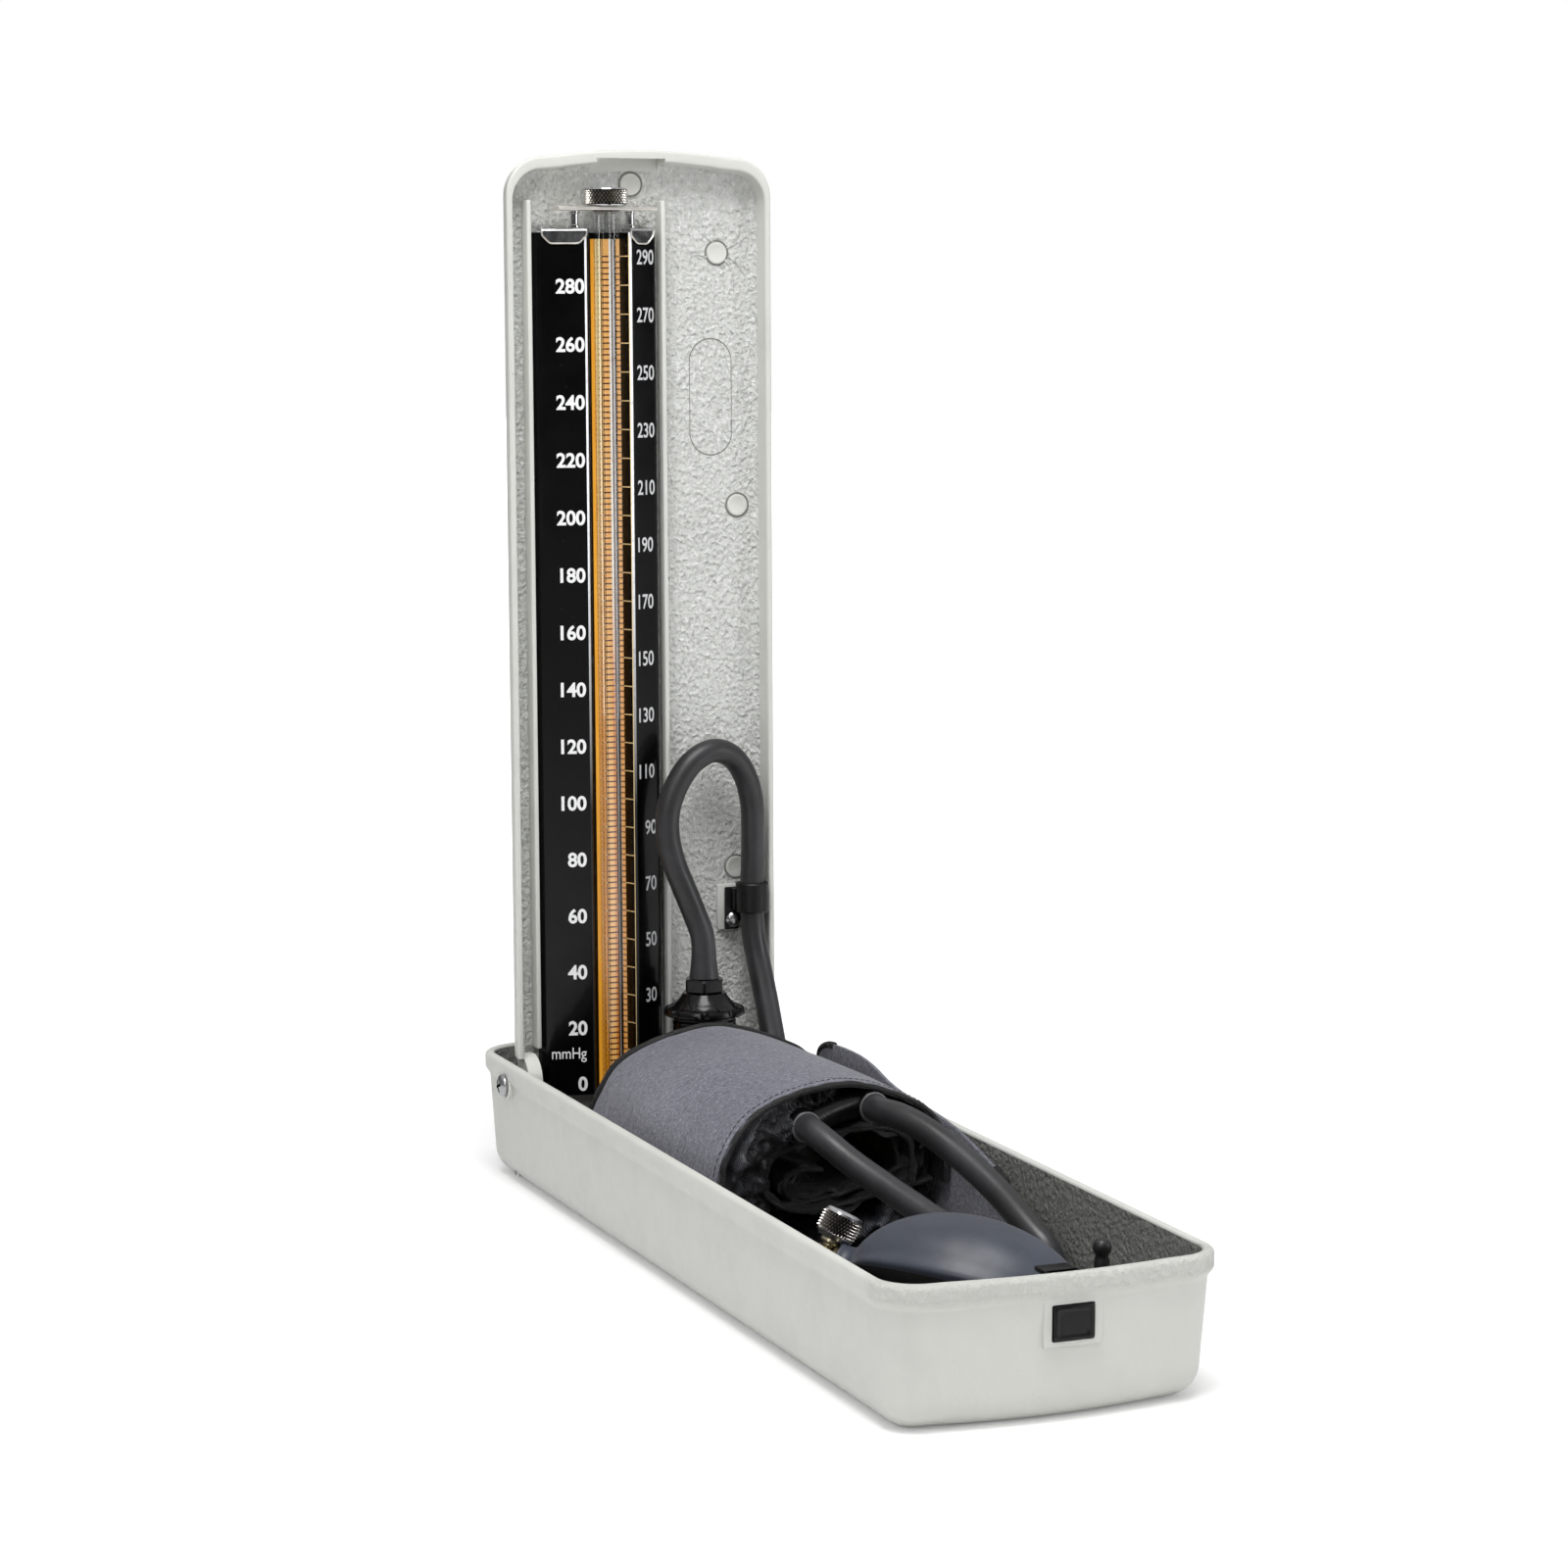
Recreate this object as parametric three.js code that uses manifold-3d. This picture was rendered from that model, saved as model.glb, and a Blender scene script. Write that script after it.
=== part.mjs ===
// Desk sphygmomanometer with a mercury column: cast tray, cast lid that stands upright on two
// hinge screws, folded scale plate with the glass tube, mercury reservoir, rolled cuff, bulb and hoses.
// Millimetres, +Z up. X is the width, Y the length; the latch end is at -Y and the hinge end at +Y.
import * as THREE from 'three'
import { mergeVertices } from 'three/addons/utils/BufferGeometryUtils.js'
import Module from 'manifold-3d'

const wasm = await Module()
wasm.setup()

// Sizes

// clearance left between pieces that touch
const gap = 0.3
// running clearance round a turning pin, on the radius
const pinPlay = 0.1

// glass tube: its height above the hinge axis sets the lengths of the lid and the tray
const tubeHigh = 298
const lidHead = 21
const lidTop = tubeHigh + lidHead

// tray
const trayHeight = 43.3
const trayHalfWidth = 52.8
const trayPlay = 4.7
const trayFront = lidTop + trayPlay
const trayBack = 34
const trayBow = 5.5
const trayCornerFront = 14
const trayCornerBack = 16
const trayFloor = 2.6
const rimWall = 3.2
const bandHeight = 7
const bandProud = 1.6
const trayDraft = 2.6
const trayFillet = 9
const trayInnerFillet = 7

// hinge: the axis lies along X, below the rim
const axisBelowRim = 7.8
const pinRadius = 2
const pinHeadRadius = 4
const pinHeadHeight = 2.2
const bossRadius = 6

// lid, standing open; u is the height above the axis, v the depth behind it
const lidPlay = 1.6
const lidHalfWidth = trayHalfWidth - rimWall - lidPlay
const lidBow = 5.2
const lidCorner = 13
const lidRim = -1.3
const lidDepth = 10.4
const lidFloor = 2.4
const lidLip = 2.2
const lidEndLip = 3.9
const lidDraft = 0.8
const lidFillet = 5
const lipEnd = 9
const tongueEnd = 22
const tongueSet = 4.5
const tongueHalfWidth = lidHalfWidth - tongueSet
const stopReach = 5
const stopThick = 4
const stopTop = -12
const leanBack = 1.15
const markHeight = 0.5
const markRadius = 3.8
const bumperX = 30.8
const bumperSet = 39.2
const bumperY = bumperSet - trayFront
const earWidth = 5
const earRadius = 5.2
const earSet = 2.5
const earOutside = lidHalfWidth - earSet
const ribThick = 1.6
const ribLeft = -39.4
const ribRight = 8.3
const ribFront = 1
const ribLow = 11.6
const ribSet = 17
const ribHigh = lidTop - ribSet

// scale plate
const plateThick = 0.8
const plateSet = 6.8
const plateHigh = tubeHigh - plateSet
const plateLeft = -38
const plateRight = 6.9
const channelCentre = -12.7
const channelHalf = 8.45
const channelFloorHalf = 5
const channelFront = -3.2
const channelBack = 4.6
const wingBack = 1
const plateSkirt = 6.3

// glass tube and its mounting
const tubeX = -12.65
const tubeV = -1.6
const tubeRadius = 4.5
const tubeBore = 1.9
const tubeLow = -10.5
const cupHigh = 5
const scaleZero = -1
const backingSet = 2.12
const bridgeRise = 0.6
const bridgeU = tubeHigh + bridgeRise
const bridgeThick = 1.1
const bridgeX = -13.7
const bridgeHalf = 17.8
const bridgeDeep = 10
const postRadius = 1.55
const postSpread = 10.1
const nutRadius = 7.5
const nutHeight = 6.4
const clipDrop = 3.8

// reservoir
const wellX = 16.2
const wellV = -13.2
const wellRadius = 10.7
const wellWall = 1.6
const wellLow = -12
const wellTop = 20.7
const flangeRadius = 14.1
const flangeThick = 4.2
const domeHeight = 4.8
const hexAcross = 12.8
const hexHeight = 4.6
const barbRadius = 2.9
const barbHeight = 9
const airBore = 1.3

// hoses
const hoseRadius = 4.2
const hoseOnBarb = 5.1

// cuff roll
const cuffBack = -56
const cuffFront = -164.5
const cuffSkew = 0.278
const cuffSide = 7.5
const cuffHalf = trayHalfWidth - cuffSide
const cuffUp = 29.6
const cuffThick = 4.8
const cuffTurns = 1.95
const cuffStart = -8
const cuffSteps = 44
const bladderThick = 8.2
const bladderGap = 0.6
const portSet = 4
const bulbPortX = -13.4
const manometerPortX = 16.5

// bulb and valve
const bulbRadius = 22.6
const bulbHalf = 36
const bulbWall = 2.6
const bulbNeck = 6.3
const neckLong = 9.5
const inletProud = 1.8
const bulbEndX = 19.65
const bulbEndSet = 23.2
const valveSide = 14.8
const valveZ = -5
const valveBall = 5.4
const outletLong = 12
const needleRadius = 1.6
const knobSeat = 7.6
const knobRadius = 6
const knobHeight = 8.6

// latch
const buttonWide = 12.6
const buttonTall = 9.8
const buttonX = 2.7
const buttonDrop = 14.3
const buttonTravel = 2.2
const hookWide = 10.6
const hookDeep = 2.6
const hookX = 3.2
const hookTop = 6.2
const hookPlate = 1.4
const hookPlateLong = 9
const toothHigh = 1.6
const latchWall = 1.5
const ledgeReach = 1.3
const ledgeTop = 2.4
const notchLeft = -15.7
const notchRight = 9.1

// bottom of the plate, just above the cup that holds the tube
const plateLow = tubeLow + cupHigh + gap

// place of the hinge axis above the bottom of the tray
const axisHeight = trayHeight - axisBelowRim
const midLength = (trayFront - trayBack) / 2

// A point of the standing lid, from x, the depth v and the height u.
function lidGroupPoint(x, v, u) {
  const lean = THREE.MathUtils.degToRad(leanBack)
  return [x, v * Math.cos(lean) + u * Math.sin(lean), u * Math.cos(lean) - v * Math.sin(lean)]
}

// Materials

const paint = (color, roughness, metalness = 0) =>
  new THREE.MeshStandardMaterial({ color, roughness, metalness })
const enamel = paint(0xcacbc4, 0.45)
const enamelLid = paint(0xcfd0c9, 0.45)
const blackSteel = paint(0x0c0c0d, 0.18, 0.1)
const blackPlastic = paint(0x161617, 0.42)
const rubber = paint(0x2c2d30, 0.7)
const bulbRubber = paint(0x464c5c, 0.55)
const chrome = paint(0xd8d9da, 0.12, 1)
const glass = paint(0xe9eef0, 0.05)
const amber = paint(0xd79424, 0.35)
const mercury = paint(0xc9ccd0, 0.05, 1)
const cloth = paint(0x7b7c8a, 0.95)
const nylon = paint(0x17171a, 0.7)
const steel = paint(0xa9abad, 0.3, 1)
const leather = paint(0x6b4a32, 0.8)

// Solids

// Negative where the faces point inwards.
function signedVolume(position, faces) {
  const corner = (i) => new THREE.Vector3().fromBufferAttribute(position, faces[i])
  let volume = 0
  for (let f = 0; f < faces.length; f += 3) volume += corner(f).dot(corner(f + 1).cross(corner(f + 2)))
  return volume
}

function toSolid(geometry) {
  const plain = geometry.index ? geometry.toNonIndexed() : geometry.clone()
  plain.deleteAttribute('normal')
  plain.deleteAttribute('uv')
  const merged = mergeVertices(plain, 1e-4)
  const faces = new Uint32Array(merged.index.array)
  if (signedVolume(merged.attributes.position, faces) < 0) faces.reverse()
  const mesh = new wasm.Mesh({
    numProp: 3,
    vertProperties: new Float32Array(merged.attributes.position.array),
    triVerts: faces,
  })
  return new wasm.Manifold(mesh)
}

function toGeometry(solid) {
  const mesh = solid.getMesh()
  const geometry = new THREE.BufferGeometry()
  geometry.setAttribute('position', new THREE.BufferAttribute(new Float32Array(mesh.vertProperties), 3))
  geometry.setIndex(new THREE.BufferAttribute(new Uint32Array(mesh.triVerts), 1))
  geometry.computeVertexNormals()
  return geometry
}

// The indexed geometry of rings of equal counts, joined in order and closed by a fan at each end.
function loft(rings) {
  const count = rings[0].length
  const points = rings.flat()
  const middle = (ring) => ring.reduce((sum, p) => sum.add(p), new THREE.Vector3()).divideScalar(count)
  points.push(middle(rings[0]), middle(rings[rings.length - 1]))
  const first = points.length - 2
  const last = points.length - 1
  const faces = []
  for (let r = 0; r + 1 < rings.length; r++) {
    for (let i = 0; i < count; i++) {
      const j = (i + 1) % count
      const a = r * count + i
      const b = r * count + j
      faces.push(a, b, a + count, b, b + count, a + count)
    }
  }
  const end = (rings.length - 1) * count
  for (let i = 0; i < count; i++) {
    const j = (i + 1) % count
    faces.push(first, j, i)
    faces.push(last, end + i, end + j)
  }
  const geometry = new THREE.BufferGeometry().setFromPoints(points)
  if (signedVolume(geometry.attributes.position, faces) < 0) faces.reverse()
  geometry.setIndex(faces)
  geometry.computeVertexNormals()
  return geometry
}

const box = (x0, x1, y0, y1, z0, z1) =>
  toSolid(new THREE.BoxGeometry(x1 - x0, y1 - y0, z1 - z0)
    .translate((x0 + x1) / 2, (y0 + y1) / 2, (z0 + z1) / 2))

// A round bar along X, Y or Z from a to b, at the two other coordinates p and q.
function bar(axis, radius, a, b, p, q, sides = 20) {
  const geometry = new THREE.CylinderGeometry(radius, radius, b - a, sides)
  geometry.translate(0, (a + b) / 2, 0)
  if (axis === 'x') geometry.rotateZ(-Math.PI / 2).translate(0, p, q)
  if (axis === 'y') geometry.translate(p, 0, q)
  if (axis === 'z') geometry.rotateX(Math.PI / 2).translate(p, q, 0)
  return toSolid(geometry)
}

// A turned piece about the Z axis from pairs of radius and height.
function turned(pairs, sides = 32) {
  const profile = pairs.map(([r, z]) => new THREE.Vector2(r, z))
  return toSolid(new THREE.LatheGeometry(profile, sides).rotateX(Math.PI / 2))
}

// An outline of x and y pairs, pulled up in Z from low to high.
function prism(pairs, low, high) {
  const shape = new THREE.Shape(pairs.map(([x, y]) => new THREE.Vector2(x, y)))
  const geometry = new THREE.ExtrudeGeometry(shape, { depth: high - low, bevelEnabled: false, steps: 1 })
  return toSolid(geometry.translate(0, 0, low))
}

const arc = (cx, cy, r, from, to, steps) =>
  Array.from({ length: steps + 1 }, (_, i) => {
    const t = THREE.MathUtils.degToRad(from + (to - from) * i / steps)
    return [cx + r * Math.cos(t), cy + r * Math.sin(t)]
  })

// Outline of a long case seen from above, with a bowed low end and round corners.
function caseOutline(half, low, high, bow, cornerLow, cornerHigh) {
  const bowed = (x) => low + bow * (x / half) ** 2
  const lean = THREE.MathUtils.radToDeg(Math.atan(2 * bow / half))
  const inner = half - cornerLow
  const seat = bowed(inner * 0.98) + cornerLow * 0.98
  const steps = 6
  const points = []
  points.push(...arc(inner, seat, cornerLow, -90 + lean * 0.7, 0, steps))
  points.push(...arc(half - cornerHigh, high - cornerHigh, cornerHigh, 0, 90, steps))
  points.push(...arc(cornerHigh - half, high - cornerHigh, cornerHigh, 90, 180, steps))
  points.push(...arc(-inner, seat, cornerLow, 180, 270 - lean * 0.7, steps))
  for (let i = 1; i < 8; i++) {
    const x = -inner * 0.86 + (inner * 1.72) * i / 8
    points.push([x, bowed(x)])
  }
  return points
}

// Tray

// inset of the outside wall at a height above the bottom
const wallInset = (z) => bandProud + trayDraft * (trayHeight - bandHeight - z) / (trayHeight - bandHeight)

function trayRing(inset, z) {
  const outline = caseOutline(trayHalfWidth - inset, -trayFront + inset, trayBack - inset, trayBow,
    Math.max(trayCornerFront - inset, 2), Math.max(trayCornerBack - inset, 2))
  return outline.map(([x, y]) => new THREE.Vector3(x, y, z - axisHeight))
}

const outerRings = []
for (const angle of [90, 65, 40, 15]) {
  const t = THREE.MathUtils.degToRad(angle)
  const z = trayFillet * (1 - Math.sin(t))
  outerRings.push(trayRing(wallInset(z) + trayFillet * (1 - Math.cos(t)), z))
}
const bandLow = trayHeight - bandHeight
const outerSteps = [[wallInset(trayFillet), trayFillet], [wallInset(bandLow - 0.4), bandLow - 0.4],
  [0.5, bandLow + 0.2], [0, bandLow + 1], [0, trayHeight - 1.4], [0.5, trayHeight - 0.4], [1.3, trayHeight]]
for (const [inset, z] of outerSteps) outerRings.push(trayRing(inset, z))
const trayFull = toSolid(loft(outerRings))

const floorInset = wallInset(0) + rimWall - bandProud
const innerRings = [trayRing(rimWall - 0.6, trayHeight + 1), trayRing(rimWall - 0.5, trayHeight - 0.01),
  trayRing(rimWall, trayHeight - 0.6), trayRing(floorInset - 0.4, trayFloor + trayInnerFillet)]
for (const angle of [30, 60, 90]) {
  const t = THREE.MathUtils.degToRad(angle)
  innerRings.push(trayRing(floorInset + trayInnerFillet * (1 - Math.cos(t)),
    trayFloor + trayInnerFillet * (1 - Math.sin(t))))
}
let tray = trayFull.subtract(toSolid(loft(innerRings)))
const insideTray = (solid) => solid.intersect(trayFull)

const wallOuter = trayHalfWidth - wallInset(axisHeight)
const wallInner = trayHalfWidth - rimWall
for (const side of [-1, 1]) {
  const [inner, outer] = [earOutside + gap, wallInner + 1]
  const [a, b] = side > 0 ? [inner, outer] : [-outer, -inner]
  tray = tray.add(bar('x', bossRadius, a, b, 0, 0, 24))
  const [c, d] = side > 0 ? [wallOuter - 1, trayHalfWidth] : [-trayHalfWidth, 1 - wallOuter]
  tray = tray.add(bar('x', pinHeadRadius + 1, c, d, 0, 0, 24))
  const [e, f] = side > 0 ? [earOutside - 1, trayHalfWidth + 4] : [-trayHalfWidth - 4, 1 - earOutside]
  tray = tray.subtract(bar('x', pinRadius + pinPlay, e, f, 0, 0, 16))
}

// flat pad and window for the push button, in the bowed end
const wallFront = -trayFront + wallInset(axisHeight - buttonDrop + axisBelowRim)
const padFront = wallFront - 0.5
const buttonZ = axisBelowRim - buttonDrop
const [windowWide, windowTall] = [buttonWide + 2 * gap, buttonTall + 2 * gap]
tray = tray.add(box(buttonX - buttonWide / 2 - 2.8, buttonX + buttonWide / 2 + 2.8, padFront,
  wallFront + 2.5, buttonZ - buttonTall / 2 - 1.8, buttonZ + buttonTall / 2 + 3))
tray = tray.subtract(box(buttonX - windowWide / 2, buttonX + windowWide / 2, padFront - 2,
  wallFront + 6, buttonZ - windowTall / 2, buttonZ + windowTall / 2))

// two floor posts that the latch plate is screwed to
const latchBack = wallFront + 13
const latchPostX = buttonWide / 2 + 8.5
const latchPostTop = buttonZ - 3
for (const side of [-1, 1]) {
  const x = buttonX + side * latchPostX
  tray = tray.add(insideTray(box(x - 3.4, x + 3.4, wallFront + 1.5, latchBack - gap, 1 - axisHeight,
    latchPostTop)))
}
const latchScrewZ = latchPostTop - 5

// two side ribs in front of the lid's tongue, which stop the lid as it leans back
const leanRad = THREE.MathUtils.degToRad(leanBack)
const stopFace = (lidRim + lidDepth - lidFloor) * Math.cos(leanRad) - tongueEnd * Math.sin(leanRad) - gap
for (const side of [-1, 1]) {
  const [a, b] = [tongueHalfWidth - stopReach, trayHalfWidth - floorInset + 1]
  tray = tray.add(insideTray(box(side > 0 ? a : -b, side > 0 ? b : -a, stopFace - stopThick, stopFace,
    1 - axisHeight, stopTop)))
}

// post under the lid bumper
const bumperTop = lidRim + lidDepth - lidFloor - markHeight - gap
const bumperSeat = -6
tray = tray.add(bar('z', 3.4, 1 - axisHeight, bumperSeat, bumperX, bumperY, 20))
tray = tray.subtract(bar('z', 1.5 + gap, bumperSeat - 8, bumperSeat + 1, bumperX, bumperY, 16))

// Lid

function lidRing(inset, v, endInset = inset) {
  const outline = caseOutline(lidHalfWidth - inset, -lidTop + endInset, 6, lidBow,
    Math.max(lidCorner - inset, 2), 2)
  return outline.map(([x, y]) => new THREE.Vector3(x, v, -y))
}

const lidBack = lidRim + lidDepth
const lidFloorV = lidBack - lidFloor
const lidRings = []
for (const angle of [90, 60, 30, 0]) {
  const t = THREE.MathUtils.degToRad(angle)
  lidRings.push(lidRing(lidDraft + lidFillet * (1 - Math.cos(t)), lidBack - lidFillet * (1 - Math.sin(t))))
}
lidRings.push(lidRing(0, lidRim + 0.8))
lidRings.push(lidRing(0.6, lidRim))
for (const [more, v] of [[-0.4, lidRim], [0, lidRim + 0.5], [0.4, lidFloorV - 2], [1.2,
  lidFloorV - 0.6], [3, lidFloorV]]) {
  lidRings.push(lidRing(lidLip + more, v, lidEndLip + more))
}
let lid = toSolid(loft(lidRings))
lid = lid.subtract(box(-lidHalfWidth - 1, lidHalfWidth + 1, lidRim - 1, lidBack + 1, -20, lipEnd))
lid = lid.add(box(-tongueHalfWidth, tongueHalfWidth, lidFloorV, lidBack, -tongueEnd, lipEnd + 6))

for (const x of [ribLeft, ribRight + ribThick / 2]) {
  lid = lid.add(box(x - ribThick / 2, x + ribThick / 2, ribFront, lidFloorV + 1, ribLow, ribHigh))
}

// ear: a lug round the axis with a neck to the lid floor
function ear(side) {
  const neck = [[lidRim, lipEnd + 6], [-earRadius + 0.4, 1], [earRadius - 0.6, -2], [lidFloorV + 0.5, -3],
    [lidFloorV + 0.5, lipEnd + 6]]
  const lug = toSolid(new THREE.CylinderGeometry(earRadius, earRadius, earWidth, 24).rotateZ(Math.PI / 2))
  const shape = new THREE.Shape(neck.map(([v, u]) => new THREE.Vector2(v, u)))
  const web = new THREE.ExtrudeGeometry(shape, { depth: earWidth, bevelEnabled: false, steps: 1 })
  web.rotateY(Math.PI / 2).rotateX(Math.PI / 2).translate(-earWidth / 2, 0, 0)
  const turnedWeb = toSolid(web)
  const x = side * (earOutside - earWidth / 2)
  return lug.add(turnedWeb).translate([x, 0, 0])
}
for (const side of [-1, 1]) {
  lid = lid.add(ear(side))
  const [a, b] = side > 0 ? [earOutside - earWidth - 1, earOutside + 1] : [-earOutside - 1,
    earWidth + 1 - earOutside]
  lid = lid.subtract(bar('x', pinRadius + pinPlay, a, b, 0, 0, 16))
}

// ejector marks on the lid floor
const marks = [[-0.8, lidTop - 11.3], [bumperX, -bumperY], [37.8, 197.4], [36.4, 70.1]]
for (const [x, u] of marks) lid = lid.add(bar('y', markRadius, lidFloorV - markHeight, lidFloorV + 1, x,
  u, 20))

// pad under the hose clip
const hoseClipU = 60.2
const clipV = -1.2
const hoseClipSet = 8.6
const hoseClipX = lidHalfWidth - hoseClipSet
lid = lid.add(box(hoseClipX - 10.5, hoseClipX + 2, lidFloorV - 1.4, lidFloorV + 1, hoseClipU - 12,
  hoseClipU + 4))

// notch in the end lip, with a ledge that the latch hook's tooth catches
const notchFar = lidTop - latchWall
const ledgeAt = notchFar - ledgeReach
const lipInside = lidTop - lidEndLip - 4
lid = lid.subtract(box(notchLeft, notchRight, lidRim - 1, ledgeTop + 0.1, lipInside, ledgeAt))
lid = lid.subtract(box(notchLeft, notchRight, ledgeTop, lidFloorV, lipInside, notchFar))

// bosses that the reservoir and the tube foot are screwed to
const bossFront = 3.4
lid = lid.add(box(wellX - 6, wellX + 6, bossFront, lidFloorV + 1, -8, 12))
// Scale plate

// Front line of the folded sheet, from its left edge to its right edge, as x and v.
const channelLeft = channelCentre - channelHalf
const channelRight = channelCentre + channelHalf
const plateFront = [
  [plateLeft, plateSkirt], [plateLeft + 0.4, wingBack + 2], [plateLeft + 1.8, wingBack + 0.4],
  [plateLeft + 3.4, wingBack - 0.2], [channelLeft, channelFront], [channelLeft + 0.9, channelFront + 0.5],
  [channelCentre - channelFloorHalf, channelBack], [channelCentre + channelFloorHalf, channelBack],
  [channelRight - 0.9, channelFront + 0.5], [channelRight, channelFront],
  [plateRight - 2.2, wingBack - 0.4], [plateRight - 0.6, wingBack + 0.6], [plateRight, plateSkirt],
]

// The line moved sideways by the sheet's thickness.
function offsetLine(line, distance) {
  return line.map((p, i) => {
    const a = line[Math.max(i - 1, 0)]
    const b = line[Math.min(i + 1, line.length - 1)]
    const d = new THREE.Vector2(b[0] - a[0], b[1] - a[1]).normalize()
    const n1 = i > 0 ? new THREE.Vector2(p[0] - a[0], p[1] - a[1]).normalize() : d
    const spread = Math.max(d.dot(n1), 0.6)
    return [p[0] - d.y * distance / spread, p[1] + d.x * distance / spread]
  })
}

const plateBackLine = offsetLine(plateFront, plateThick)
const scalePlate = prism([...plateFront, ...plateBackLine.toReversed()], plateLow, plateHigh)

// pads on the lid floor behind the two wings
const wingFront = (x) => {
  const i = plateFront.findIndex((p) => p[0] > x)
  const [a, b] = [plateFront[i - 1], plateFront[i]]
  return a[1] + (b[1] - a[1]) * (x - a[0]) / (b[0] - a[0])
}
for (const x of [plateLeft + 6, plateRight - 5.5]) {
  const front = Math.max(wingFront(x - 1), wingFront(x + 1)) + plateThick * 1.06 + gap
  for (const u of [50, 150, 250]) lid = lid.add(box(x - 1, x + 1, front, lidFloorV + 1, u - 6, u + 6))
}

const backingFront = channelBack - gap
const backing = box(channelCentre - channelFloorHalf + 1.4, channelCentre + channelFloorHalf - 1.4,
  backingFront - 0.5, backingFront, plateLow, plateHigh - backingSet)

// Glass tube, mercury and seals

const place = (solid, x, v, u = 0) => solid.translate([x, v, u])
const ring = (outer, inner, low, high, sides = 28) =>
  turned([[inner, low], [outer, low], [outer, high], [inner, high], [inner, low]], sides)

const glassTube = place(ring(tubeRadius, tubeBore, tubeLow, tubeHigh), tubeX, tubeV)
const columnTop = scaleZero
const mercuryColumn = place(turned([[0, tubeLow + 0.4], [tubeBore - gap, tubeLow + 0.4],
  [tubeBore - gap, columnTop - 0.5], [0, columnTop]], 16), tubeX, tubeV)

const footHeight = 7.5
const footLow = tubeLow - 2 - footHeight
const sealThick = 1.6
const bottomSeal = place(ring(tubeRadius + 0.6, tubeBore + 0.3, tubeLow - gap - sealThick,
  tubeLow - gap), tubeX, tubeV)

// foot block: a cup round the tube end, joined to the reservoir's side
const cupTop = tubeLow + cupHigh
let tubeFoot = place(turned([[0, footLow], [tubeRadius + 2.6, footLow], [tubeRadius + 2.6, cupTop],
  [tubeRadius + 0.9, cupTop], [tubeRadius + 0.9, tubeLow - sealThick - 2 * gap],
  [tubeBore, tubeLow - sealThick - 2 * gap], [tubeBore, footLow + 2.5], [0, footLow + 2.5]]), tubeX, tubeV)
const footArm = box(tubeX + 4, wellX, -9.4, -1.4, footLow + 0.6, footLow + 6.2)
const footBase = place(turned([[0, footLow], [wellRadius + 0.4, footLow], [wellRadius + 0.4, wellLow - gap],
  [0, wellLow - gap]]), wellX, wellV)
tubeFoot = tubeFoot.add(footArm).add(footBase)
tubeFoot = tubeFoot.subtract(bar('x', 1.4, tubeX, wellX, tubeV - 2, footLow + 4, 12))
tubeFoot = tubeFoot.subtract(place(turned([[0, footLow + 2.5], [1.6, footLow + 2.5], [1.6, cupTop], [0,
  cupTop]], 12),
  wellX, wellV))

const topSeal = place(ring(tubeRadius, tubeBore + 0.3, tubeHigh + gap, tubeHigh + gap + 1.1), tubeX, tubeV)

let bridge = box(bridgeX - bridgeHalf, bridgeX + bridgeHalf, tubeV - bridgeDeep / 2, tubeV + bridgeDeep / 2,
  bridgeU, bridgeU + bridgeThick)
bridge = bridge.add(box(tubeX - 8, tubeX + 8, tubeV + bridgeDeep / 2 - bridgeThick, lidFloorV - gap,
  bridgeU, bridgeU + bridgeThick))
bridge = bridge.add(box(tubeX - 8, tubeX + 8, lidFloorV - gap - bridgeThick, lidFloorV - gap,
  bridgeU - 5, bridgeU + bridgeThick))
const collarRadius = tubeRadius + 0.35
bridge = bridge.subtract(place(turned([[0, bridgeU - 1], [collarRadius, bridgeU - 1],
  [collarRadius, bridgeU + 2], [0, bridgeU + 2]]), tubeX, tubeV))

const bridgeTop = bridgeU + bridgeThick
let knurledNut = turned([[0, bridgeTop + gap], [nutRadius - 0.5, bridgeTop + gap], [nutRadius,
  bridgeTop + gap + 0.6],
  [nutRadius, bridgeTop + nutHeight - 0.5], [nutRadius - 0.6, bridgeTop + nutHeight],
  [3, bridgeTop + nutHeight], [2.4, bridgeTop + nutHeight - 0.6], [0, bridgeTop + nutHeight - 0.6]], 32)
for (let i = 0; i < 16; i++) {
  const t = 2 * Math.PI * i / 16
  knurledNut = knurledNut.subtract(bar('z', 0.45, bridgeTop, bridgeTop + nutHeight + 1,
    (nutRadius + 0.15) * Math.cos(t), (nutRadius + 0.15) * Math.sin(t), 6))
}
knurledNut = place(knurledNut, tubeX, tubeV)

// sprung hooks over the tops of the two wings
function wingClip(from, to, lineFrom, lineTo) {
  const slope = (lineTo[1] - lineFrom[1]) / (lineTo[0] - lineFrom[0])
  const front = (x) => lineFrom[1] + slope * (x - lineFrom[0])
  const off = gap + 0.1
  const tab = prism([[from, front(from) - off - 0.8], [to, front(to) - off - 0.8],
    [to, front(to) - off], [from, front(from) - off]], plateHigh - clipDrop, plateHigh + gap + 1)
  const cap = prism([[from, front(from) - off - 0.8], [to, front(to) - off - 0.8], [to, wingBack + 3],
    [from, wingBack + 3]], plateHigh + gap, plateHigh + gap + 1)
  const keep = new THREE.Shape([[from, plateHigh + 3], [from, plateHigh - 1], [from + 2.6,
    plateHigh - clipDrop],
    [to - 2.6, plateHigh - clipDrop], [to, plateHigh - 1], [to,
    plateHigh + 3]].map((p) => new THREE.Vector2(...p)))
  const window = new THREE.ExtrudeGeometry(keep, { depth: 30, bevelEnabled: false, steps: 1 })
  window.rotateX(Math.PI / 2).translate(0, 15, 0)
  return tab.add(cap).intersect(toSolid(window))
}
const clipLeft = wingClip(plateLeft + 2.6, channelLeft + 0.3, plateFront[3], plateFront[4])
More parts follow.
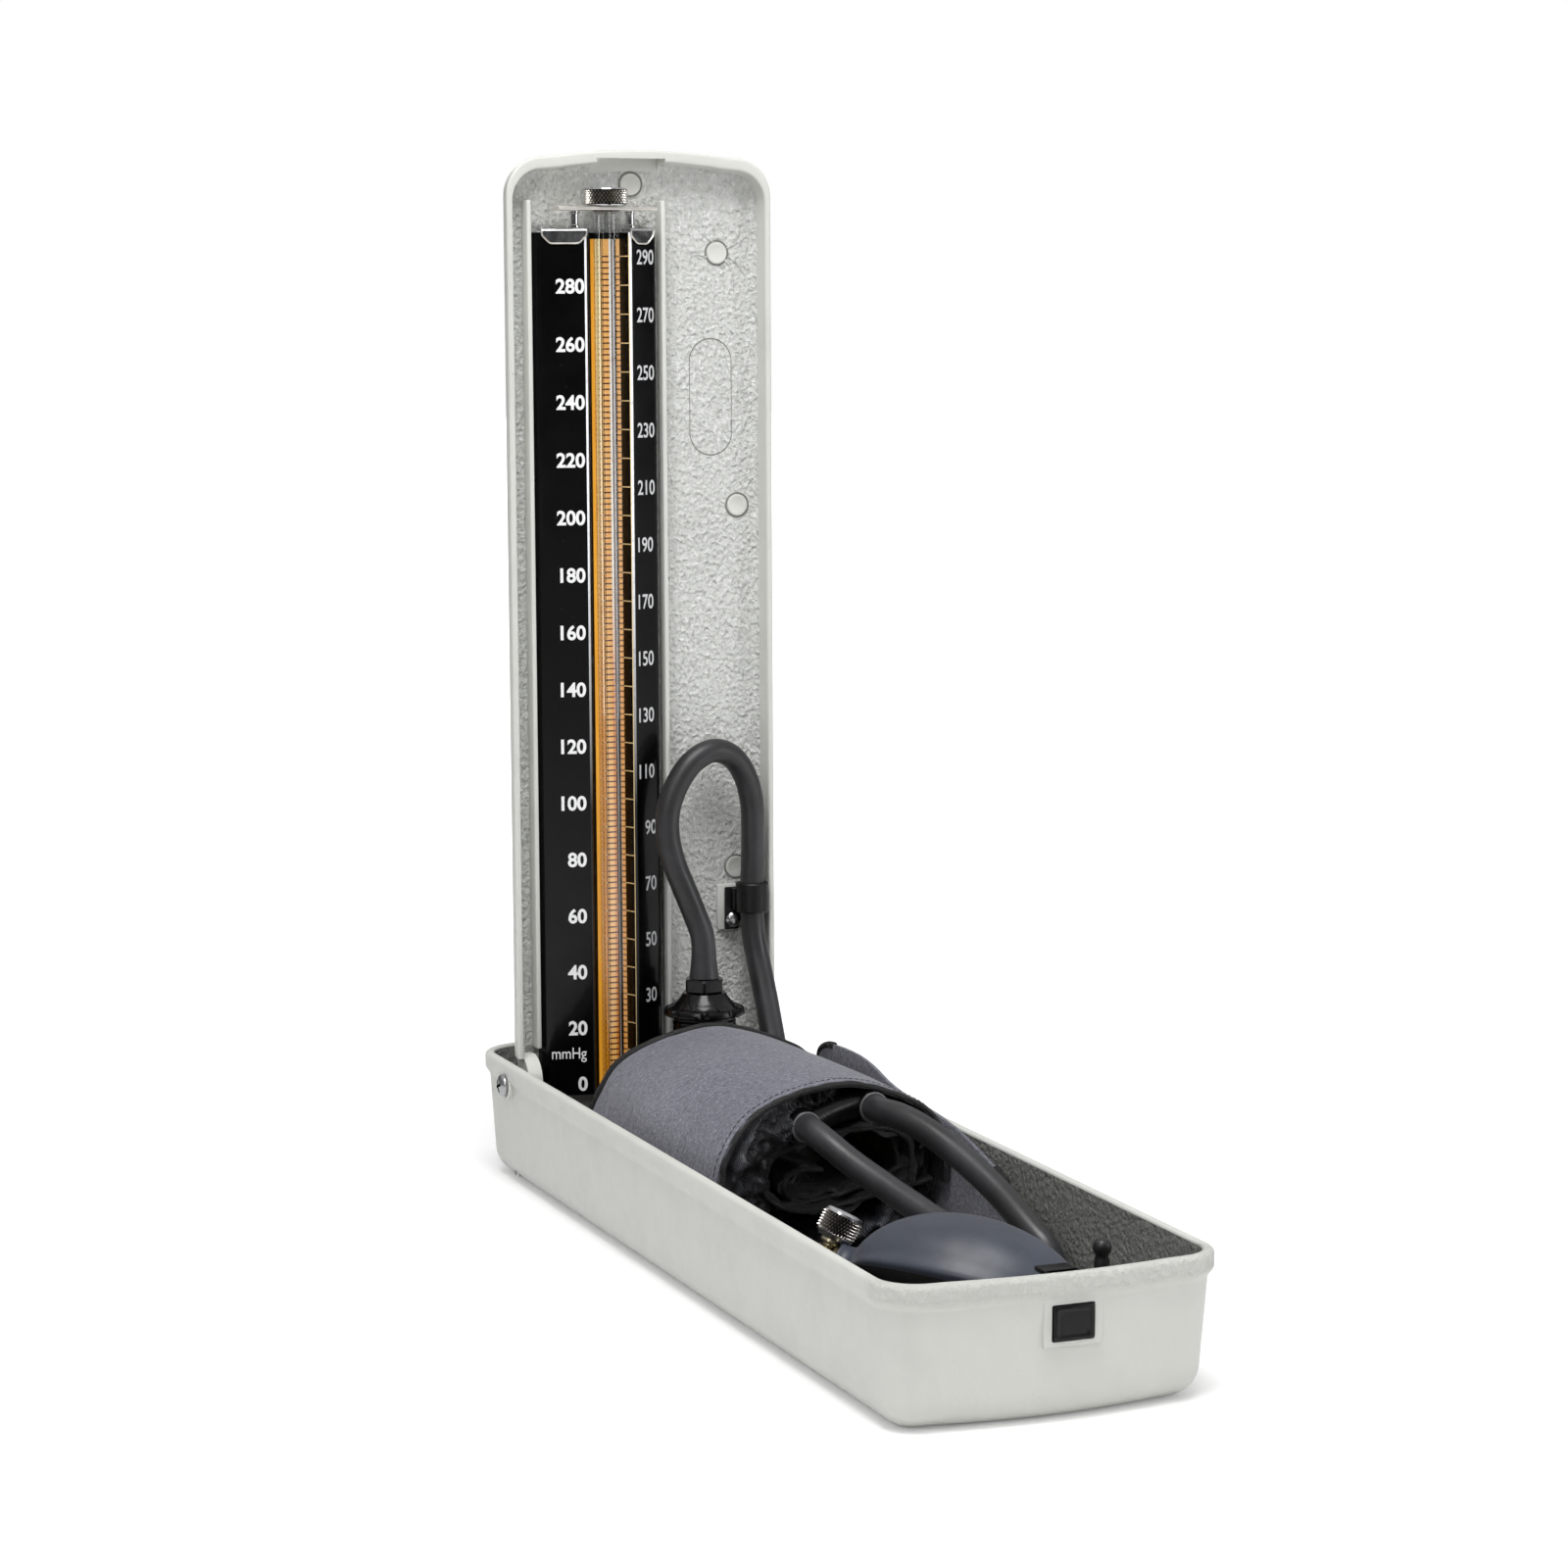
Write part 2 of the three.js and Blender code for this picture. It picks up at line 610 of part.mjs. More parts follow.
const clipRight = wingClip(channelRight - 0.6, plateRight + 0.1, plateFront[9], plateFront[10])

const postLow = plateHigh + 2 * gap + 1
const postV = tubeV + 1.4
const bridgePost = (side) => bar('z', postRadius, postLow, bridgeU - gap, bridgeX + side * postSpread,
  postV, 16)

// Reservoir

const wellFloor = wellLow + 2
const reservoirCup = place(turned([[1.6, wellLow], [wellRadius, wellLow], [wellRadius, wellTop - gap],
  [wellRadius - wellWall, wellTop - gap], [wellRadius - wellWall, wellFloor], [1.6, wellFloor], [1.6,
  wellLow]], 36),
  wellX, wellV)
const lug = box(wellX - 4.5, wellX + 4.5, wellV + wellRadius - 1.4, bossFront - gap, -6, 10)
const reservoir = reservoirCup.add(lug.subtract(place(turned([[0, wellLow], [wellRadius - 0.8, wellLow],
  [wellRadius - 0.8, wellTop], [0, wellTop]], 36), wellX, wellV)))
const mercuryPool = place(turned([[0, wellFloor + gap], [wellRadius - wellWall - gap, wellFloor + gap],
  [wellRadius - wellWall - gap, scaleZero - 0.6], [0, scaleZero]], 32), wellX, wellV)
const filterLow = wellTop + 0.1
const filterDisc = place(turned([[0, filterLow], [wellRadius - 2.2, filterLow], [wellRadius - 2.2,
  filterLow + 0.8],
  [0, filterLow + 0.8]], 28), wellX, wellV)
const gasket = place(ring(wellRadius, wellRadius - 1.9, wellTop, wellTop + 1), wellX, wellV)

const capLow = wellTop + 1 + gap
const capTop = wellTop + flangeThick
let flange = turned([[airBore, capLow], [flangeRadius, capLow], [flangeRadius, capTop - 0.8],
  [flangeRadius - 0.9, capTop], [wellRadius, capTop + 0.3], [7.4, capTop + domeHeight], [airBore,
  capTop + domeHeight],
  [airBore, capLow]], 48)
for (let i = 0; i < 8; i++) {
  const t = 2 * Math.PI * (i + 0.5) / 8
  flange = flange.subtract(bar('z', 1.9, wellTop, capTop + 1,
    (flangeRadius + 1) * Math.cos(t), (flangeRadius + 1) * Math.sin(t), 12))
}
const reservoirCap = place(flange, wellX, wellV)

const nutLow = capTop + domeHeight + gap
const nippleTop = nutLow + hexHeight + barbHeight
const hexRadius = hexAcross / 2 / Math.cos(Math.PI / 6)
const hex = toSolid(new THREE.CylinderGeometry(hexRadius, hexRadius, hexHeight, 6).rotateX(Math.PI / 2)
  .translate(0, 0, nutLow + hexHeight / 2))
let nipple = hex.add(turned([[0, nutLow + 1], [barbRadius, nutLow + 1], [barbRadius, nippleTop - 2],
  [barbRadius - 0.7, nippleTop], [0, nippleTop]], 20))
nipple = nipple.subtract(bar('z', airBore, nutLow - 1, nippleTop + 1, 0, 0, 12))
nipple = place(nipple, wellX, wellV)

// Hose on the lid

// A smooth curve through points, as a round bar of 8 to 12 sides.
function tubeAlong(points, radius, steps, sides = 10) {
  const curve = new THREE.CatmullRomCurve3(points.map((p) => new THREE.Vector3(...p)), false, 'centripetal')
  const section = new THREE.Shape(arc(0, 0, radius, 0, 360 - 360 / sides, sides - 1)
    .map((p) => new THREE.Vector2(...p)))
  const geometry = new THREE.ExtrudeGeometry(section, { steps, extrudePath: curve, bevelEnabled: false })
  return { geometry, length: curve.getLength() }
}

const hoseStart = nutLow + hexHeight + gap
const lidHosePoints = [
  [wellX, wellV, nippleTop + gap], [15.6, -13.1, 50], [13.2, -12.6, 57], [9.9, -11.4, 66], [6.6, -10.2, 75],
  [4.6, -9.4, 85], [5.2, -9, 94], [9.2, -8.8, 103.5], [15.4, -8.2, 110.4], [23, -7.2, 113.2], [30.2,
  -5.8, 110.6],
  [35.6, -4.4, 103.6], [38.5, -3.4, 94.4], [39.4, -2.2, 84], [hoseClipX + 0.2, -1.4, 74], [hoseClipX,
  clipV, 65.6],
]
const lidHose = tubeAlong(lidHosePoints, hoseRadius, 44)
const hoseCuff = place(turned([[barbRadius + gap, hoseStart], [hoseOnBarb, hoseStart], [hoseOnBarb,
  nippleTop - 2],
  [hoseRadius + 0.2, nippleTop - gap], [barbRadius + gap, nippleTop - gap], [barbRadius + gap,
  hoseStart]], 20), wellX, wellV)

// P clip: a band round the hose and a tail under the screw
const clipBand = 1.3
const clipInner = hoseRadius + gap
const clipOuter = clipInner + clipBand
const clipLow = hoseClipU - 5.3
const clipHigh = hoseClipU + 5.1
const padFrontV = lidFloorV - 1.4
let hoseClip = place(ring(clipOuter, clipInner, clipLow, clipHigh, 28), hoseClipX, clipV)
hoseClip = hoseClip.add(box(hoseClipX - 8.2, hoseClipX - 1, padFrontV - gap - 1.3, padFrontV - gap,
  clipLow - 6.6, clipHigh - 2).subtract(place(turned([[0, 0], [clipInner, 0], [clipInner, 100], [0,
    100]], 28),
  hoseClipX, clipV)))
const clipScrewX = hoseClipX - 5.4
const clipScrewU = clipLow - 3
const tailFront = padFrontV - gap - 1.3
const clipHole = pinRadius - 0.5
hoseClip = hoseClip.subtract(bar('y', clipHole + 0.3, -5, padFrontV, clipScrewX, clipScrewU, 16))
lid = lid.subtract(bar('y', clipHole + 0.2, padFrontV - 1, padFrontV + 2.4, clipScrewX, clipScrewU, 16))
const clipScrew = bar('y', 2.7, tailFront - gap - 1.5, tailFront - gap, clipScrewX, clipScrewU, 20)
  .add(bar('y', clipHole, tailFront - gap - 0.5, padFrontV + 2, clipScrewX, clipScrewU, 16))

// Hinge screws

function hingeScrew(side) {
  const seat = trayHalfWidth + gap
  const profile = [[0, seat + pinHeadHeight], [2.6, seat + pinHeadHeight - 0.2],
    [pinHeadRadius - 0.4, seat + pinHeadHeight - 0.9], [pinHeadRadius, seat], [pinRadius, seat],
    [pinRadius, earOutside - earWidth + 0.4], [0, earOutside - earWidth + 0.4]]
  let screw = turned(profile, 24)
  const slotLow = seat + pinHeadHeight - 1.1
  screw = screw.subtract(box(-2.2, 2.2, -0.4, 0.4, slotLow, slotLow + 3))
  screw = screw.subtract(box(-0.4, 0.4, -2.2, 2.2, slotLow, slotLow + 3))
  return screw.rotate([0, side * 90, 0])
}

// Latch

const buttonFace = padFront - 1.1
const slideFront = wallFront + rimWall + 1.2
const button = box(buttonX - buttonWide / 2, buttonX + buttonWide / 2, buttonFace, slideFront - gap,
  buttonZ - buttonTall / 2, buttonZ + buttonTall / 2)
const slideWide = buttonWide + 3.4
const slideBack = slideFront + 2.4
const slideTop = Math.min(buttonZ + buttonTall / 2, lidRim - 2 * gap)
let hook = box(buttonX - slideWide / 2, buttonX + slideWide / 2, slideFront, slideBack,
  buttonZ - buttonTall / 2 - 1, slideTop)
const hookFront = gap - ledgeAt
hook = hook.add(box(hookX - hookWide / 2, hookX + hookWide / 2, hookFront, hookFront + hookDeep,
  buttonZ, hookTop))
hook = hook.add(box(hookX - hookWide / 2, hookX + hookWide / 2, gap - notchFar, hookFront + 1,
  ledgeTop + gap, ledgeTop + gap + toothHigh))
hook = hook.add(box(hookX - hookWide / 2, Math.min(hookX + hookWide / 2, ribRight - gap), hookFront,
  hookFront + hookPlateLong,
  hookTop - hookPlate, hookTop))
hook = hook.add(bar('y', 1.8, slideBack - 0.5, slideBack + 2, buttonX, buttonZ, 16))

const plateY = latchBack
let latchPlate = box(buttonX - latchPostX - 3.6, buttonX + latchPostX + 3.6, plateY, plateY + 1.4,
  buttonZ - buttonTall / 2 - 2.4, latchPostTop)
const springGap = 0.25
latchPlate = latchPlate.add(bar('y', 1.8, plateY - 2, plateY + 0.5, buttonX, buttonZ, 16)
  .intersect(box(-50, 50, plateY - 3, plateY + 2, -60, latchPostTop - 0.2)))
for (const side of [-1, 1]) {
  const x = buttonX + side * latchPostX
  latchPlate = latchPlate.subtract(bar('y', 1.7, plateY - 1, plateY + 3, x, latchScrewZ, 14))
  tray = tray.subtract(bar('y', 1.6, latchBack - 6, latchBack + 1, x, latchScrewZ, 14))
}
const latchScrew = (side) => {
  const x = buttonX + side * latchPostX
  return bar('y', 2.8, plateY + 1.4 + gap, plateY + 3, x, latchScrewZ, 18)
    .add(bar('y', 1.3, latchBack - 5, plateY + 2, x, latchScrewZ, 14))
}

function coil(radius, wire, turns, from, to) {
  class Helix extends THREE.Curve {
    getPoint(t, target = new THREE.Vector3()) {
      const a = 2 * Math.PI * turns * t
      return target.set(radius * Math.cos(a), from + (to - from) * t, radius * Math.sin(a))
    }
  }
  const section = new THREE.Shape(arc(0, 0, wire, 0, 300, 5).map((p) => new THREE.Vector2(...p)))
  return new THREE.ExtrudeGeometry(section, { steps: turns * 9, extrudePath: new Helix(),
    bevelEnabled: false })
}
const springWire = 0.35
const springRadius = 1.8 + springWire + springGap
const springStart = Math.max(slideBack, hookFront + hookDeep) + springWire + gap
const latchSpring = coil(springRadius, springWire, 4, springStart, plateY - springWire - gap)
latchSpring.translate(buttonX, 0, buttonZ)

const bumper = place(turned([[0, bumperSeat + gap], [2.5, bumperSeat + gap], [2.2, bumperTop - 2.4],
  [1.6, bumperTop - 0.8], [0, bumperTop]], 20).add(bar('z', 1.5, bumperSeat - 7, bumperSeat + 1, 0, 0, 16)),
  bumperX, bumperY)

// Cuff

// Outer section of the roll as the inset from its side and z, from the right over the top to the left
// and back along the floor.
const cuffBottom = trayFloor - axisHeight + gap
const fromRight = (inset, z) => new THREE.Vector3(cuffHalf - inset, z, 0)
const fromLeft = (inset, z) => new THREE.Vector3(inset - cuffHalf, z, 0)
const cuffSection = new THREE.CatmullRomCurve3([
  fromRight(0, -2), fromRight(1.7, 7), fromRight(6.3, 14.6), fromRight(13.3, 19.6), fromRight(21.3, 23.4),
  fromRight(31.3, 27.2), fromRight(41.3, 29.6), fromLeft(37.3, cuffUp), fromLeft(25.3, 28),
    fromLeft(15.7, 24.6),
  fromLeft(8.8, 20), fromLeft(4.3, 14.6), fromLeft(1.1, 7), fromLeft(0, -4), fromLeft(0.7, -16),
  fromLeft(2.9, -26), fromLeft(9.3, cuffBottom + 0.8), fromLeft(21.3, cuffBottom), fromLeft(45.3,
    cuffBottom),
  fromRight(23.3, cuffBottom), fromRight(10.3, cuffBottom + 1.6), fromRight(2.7, -25), fromRight(0.3, -14),
], true, 'catmullrom', 0.5)
const rollMiddle = new THREE.Vector2(0, (cuffUp + cuffBottom) / 2 - 1)
const sectionPoints = cuffSection.getPoints(240).map((p) => new THREE.Vector2(p.x, p.y).sub(rollMiddle))

// Distance from the middle of the roll to its outer section, at an angle from +X.
function sectionReach(angle) {
  const ray = new THREE.Vector2(Math.cos(angle), Math.sin(angle))
  let best = 0
  for (let i = 0; i + 1 < sectionPoints.length; i++) {
    const [a, b] = [sectionPoints[i], sectionPoints[i + 1]]
    const [sa, sb] = [ray.cross(a), ray.cross(b)]
    if (sa <= 0 && sb > 0) best = Math.max(best, ray.dot(a) + (ray.dot(b) - ray.dot(a)) * sa / (sa - sb))
  }
  return best
}

// The roll winds inwards once a turn,
// in the last part of the turn; depth is measured from the outer section.
const rollPitch = cuffThick + bladderThick + 2 * bladderGap
function rollDepth(turns) {
  const whole = Math.floor(turns + 1e-9)
  const part = turns - whole
  return rollPitch * (whole + THREE.MathUtils.smoothstep(part, 0.74, 1))
}

function rollPoint(turns, extra) {
  const angle = THREE.MathUtils.degToRad(cuffStart) + 2 * Math.PI * turns
  const reach = Math.max(sectionReach(Math.atan2(Math.sin(angle),
    Math.cos(angle))) - rollDepth(turns) - extra, 0.5)
  return [rollMiddle.x + reach * Math.cos(angle), rollMiddle.y + reach * Math.sin(angle)]
}

// A wound sheet from one turn count to another, its ends squared along Y but the near one set askew.
function woundSheet(from, to, outer, inner, back, front) {
  const steps = Math.round((to - from) * cuffSteps)
  const line = (extra) => Array.from({ length: steps + 1 }, (_,
    i) => rollPoint(from + (to - from) * i / steps, extra))
  const section = [...line(outer), ...line(inner).reverse()]
  const shape = new THREE.Shape(section.map((p) => new THREE.Vector2(...p)))
  const geometry = new THREE.ExtrudeGeometry(shape, { depth: 1, bevelEnabled: false, steps: 1 })
  const at = geometry.attributes.position
  for (let i = 0; i < at.count; i++) {
    const [x, z] = [at.getX(i), at.getY(i)]
    at.setXYZ(i, x, at.getZ(i) > 0.5 ? front + cuffSkew * x : back, z)
  }
  return toSolid(geometry)
}
let cuff = woundSheet(0, cuffTurns, 0, cuffThick, cuffBack, cuffFront)
const bladderOuter = cuffThick + bladderGap
const bladder = woundSheet(0.04, 0.98, bladderOuter, bladderOuter + bladderThick, cuffBack - 6,
  cuffFront + portSet)

// Middle of the bladder's thickness at an x on the top of the roll.
function bladderTop(x) {
  let [low, high] = [0.1, 0.42]
  for (let i = 0; i < 30; i++) {
    const t = (low + high) / 2
    if (rollPoint(t, bladderOuter + bladderThick / 2)[0] > x) low = t
    else high = t
  }
  return rollPoint(low, bladderOuter + bladderThick / 2)[1]
}
const nearFace = (x) => cuffFront + cuffSkew * x
const portY = (x) => nearFace(x) + portSet - gap - cuffSkew * hoseRadius
const portStart = (x, out = 0) => [x, portY(x) - out, bladderTop(x)]
for (const x of [bulbPortX, manometerPortX]) {
  const [, y, z] = portStart(x)
  cuff = cuff.subtract(bar('y', hoseRadius + gap, y - 20, y, x, z, 20))
}
const portRing = (x) => ring(hoseRadius + gap + 1.3, hoseRadius + gap, 0, 3.4, 24).rotate([90, 0, 0])
  .translate([x, nearFace(x) - 1.6, bladderTop(x)])

// Bulb and valve

// The bulb lies aslant: its inlet ends near the latch, and its valve stands off the left wall.
const bulbMiddleZ = trayFloor - axisHeight + gap + bulbRadius
const bulbSpan = 2 * bulbHalf + inletProud + neckLong
const middleShare = (bulbHalf + inletProud) / bulbSpan
const valveX = valveSide - trayHalfWidth
const bulbEndZ = (bulbMiddleZ - middleShare * valveZ) / (1 - middleShare)
const bulbEnd = new THREE.Vector3(bulbEndX, bulbEndSet - trayFront, bulbEndZ)
const spanY = Math.sqrt(bulbSpan ** 2 - (valveX - bulbEndX) ** 2 - (valveZ - bulbEndZ) ** 2)
const valveMiddle = new THREE.Vector3(valveX, bulbEnd.y + spanY, valveZ)
const bulbMiddle = bulbEnd.clone().lerp(valveMiddle, middleShare)
const bulbAim = valveMiddle.clone().sub(bulbMiddle)
const valveAlong = bulbAim.length()
bulbAim.normalize()

// A solid turned about Z, laid along a direction from a point.
function aimed(solid, from, direction) {
  const q = new THREE.Quaternion().setFromUnitVectors(new THREE.Vector3(0, 0, 1), direction)
  const m = new THREE.Matrix4().compose(from, q, new THREE.Vector3(1, 1, 1))
  return solid.transform(m.elements)
}
const neckEnd = valveAlong - valveBall - 2 * gap
const egg = (long, round, from, to, steps) => Array.from({ length: steps + 1 }, (_, i) => {
  const t = THREE.MathUtils.degToRad(from + (to - from) * i / steps)
  return [round * Math.cos(t), long * Math.sin(t)]
})
const inletBore = 3
const inletAngle = THREE.MathUtils.radToDeg(Math.acos(inletBore / bulbRadius))
const neckAngle = THREE.MathUtils.radToDeg(Math.acos(bulbNeck / bulbRadius))
const innerLong = bulbHalf - bulbWall
const innerRound = bulbRadius - bulbWall
const neckBore = barbRadius + gap
const innerNeck = THREE.MathUtils.radToDeg(Math.acos(neckBore / innerRound))
const innerInlet = THREE.MathUtils.radToDeg(Math.acos(inletBore / innerRound))
const bulbOutside = egg(bulbHalf, bulbRadius, -inletAngle, neckAngle, 12)
const bulbInside = egg(innerLong, innerRound, innerNeck, -innerInlet, 8)
const bulb = aimed(turned([...bulbOutside, [bulbNeck, neckEnd], [neckBore, neckEnd], ...bulbInside,
  bulbOutside[0]], 26),
  bulbMiddle, bulbAim)

const inletEnd = -bulbHalf - inletProud
const inlet = aimed(turned([[1, inletEnd], [4.4, inletEnd], [4.4, 1.2 - bulbHalf - gap - 1.2],
  [inletBore - gap, 1.2 - bulbHalf - gap - 1.2], [inletBore - gap, bulbWall + 2 - bulbHalf],
  [1, bulbWall + 2 - bulbHalf], [1, inletEnd]], 24), bulbMiddle, bulbAim)

const knobAxis = new THREE.Vector3(Math.sin(0.506), 0, Math.cos(0.506))
const outletAxis = new THREE.Vector3(-0.2, 0.97, -0.14).normalize()
const barbStart = bulbHalf - 4
let valve = aimed(turned([[1.2, barbStart], [barbRadius - 0.5, barbStart], [barbRadius, barbStart + 2],
  [barbRadius, neckEnd + gap], [5, neckEnd + gap], [5, neckEnd + 2], [4.2, neckEnd + 2], [4.2, valveAlong],
  [1.2, valveAlong], [1.2, barbStart]], 20), bulbMiddle, bulbAim)
const ball = toSolid(new THREE.SphereGeometry(valveBall, 16, 10))
valve = valve.add(ball.translate(valveMiddle.toArray()))
valve = valve.add(aimed(turned([[0, 0], [4, 0], [4, knobSeat], [0, knobSeat]], 24), valveMiddle, knobAxis))
valve = valve.add(aimed(turned([[0, 0], [barbRadius, 0], [barbRadius, outletLong - 1.5],
  [barbRadius - 0.6, outletLong], [0, outletLong]], 20), valveMiddle, outletAxis))
valve = valve.subtract(aimed(turned([[0, 2], [needleRadius + pinPlay + 0.1, 2],
  [needleRadius + pinPlay + 0.1, 20],
  [0, 20]], 20), valveMiddle, knobAxis))
valve = valve.subtract(aimed(turned([[0, 1], [1.2, 1], [1.2, 30], [0, 30]], 12), valveMiddle, outletAxis))

const knobLow = knobSeat + gap
let knob = turned([[0, knobSeat - 5], [needleRadius, knobSeat - 5], [needleRadius, knobLow], [4.6, knobLow],
  [4.6, knobLow + 1], [knobRadius, knobLow + 1.4], [knobRadius, knobLow + knobHeight - 0.6],
  [knobRadius - 0.6, knobLow + knobHeight], [0, knobLow + knobHeight]], 28)
for (let i = 0; i < 14; i++) {
  const t = 2 * Math.PI * i / 14
  knob = knob.subtract(bar('z', 0.4, knobLow, knobLow + knobHeight + 1,
    (knobRadius + 0.1) * Math.cos(t), (knobRadius + 0.1) * Math.sin(t), 6))
}
knob = knob.subtract(box(-0.6, 0.6, -10, 10, knobLow + knobHeight - 1, knobLow + knobHeight + 1))
knob = aimed(knob, valveMiddle, knobAxis)

// Hoses in the tray

const along = (from, axis, distance) => from.clone().addScaledVector(axis, distance).toArray()
const lower = lidGroupPoint(hoseClipX, clipV, clipLow - gap)
const cornerX = trayHalfWidth - floorInset - trayInnerFillet + 1.2
const cornerZ = trayFloor - axisHeight + trayInnerFillet - 1.3
const manometerHose = tubeAlong([
  lower, lidGroupPoint(39.6, -1.8, 46), lidGroupPoint(40.6, -4.4, 36), [41.4, -8, 25], [41.8, -13, 13],
  [41.8, -19.5, 1], [41.6, -28, -11], [41.4, -38, -20.5], [cornerX, -50, cornerZ + 0.8], [cornerX, -66,
  cornerZ],
  [cornerX, -110, cornerZ], [cornerX, -150, cornerZ], [cornerX, -190, cornerZ], [cornerX, -212, cornerZ],
  [41, -229, -25.6], [40, -238.6, -19], [37.6, -238.4, -11], [34.6, -229.6, -5], [31.8, -214, 2.4],
  [27, -198, 9.6], [21.6, -184, 15.4], [18, -175, 17.2], portStart(manometerPortX, 11),
  portStart(manometerPortX, 7), portStart(manometerPortX, 3), portStart(manometerPortX),
], hoseRadius, 70, 8)
const bulbHose = tubeAlong([
  along(valveMiddle, outletAxis, outletLong + gap), along(valveMiddle, outletAxis, outletLong + 3),
  [-41, -221.6, -9], [-38.4, -213, -14.6], [-31.5, -205.6, -20.6],
  [-20, -204, -25.6], [-7, -210.6, -27.6], [4, -221, -26], [11.6, -231, -19.6], [14, -235.6, -12],
  [12.2, -229, -5.8],
  [6.9, -215, -0.3], [0.2, -200, 5.8], [-6.4, -187, 12], [-11.2, -178.6, 17.6], portStart(bulbPortX, 11),
  portStart(bulbPortX, 7), portStart(bulbPortX, 3), portStart(bulbPortX),
], hoseRadius, 40, 8)

// small guide on the right wall
const guideZ = -5.7
const guideX = trayHalfWidth - rimWall - (floorInset - 0.4 - rimWall) * (axisBelowRim - 0.6 - guideZ)
  / (trayHeight - 0.6 - trayFloor - trayInnerFillet) - gap
const guide = box(guideX - 2.6, guideX - 0.2, -191, -182, guideZ - 2.8, guideZ + 2.8)

// Assembly

const root = new THREE.Group()
root.name = 'sphygmomanometer'
root.position.set(0, midLength, axisHeight)
const trayGroup = new THREE.Group()
const lidGroup = new THREE.Group()
lidGroup.rotation.x = -leanRad
root.add(trayGroup, lidGroup)

function put(group, name, solid, material) {
  const geometry = solid.isBufferGeometry ? solid : toGeometry(solid)
  const mesh = new THREE.Mesh(geometry, material)
  mesh.name = name
  group.add(mesh)
  return mesh
}

put(trayGroup, 'tray', tray, enamel)
put(lidGroup, 'lid', lid, enamelLid)
put(lidGroup, 'scale_plate', scalePlate, blackSteel)
put(lidGroup, 'scale_backing', backing, amber)
put(lidGroup, 'glass_tube', glassTube, glass)
put(lidGroup, 'mercury_column', mercuryColumn, mercury)
put(lidGroup, 'tube_bottom_seal', bottomSeal, rubber)
put(lidGroup, 'tube_foot', tubeFoot, blackPlastic)
put(lidGroup, 'tube_top_seal', topSeal, rubber)
put(lidGroup, 'tube_bridge', bridge, chrome)
put(lidGroup, 'tube_nut', knurledNut, chrome)
put(lidGroup, 'plate_clip_left', clipLeft, chrome)
put(lidGroup, 'plate_clip_right', clipRight, chrome)
put(lidGroup, 'bridge_post_left', bridgePost(-1), chrome)
put(lidGroup, 'bridge_post_right', bridgePost(1), chrome)
put(lidGroup, 'reservoir', reservoir, blackPlastic)
put(lidGroup, 'mercury_pool', mercuryPool, mercury)
put(lidGroup, 'filter_disc', filterDisc, leather)
put(lidGroup, 'reservoir_gasket', gasket, rubber)
put(lidGroup, 'reservoir_cap', reservoirCap, blackPlastic)
put(lidGroup, 'hose_nipple', nipple, blackPlastic)
put(lidGroup, 'hose_collar', hoseCuff, rubber)
put(lidGroup, 'lid_hose', lidHose.geometry, rubber)
put(lidGroup, 'hose_clip', hoseClip, blackPlastic)
put(lidGroup, 'hose_clip_screw', clipScrew, steel)
put(trayGroup, 'hinge_screw_left', hingeScrew(-1), steel)
put(trayGroup, 'hinge_screw_right', hingeScrew(1), steel)
put(trayGroup, 'latch_button', button, blackPlastic)
put(trayGroup, 'latch_hook', hook, blackPlastic)
put(trayGroup, 'latch_spring', latchSpring, steel)
put(trayGroup, 'latch_plate', latchPlate, steel)
put(trayGroup, 'latch_screw_left', latchScrew(-1), steel)
put(trayGroup, 'latch_screw_right', latchScrew(1), steel)
put(trayGroup, 'lid_bumper', bumper, rubber)
put(trayGroup, 'cuff', cuff, cloth)
put(trayGroup, 'cuff_bladder', bladder, nylon)
put(trayGroup, 'port_ring_left', portRing(bulbPortX), chrome)
put(trayGroup, 'port_ring_right', portRing(manometerPortX), chrome)
put(trayGroup, 'bulb', bulb, bulbRubber)
put(trayGroup, 'bulb_inlet', inlet, chrome)
put(trayGroup, 'valve_body', valve, chrome)
put(trayGroup, 'valve_knob', knob, chrome)
put(trayGroup, 'manometer_hose', manometerHose.geometry, rubber)
put(trayGroup, 'bulb_hose', bulbHose.geometry, rubber)
put(trayGroup, 'hose_guide', guide, blackPlastic)
console.log('hose lengths', lidHose.length.toFixed(1), manometerHose.length.toFixed(1),
  bulbHose.length.toFixed(1))

export default root
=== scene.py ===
import bpy
import bmesh
import math
from mathutils import Matrix, Vector, noise


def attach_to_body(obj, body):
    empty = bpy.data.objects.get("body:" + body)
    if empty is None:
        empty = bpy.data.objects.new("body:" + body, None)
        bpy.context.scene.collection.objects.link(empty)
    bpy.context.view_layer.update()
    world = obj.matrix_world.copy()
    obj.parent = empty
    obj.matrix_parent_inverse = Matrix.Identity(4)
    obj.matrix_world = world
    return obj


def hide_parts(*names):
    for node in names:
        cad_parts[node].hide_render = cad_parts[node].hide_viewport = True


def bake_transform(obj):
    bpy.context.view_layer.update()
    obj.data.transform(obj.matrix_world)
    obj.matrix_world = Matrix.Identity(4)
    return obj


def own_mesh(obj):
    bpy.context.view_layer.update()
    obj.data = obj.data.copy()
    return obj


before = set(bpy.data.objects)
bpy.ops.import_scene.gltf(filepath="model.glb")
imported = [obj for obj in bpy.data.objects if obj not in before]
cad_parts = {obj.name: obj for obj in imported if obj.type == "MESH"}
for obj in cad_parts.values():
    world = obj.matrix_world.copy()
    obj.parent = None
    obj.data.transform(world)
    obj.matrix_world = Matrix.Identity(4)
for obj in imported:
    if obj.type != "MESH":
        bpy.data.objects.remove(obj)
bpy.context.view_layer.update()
print("frame loaded:", len(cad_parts), "nodes")

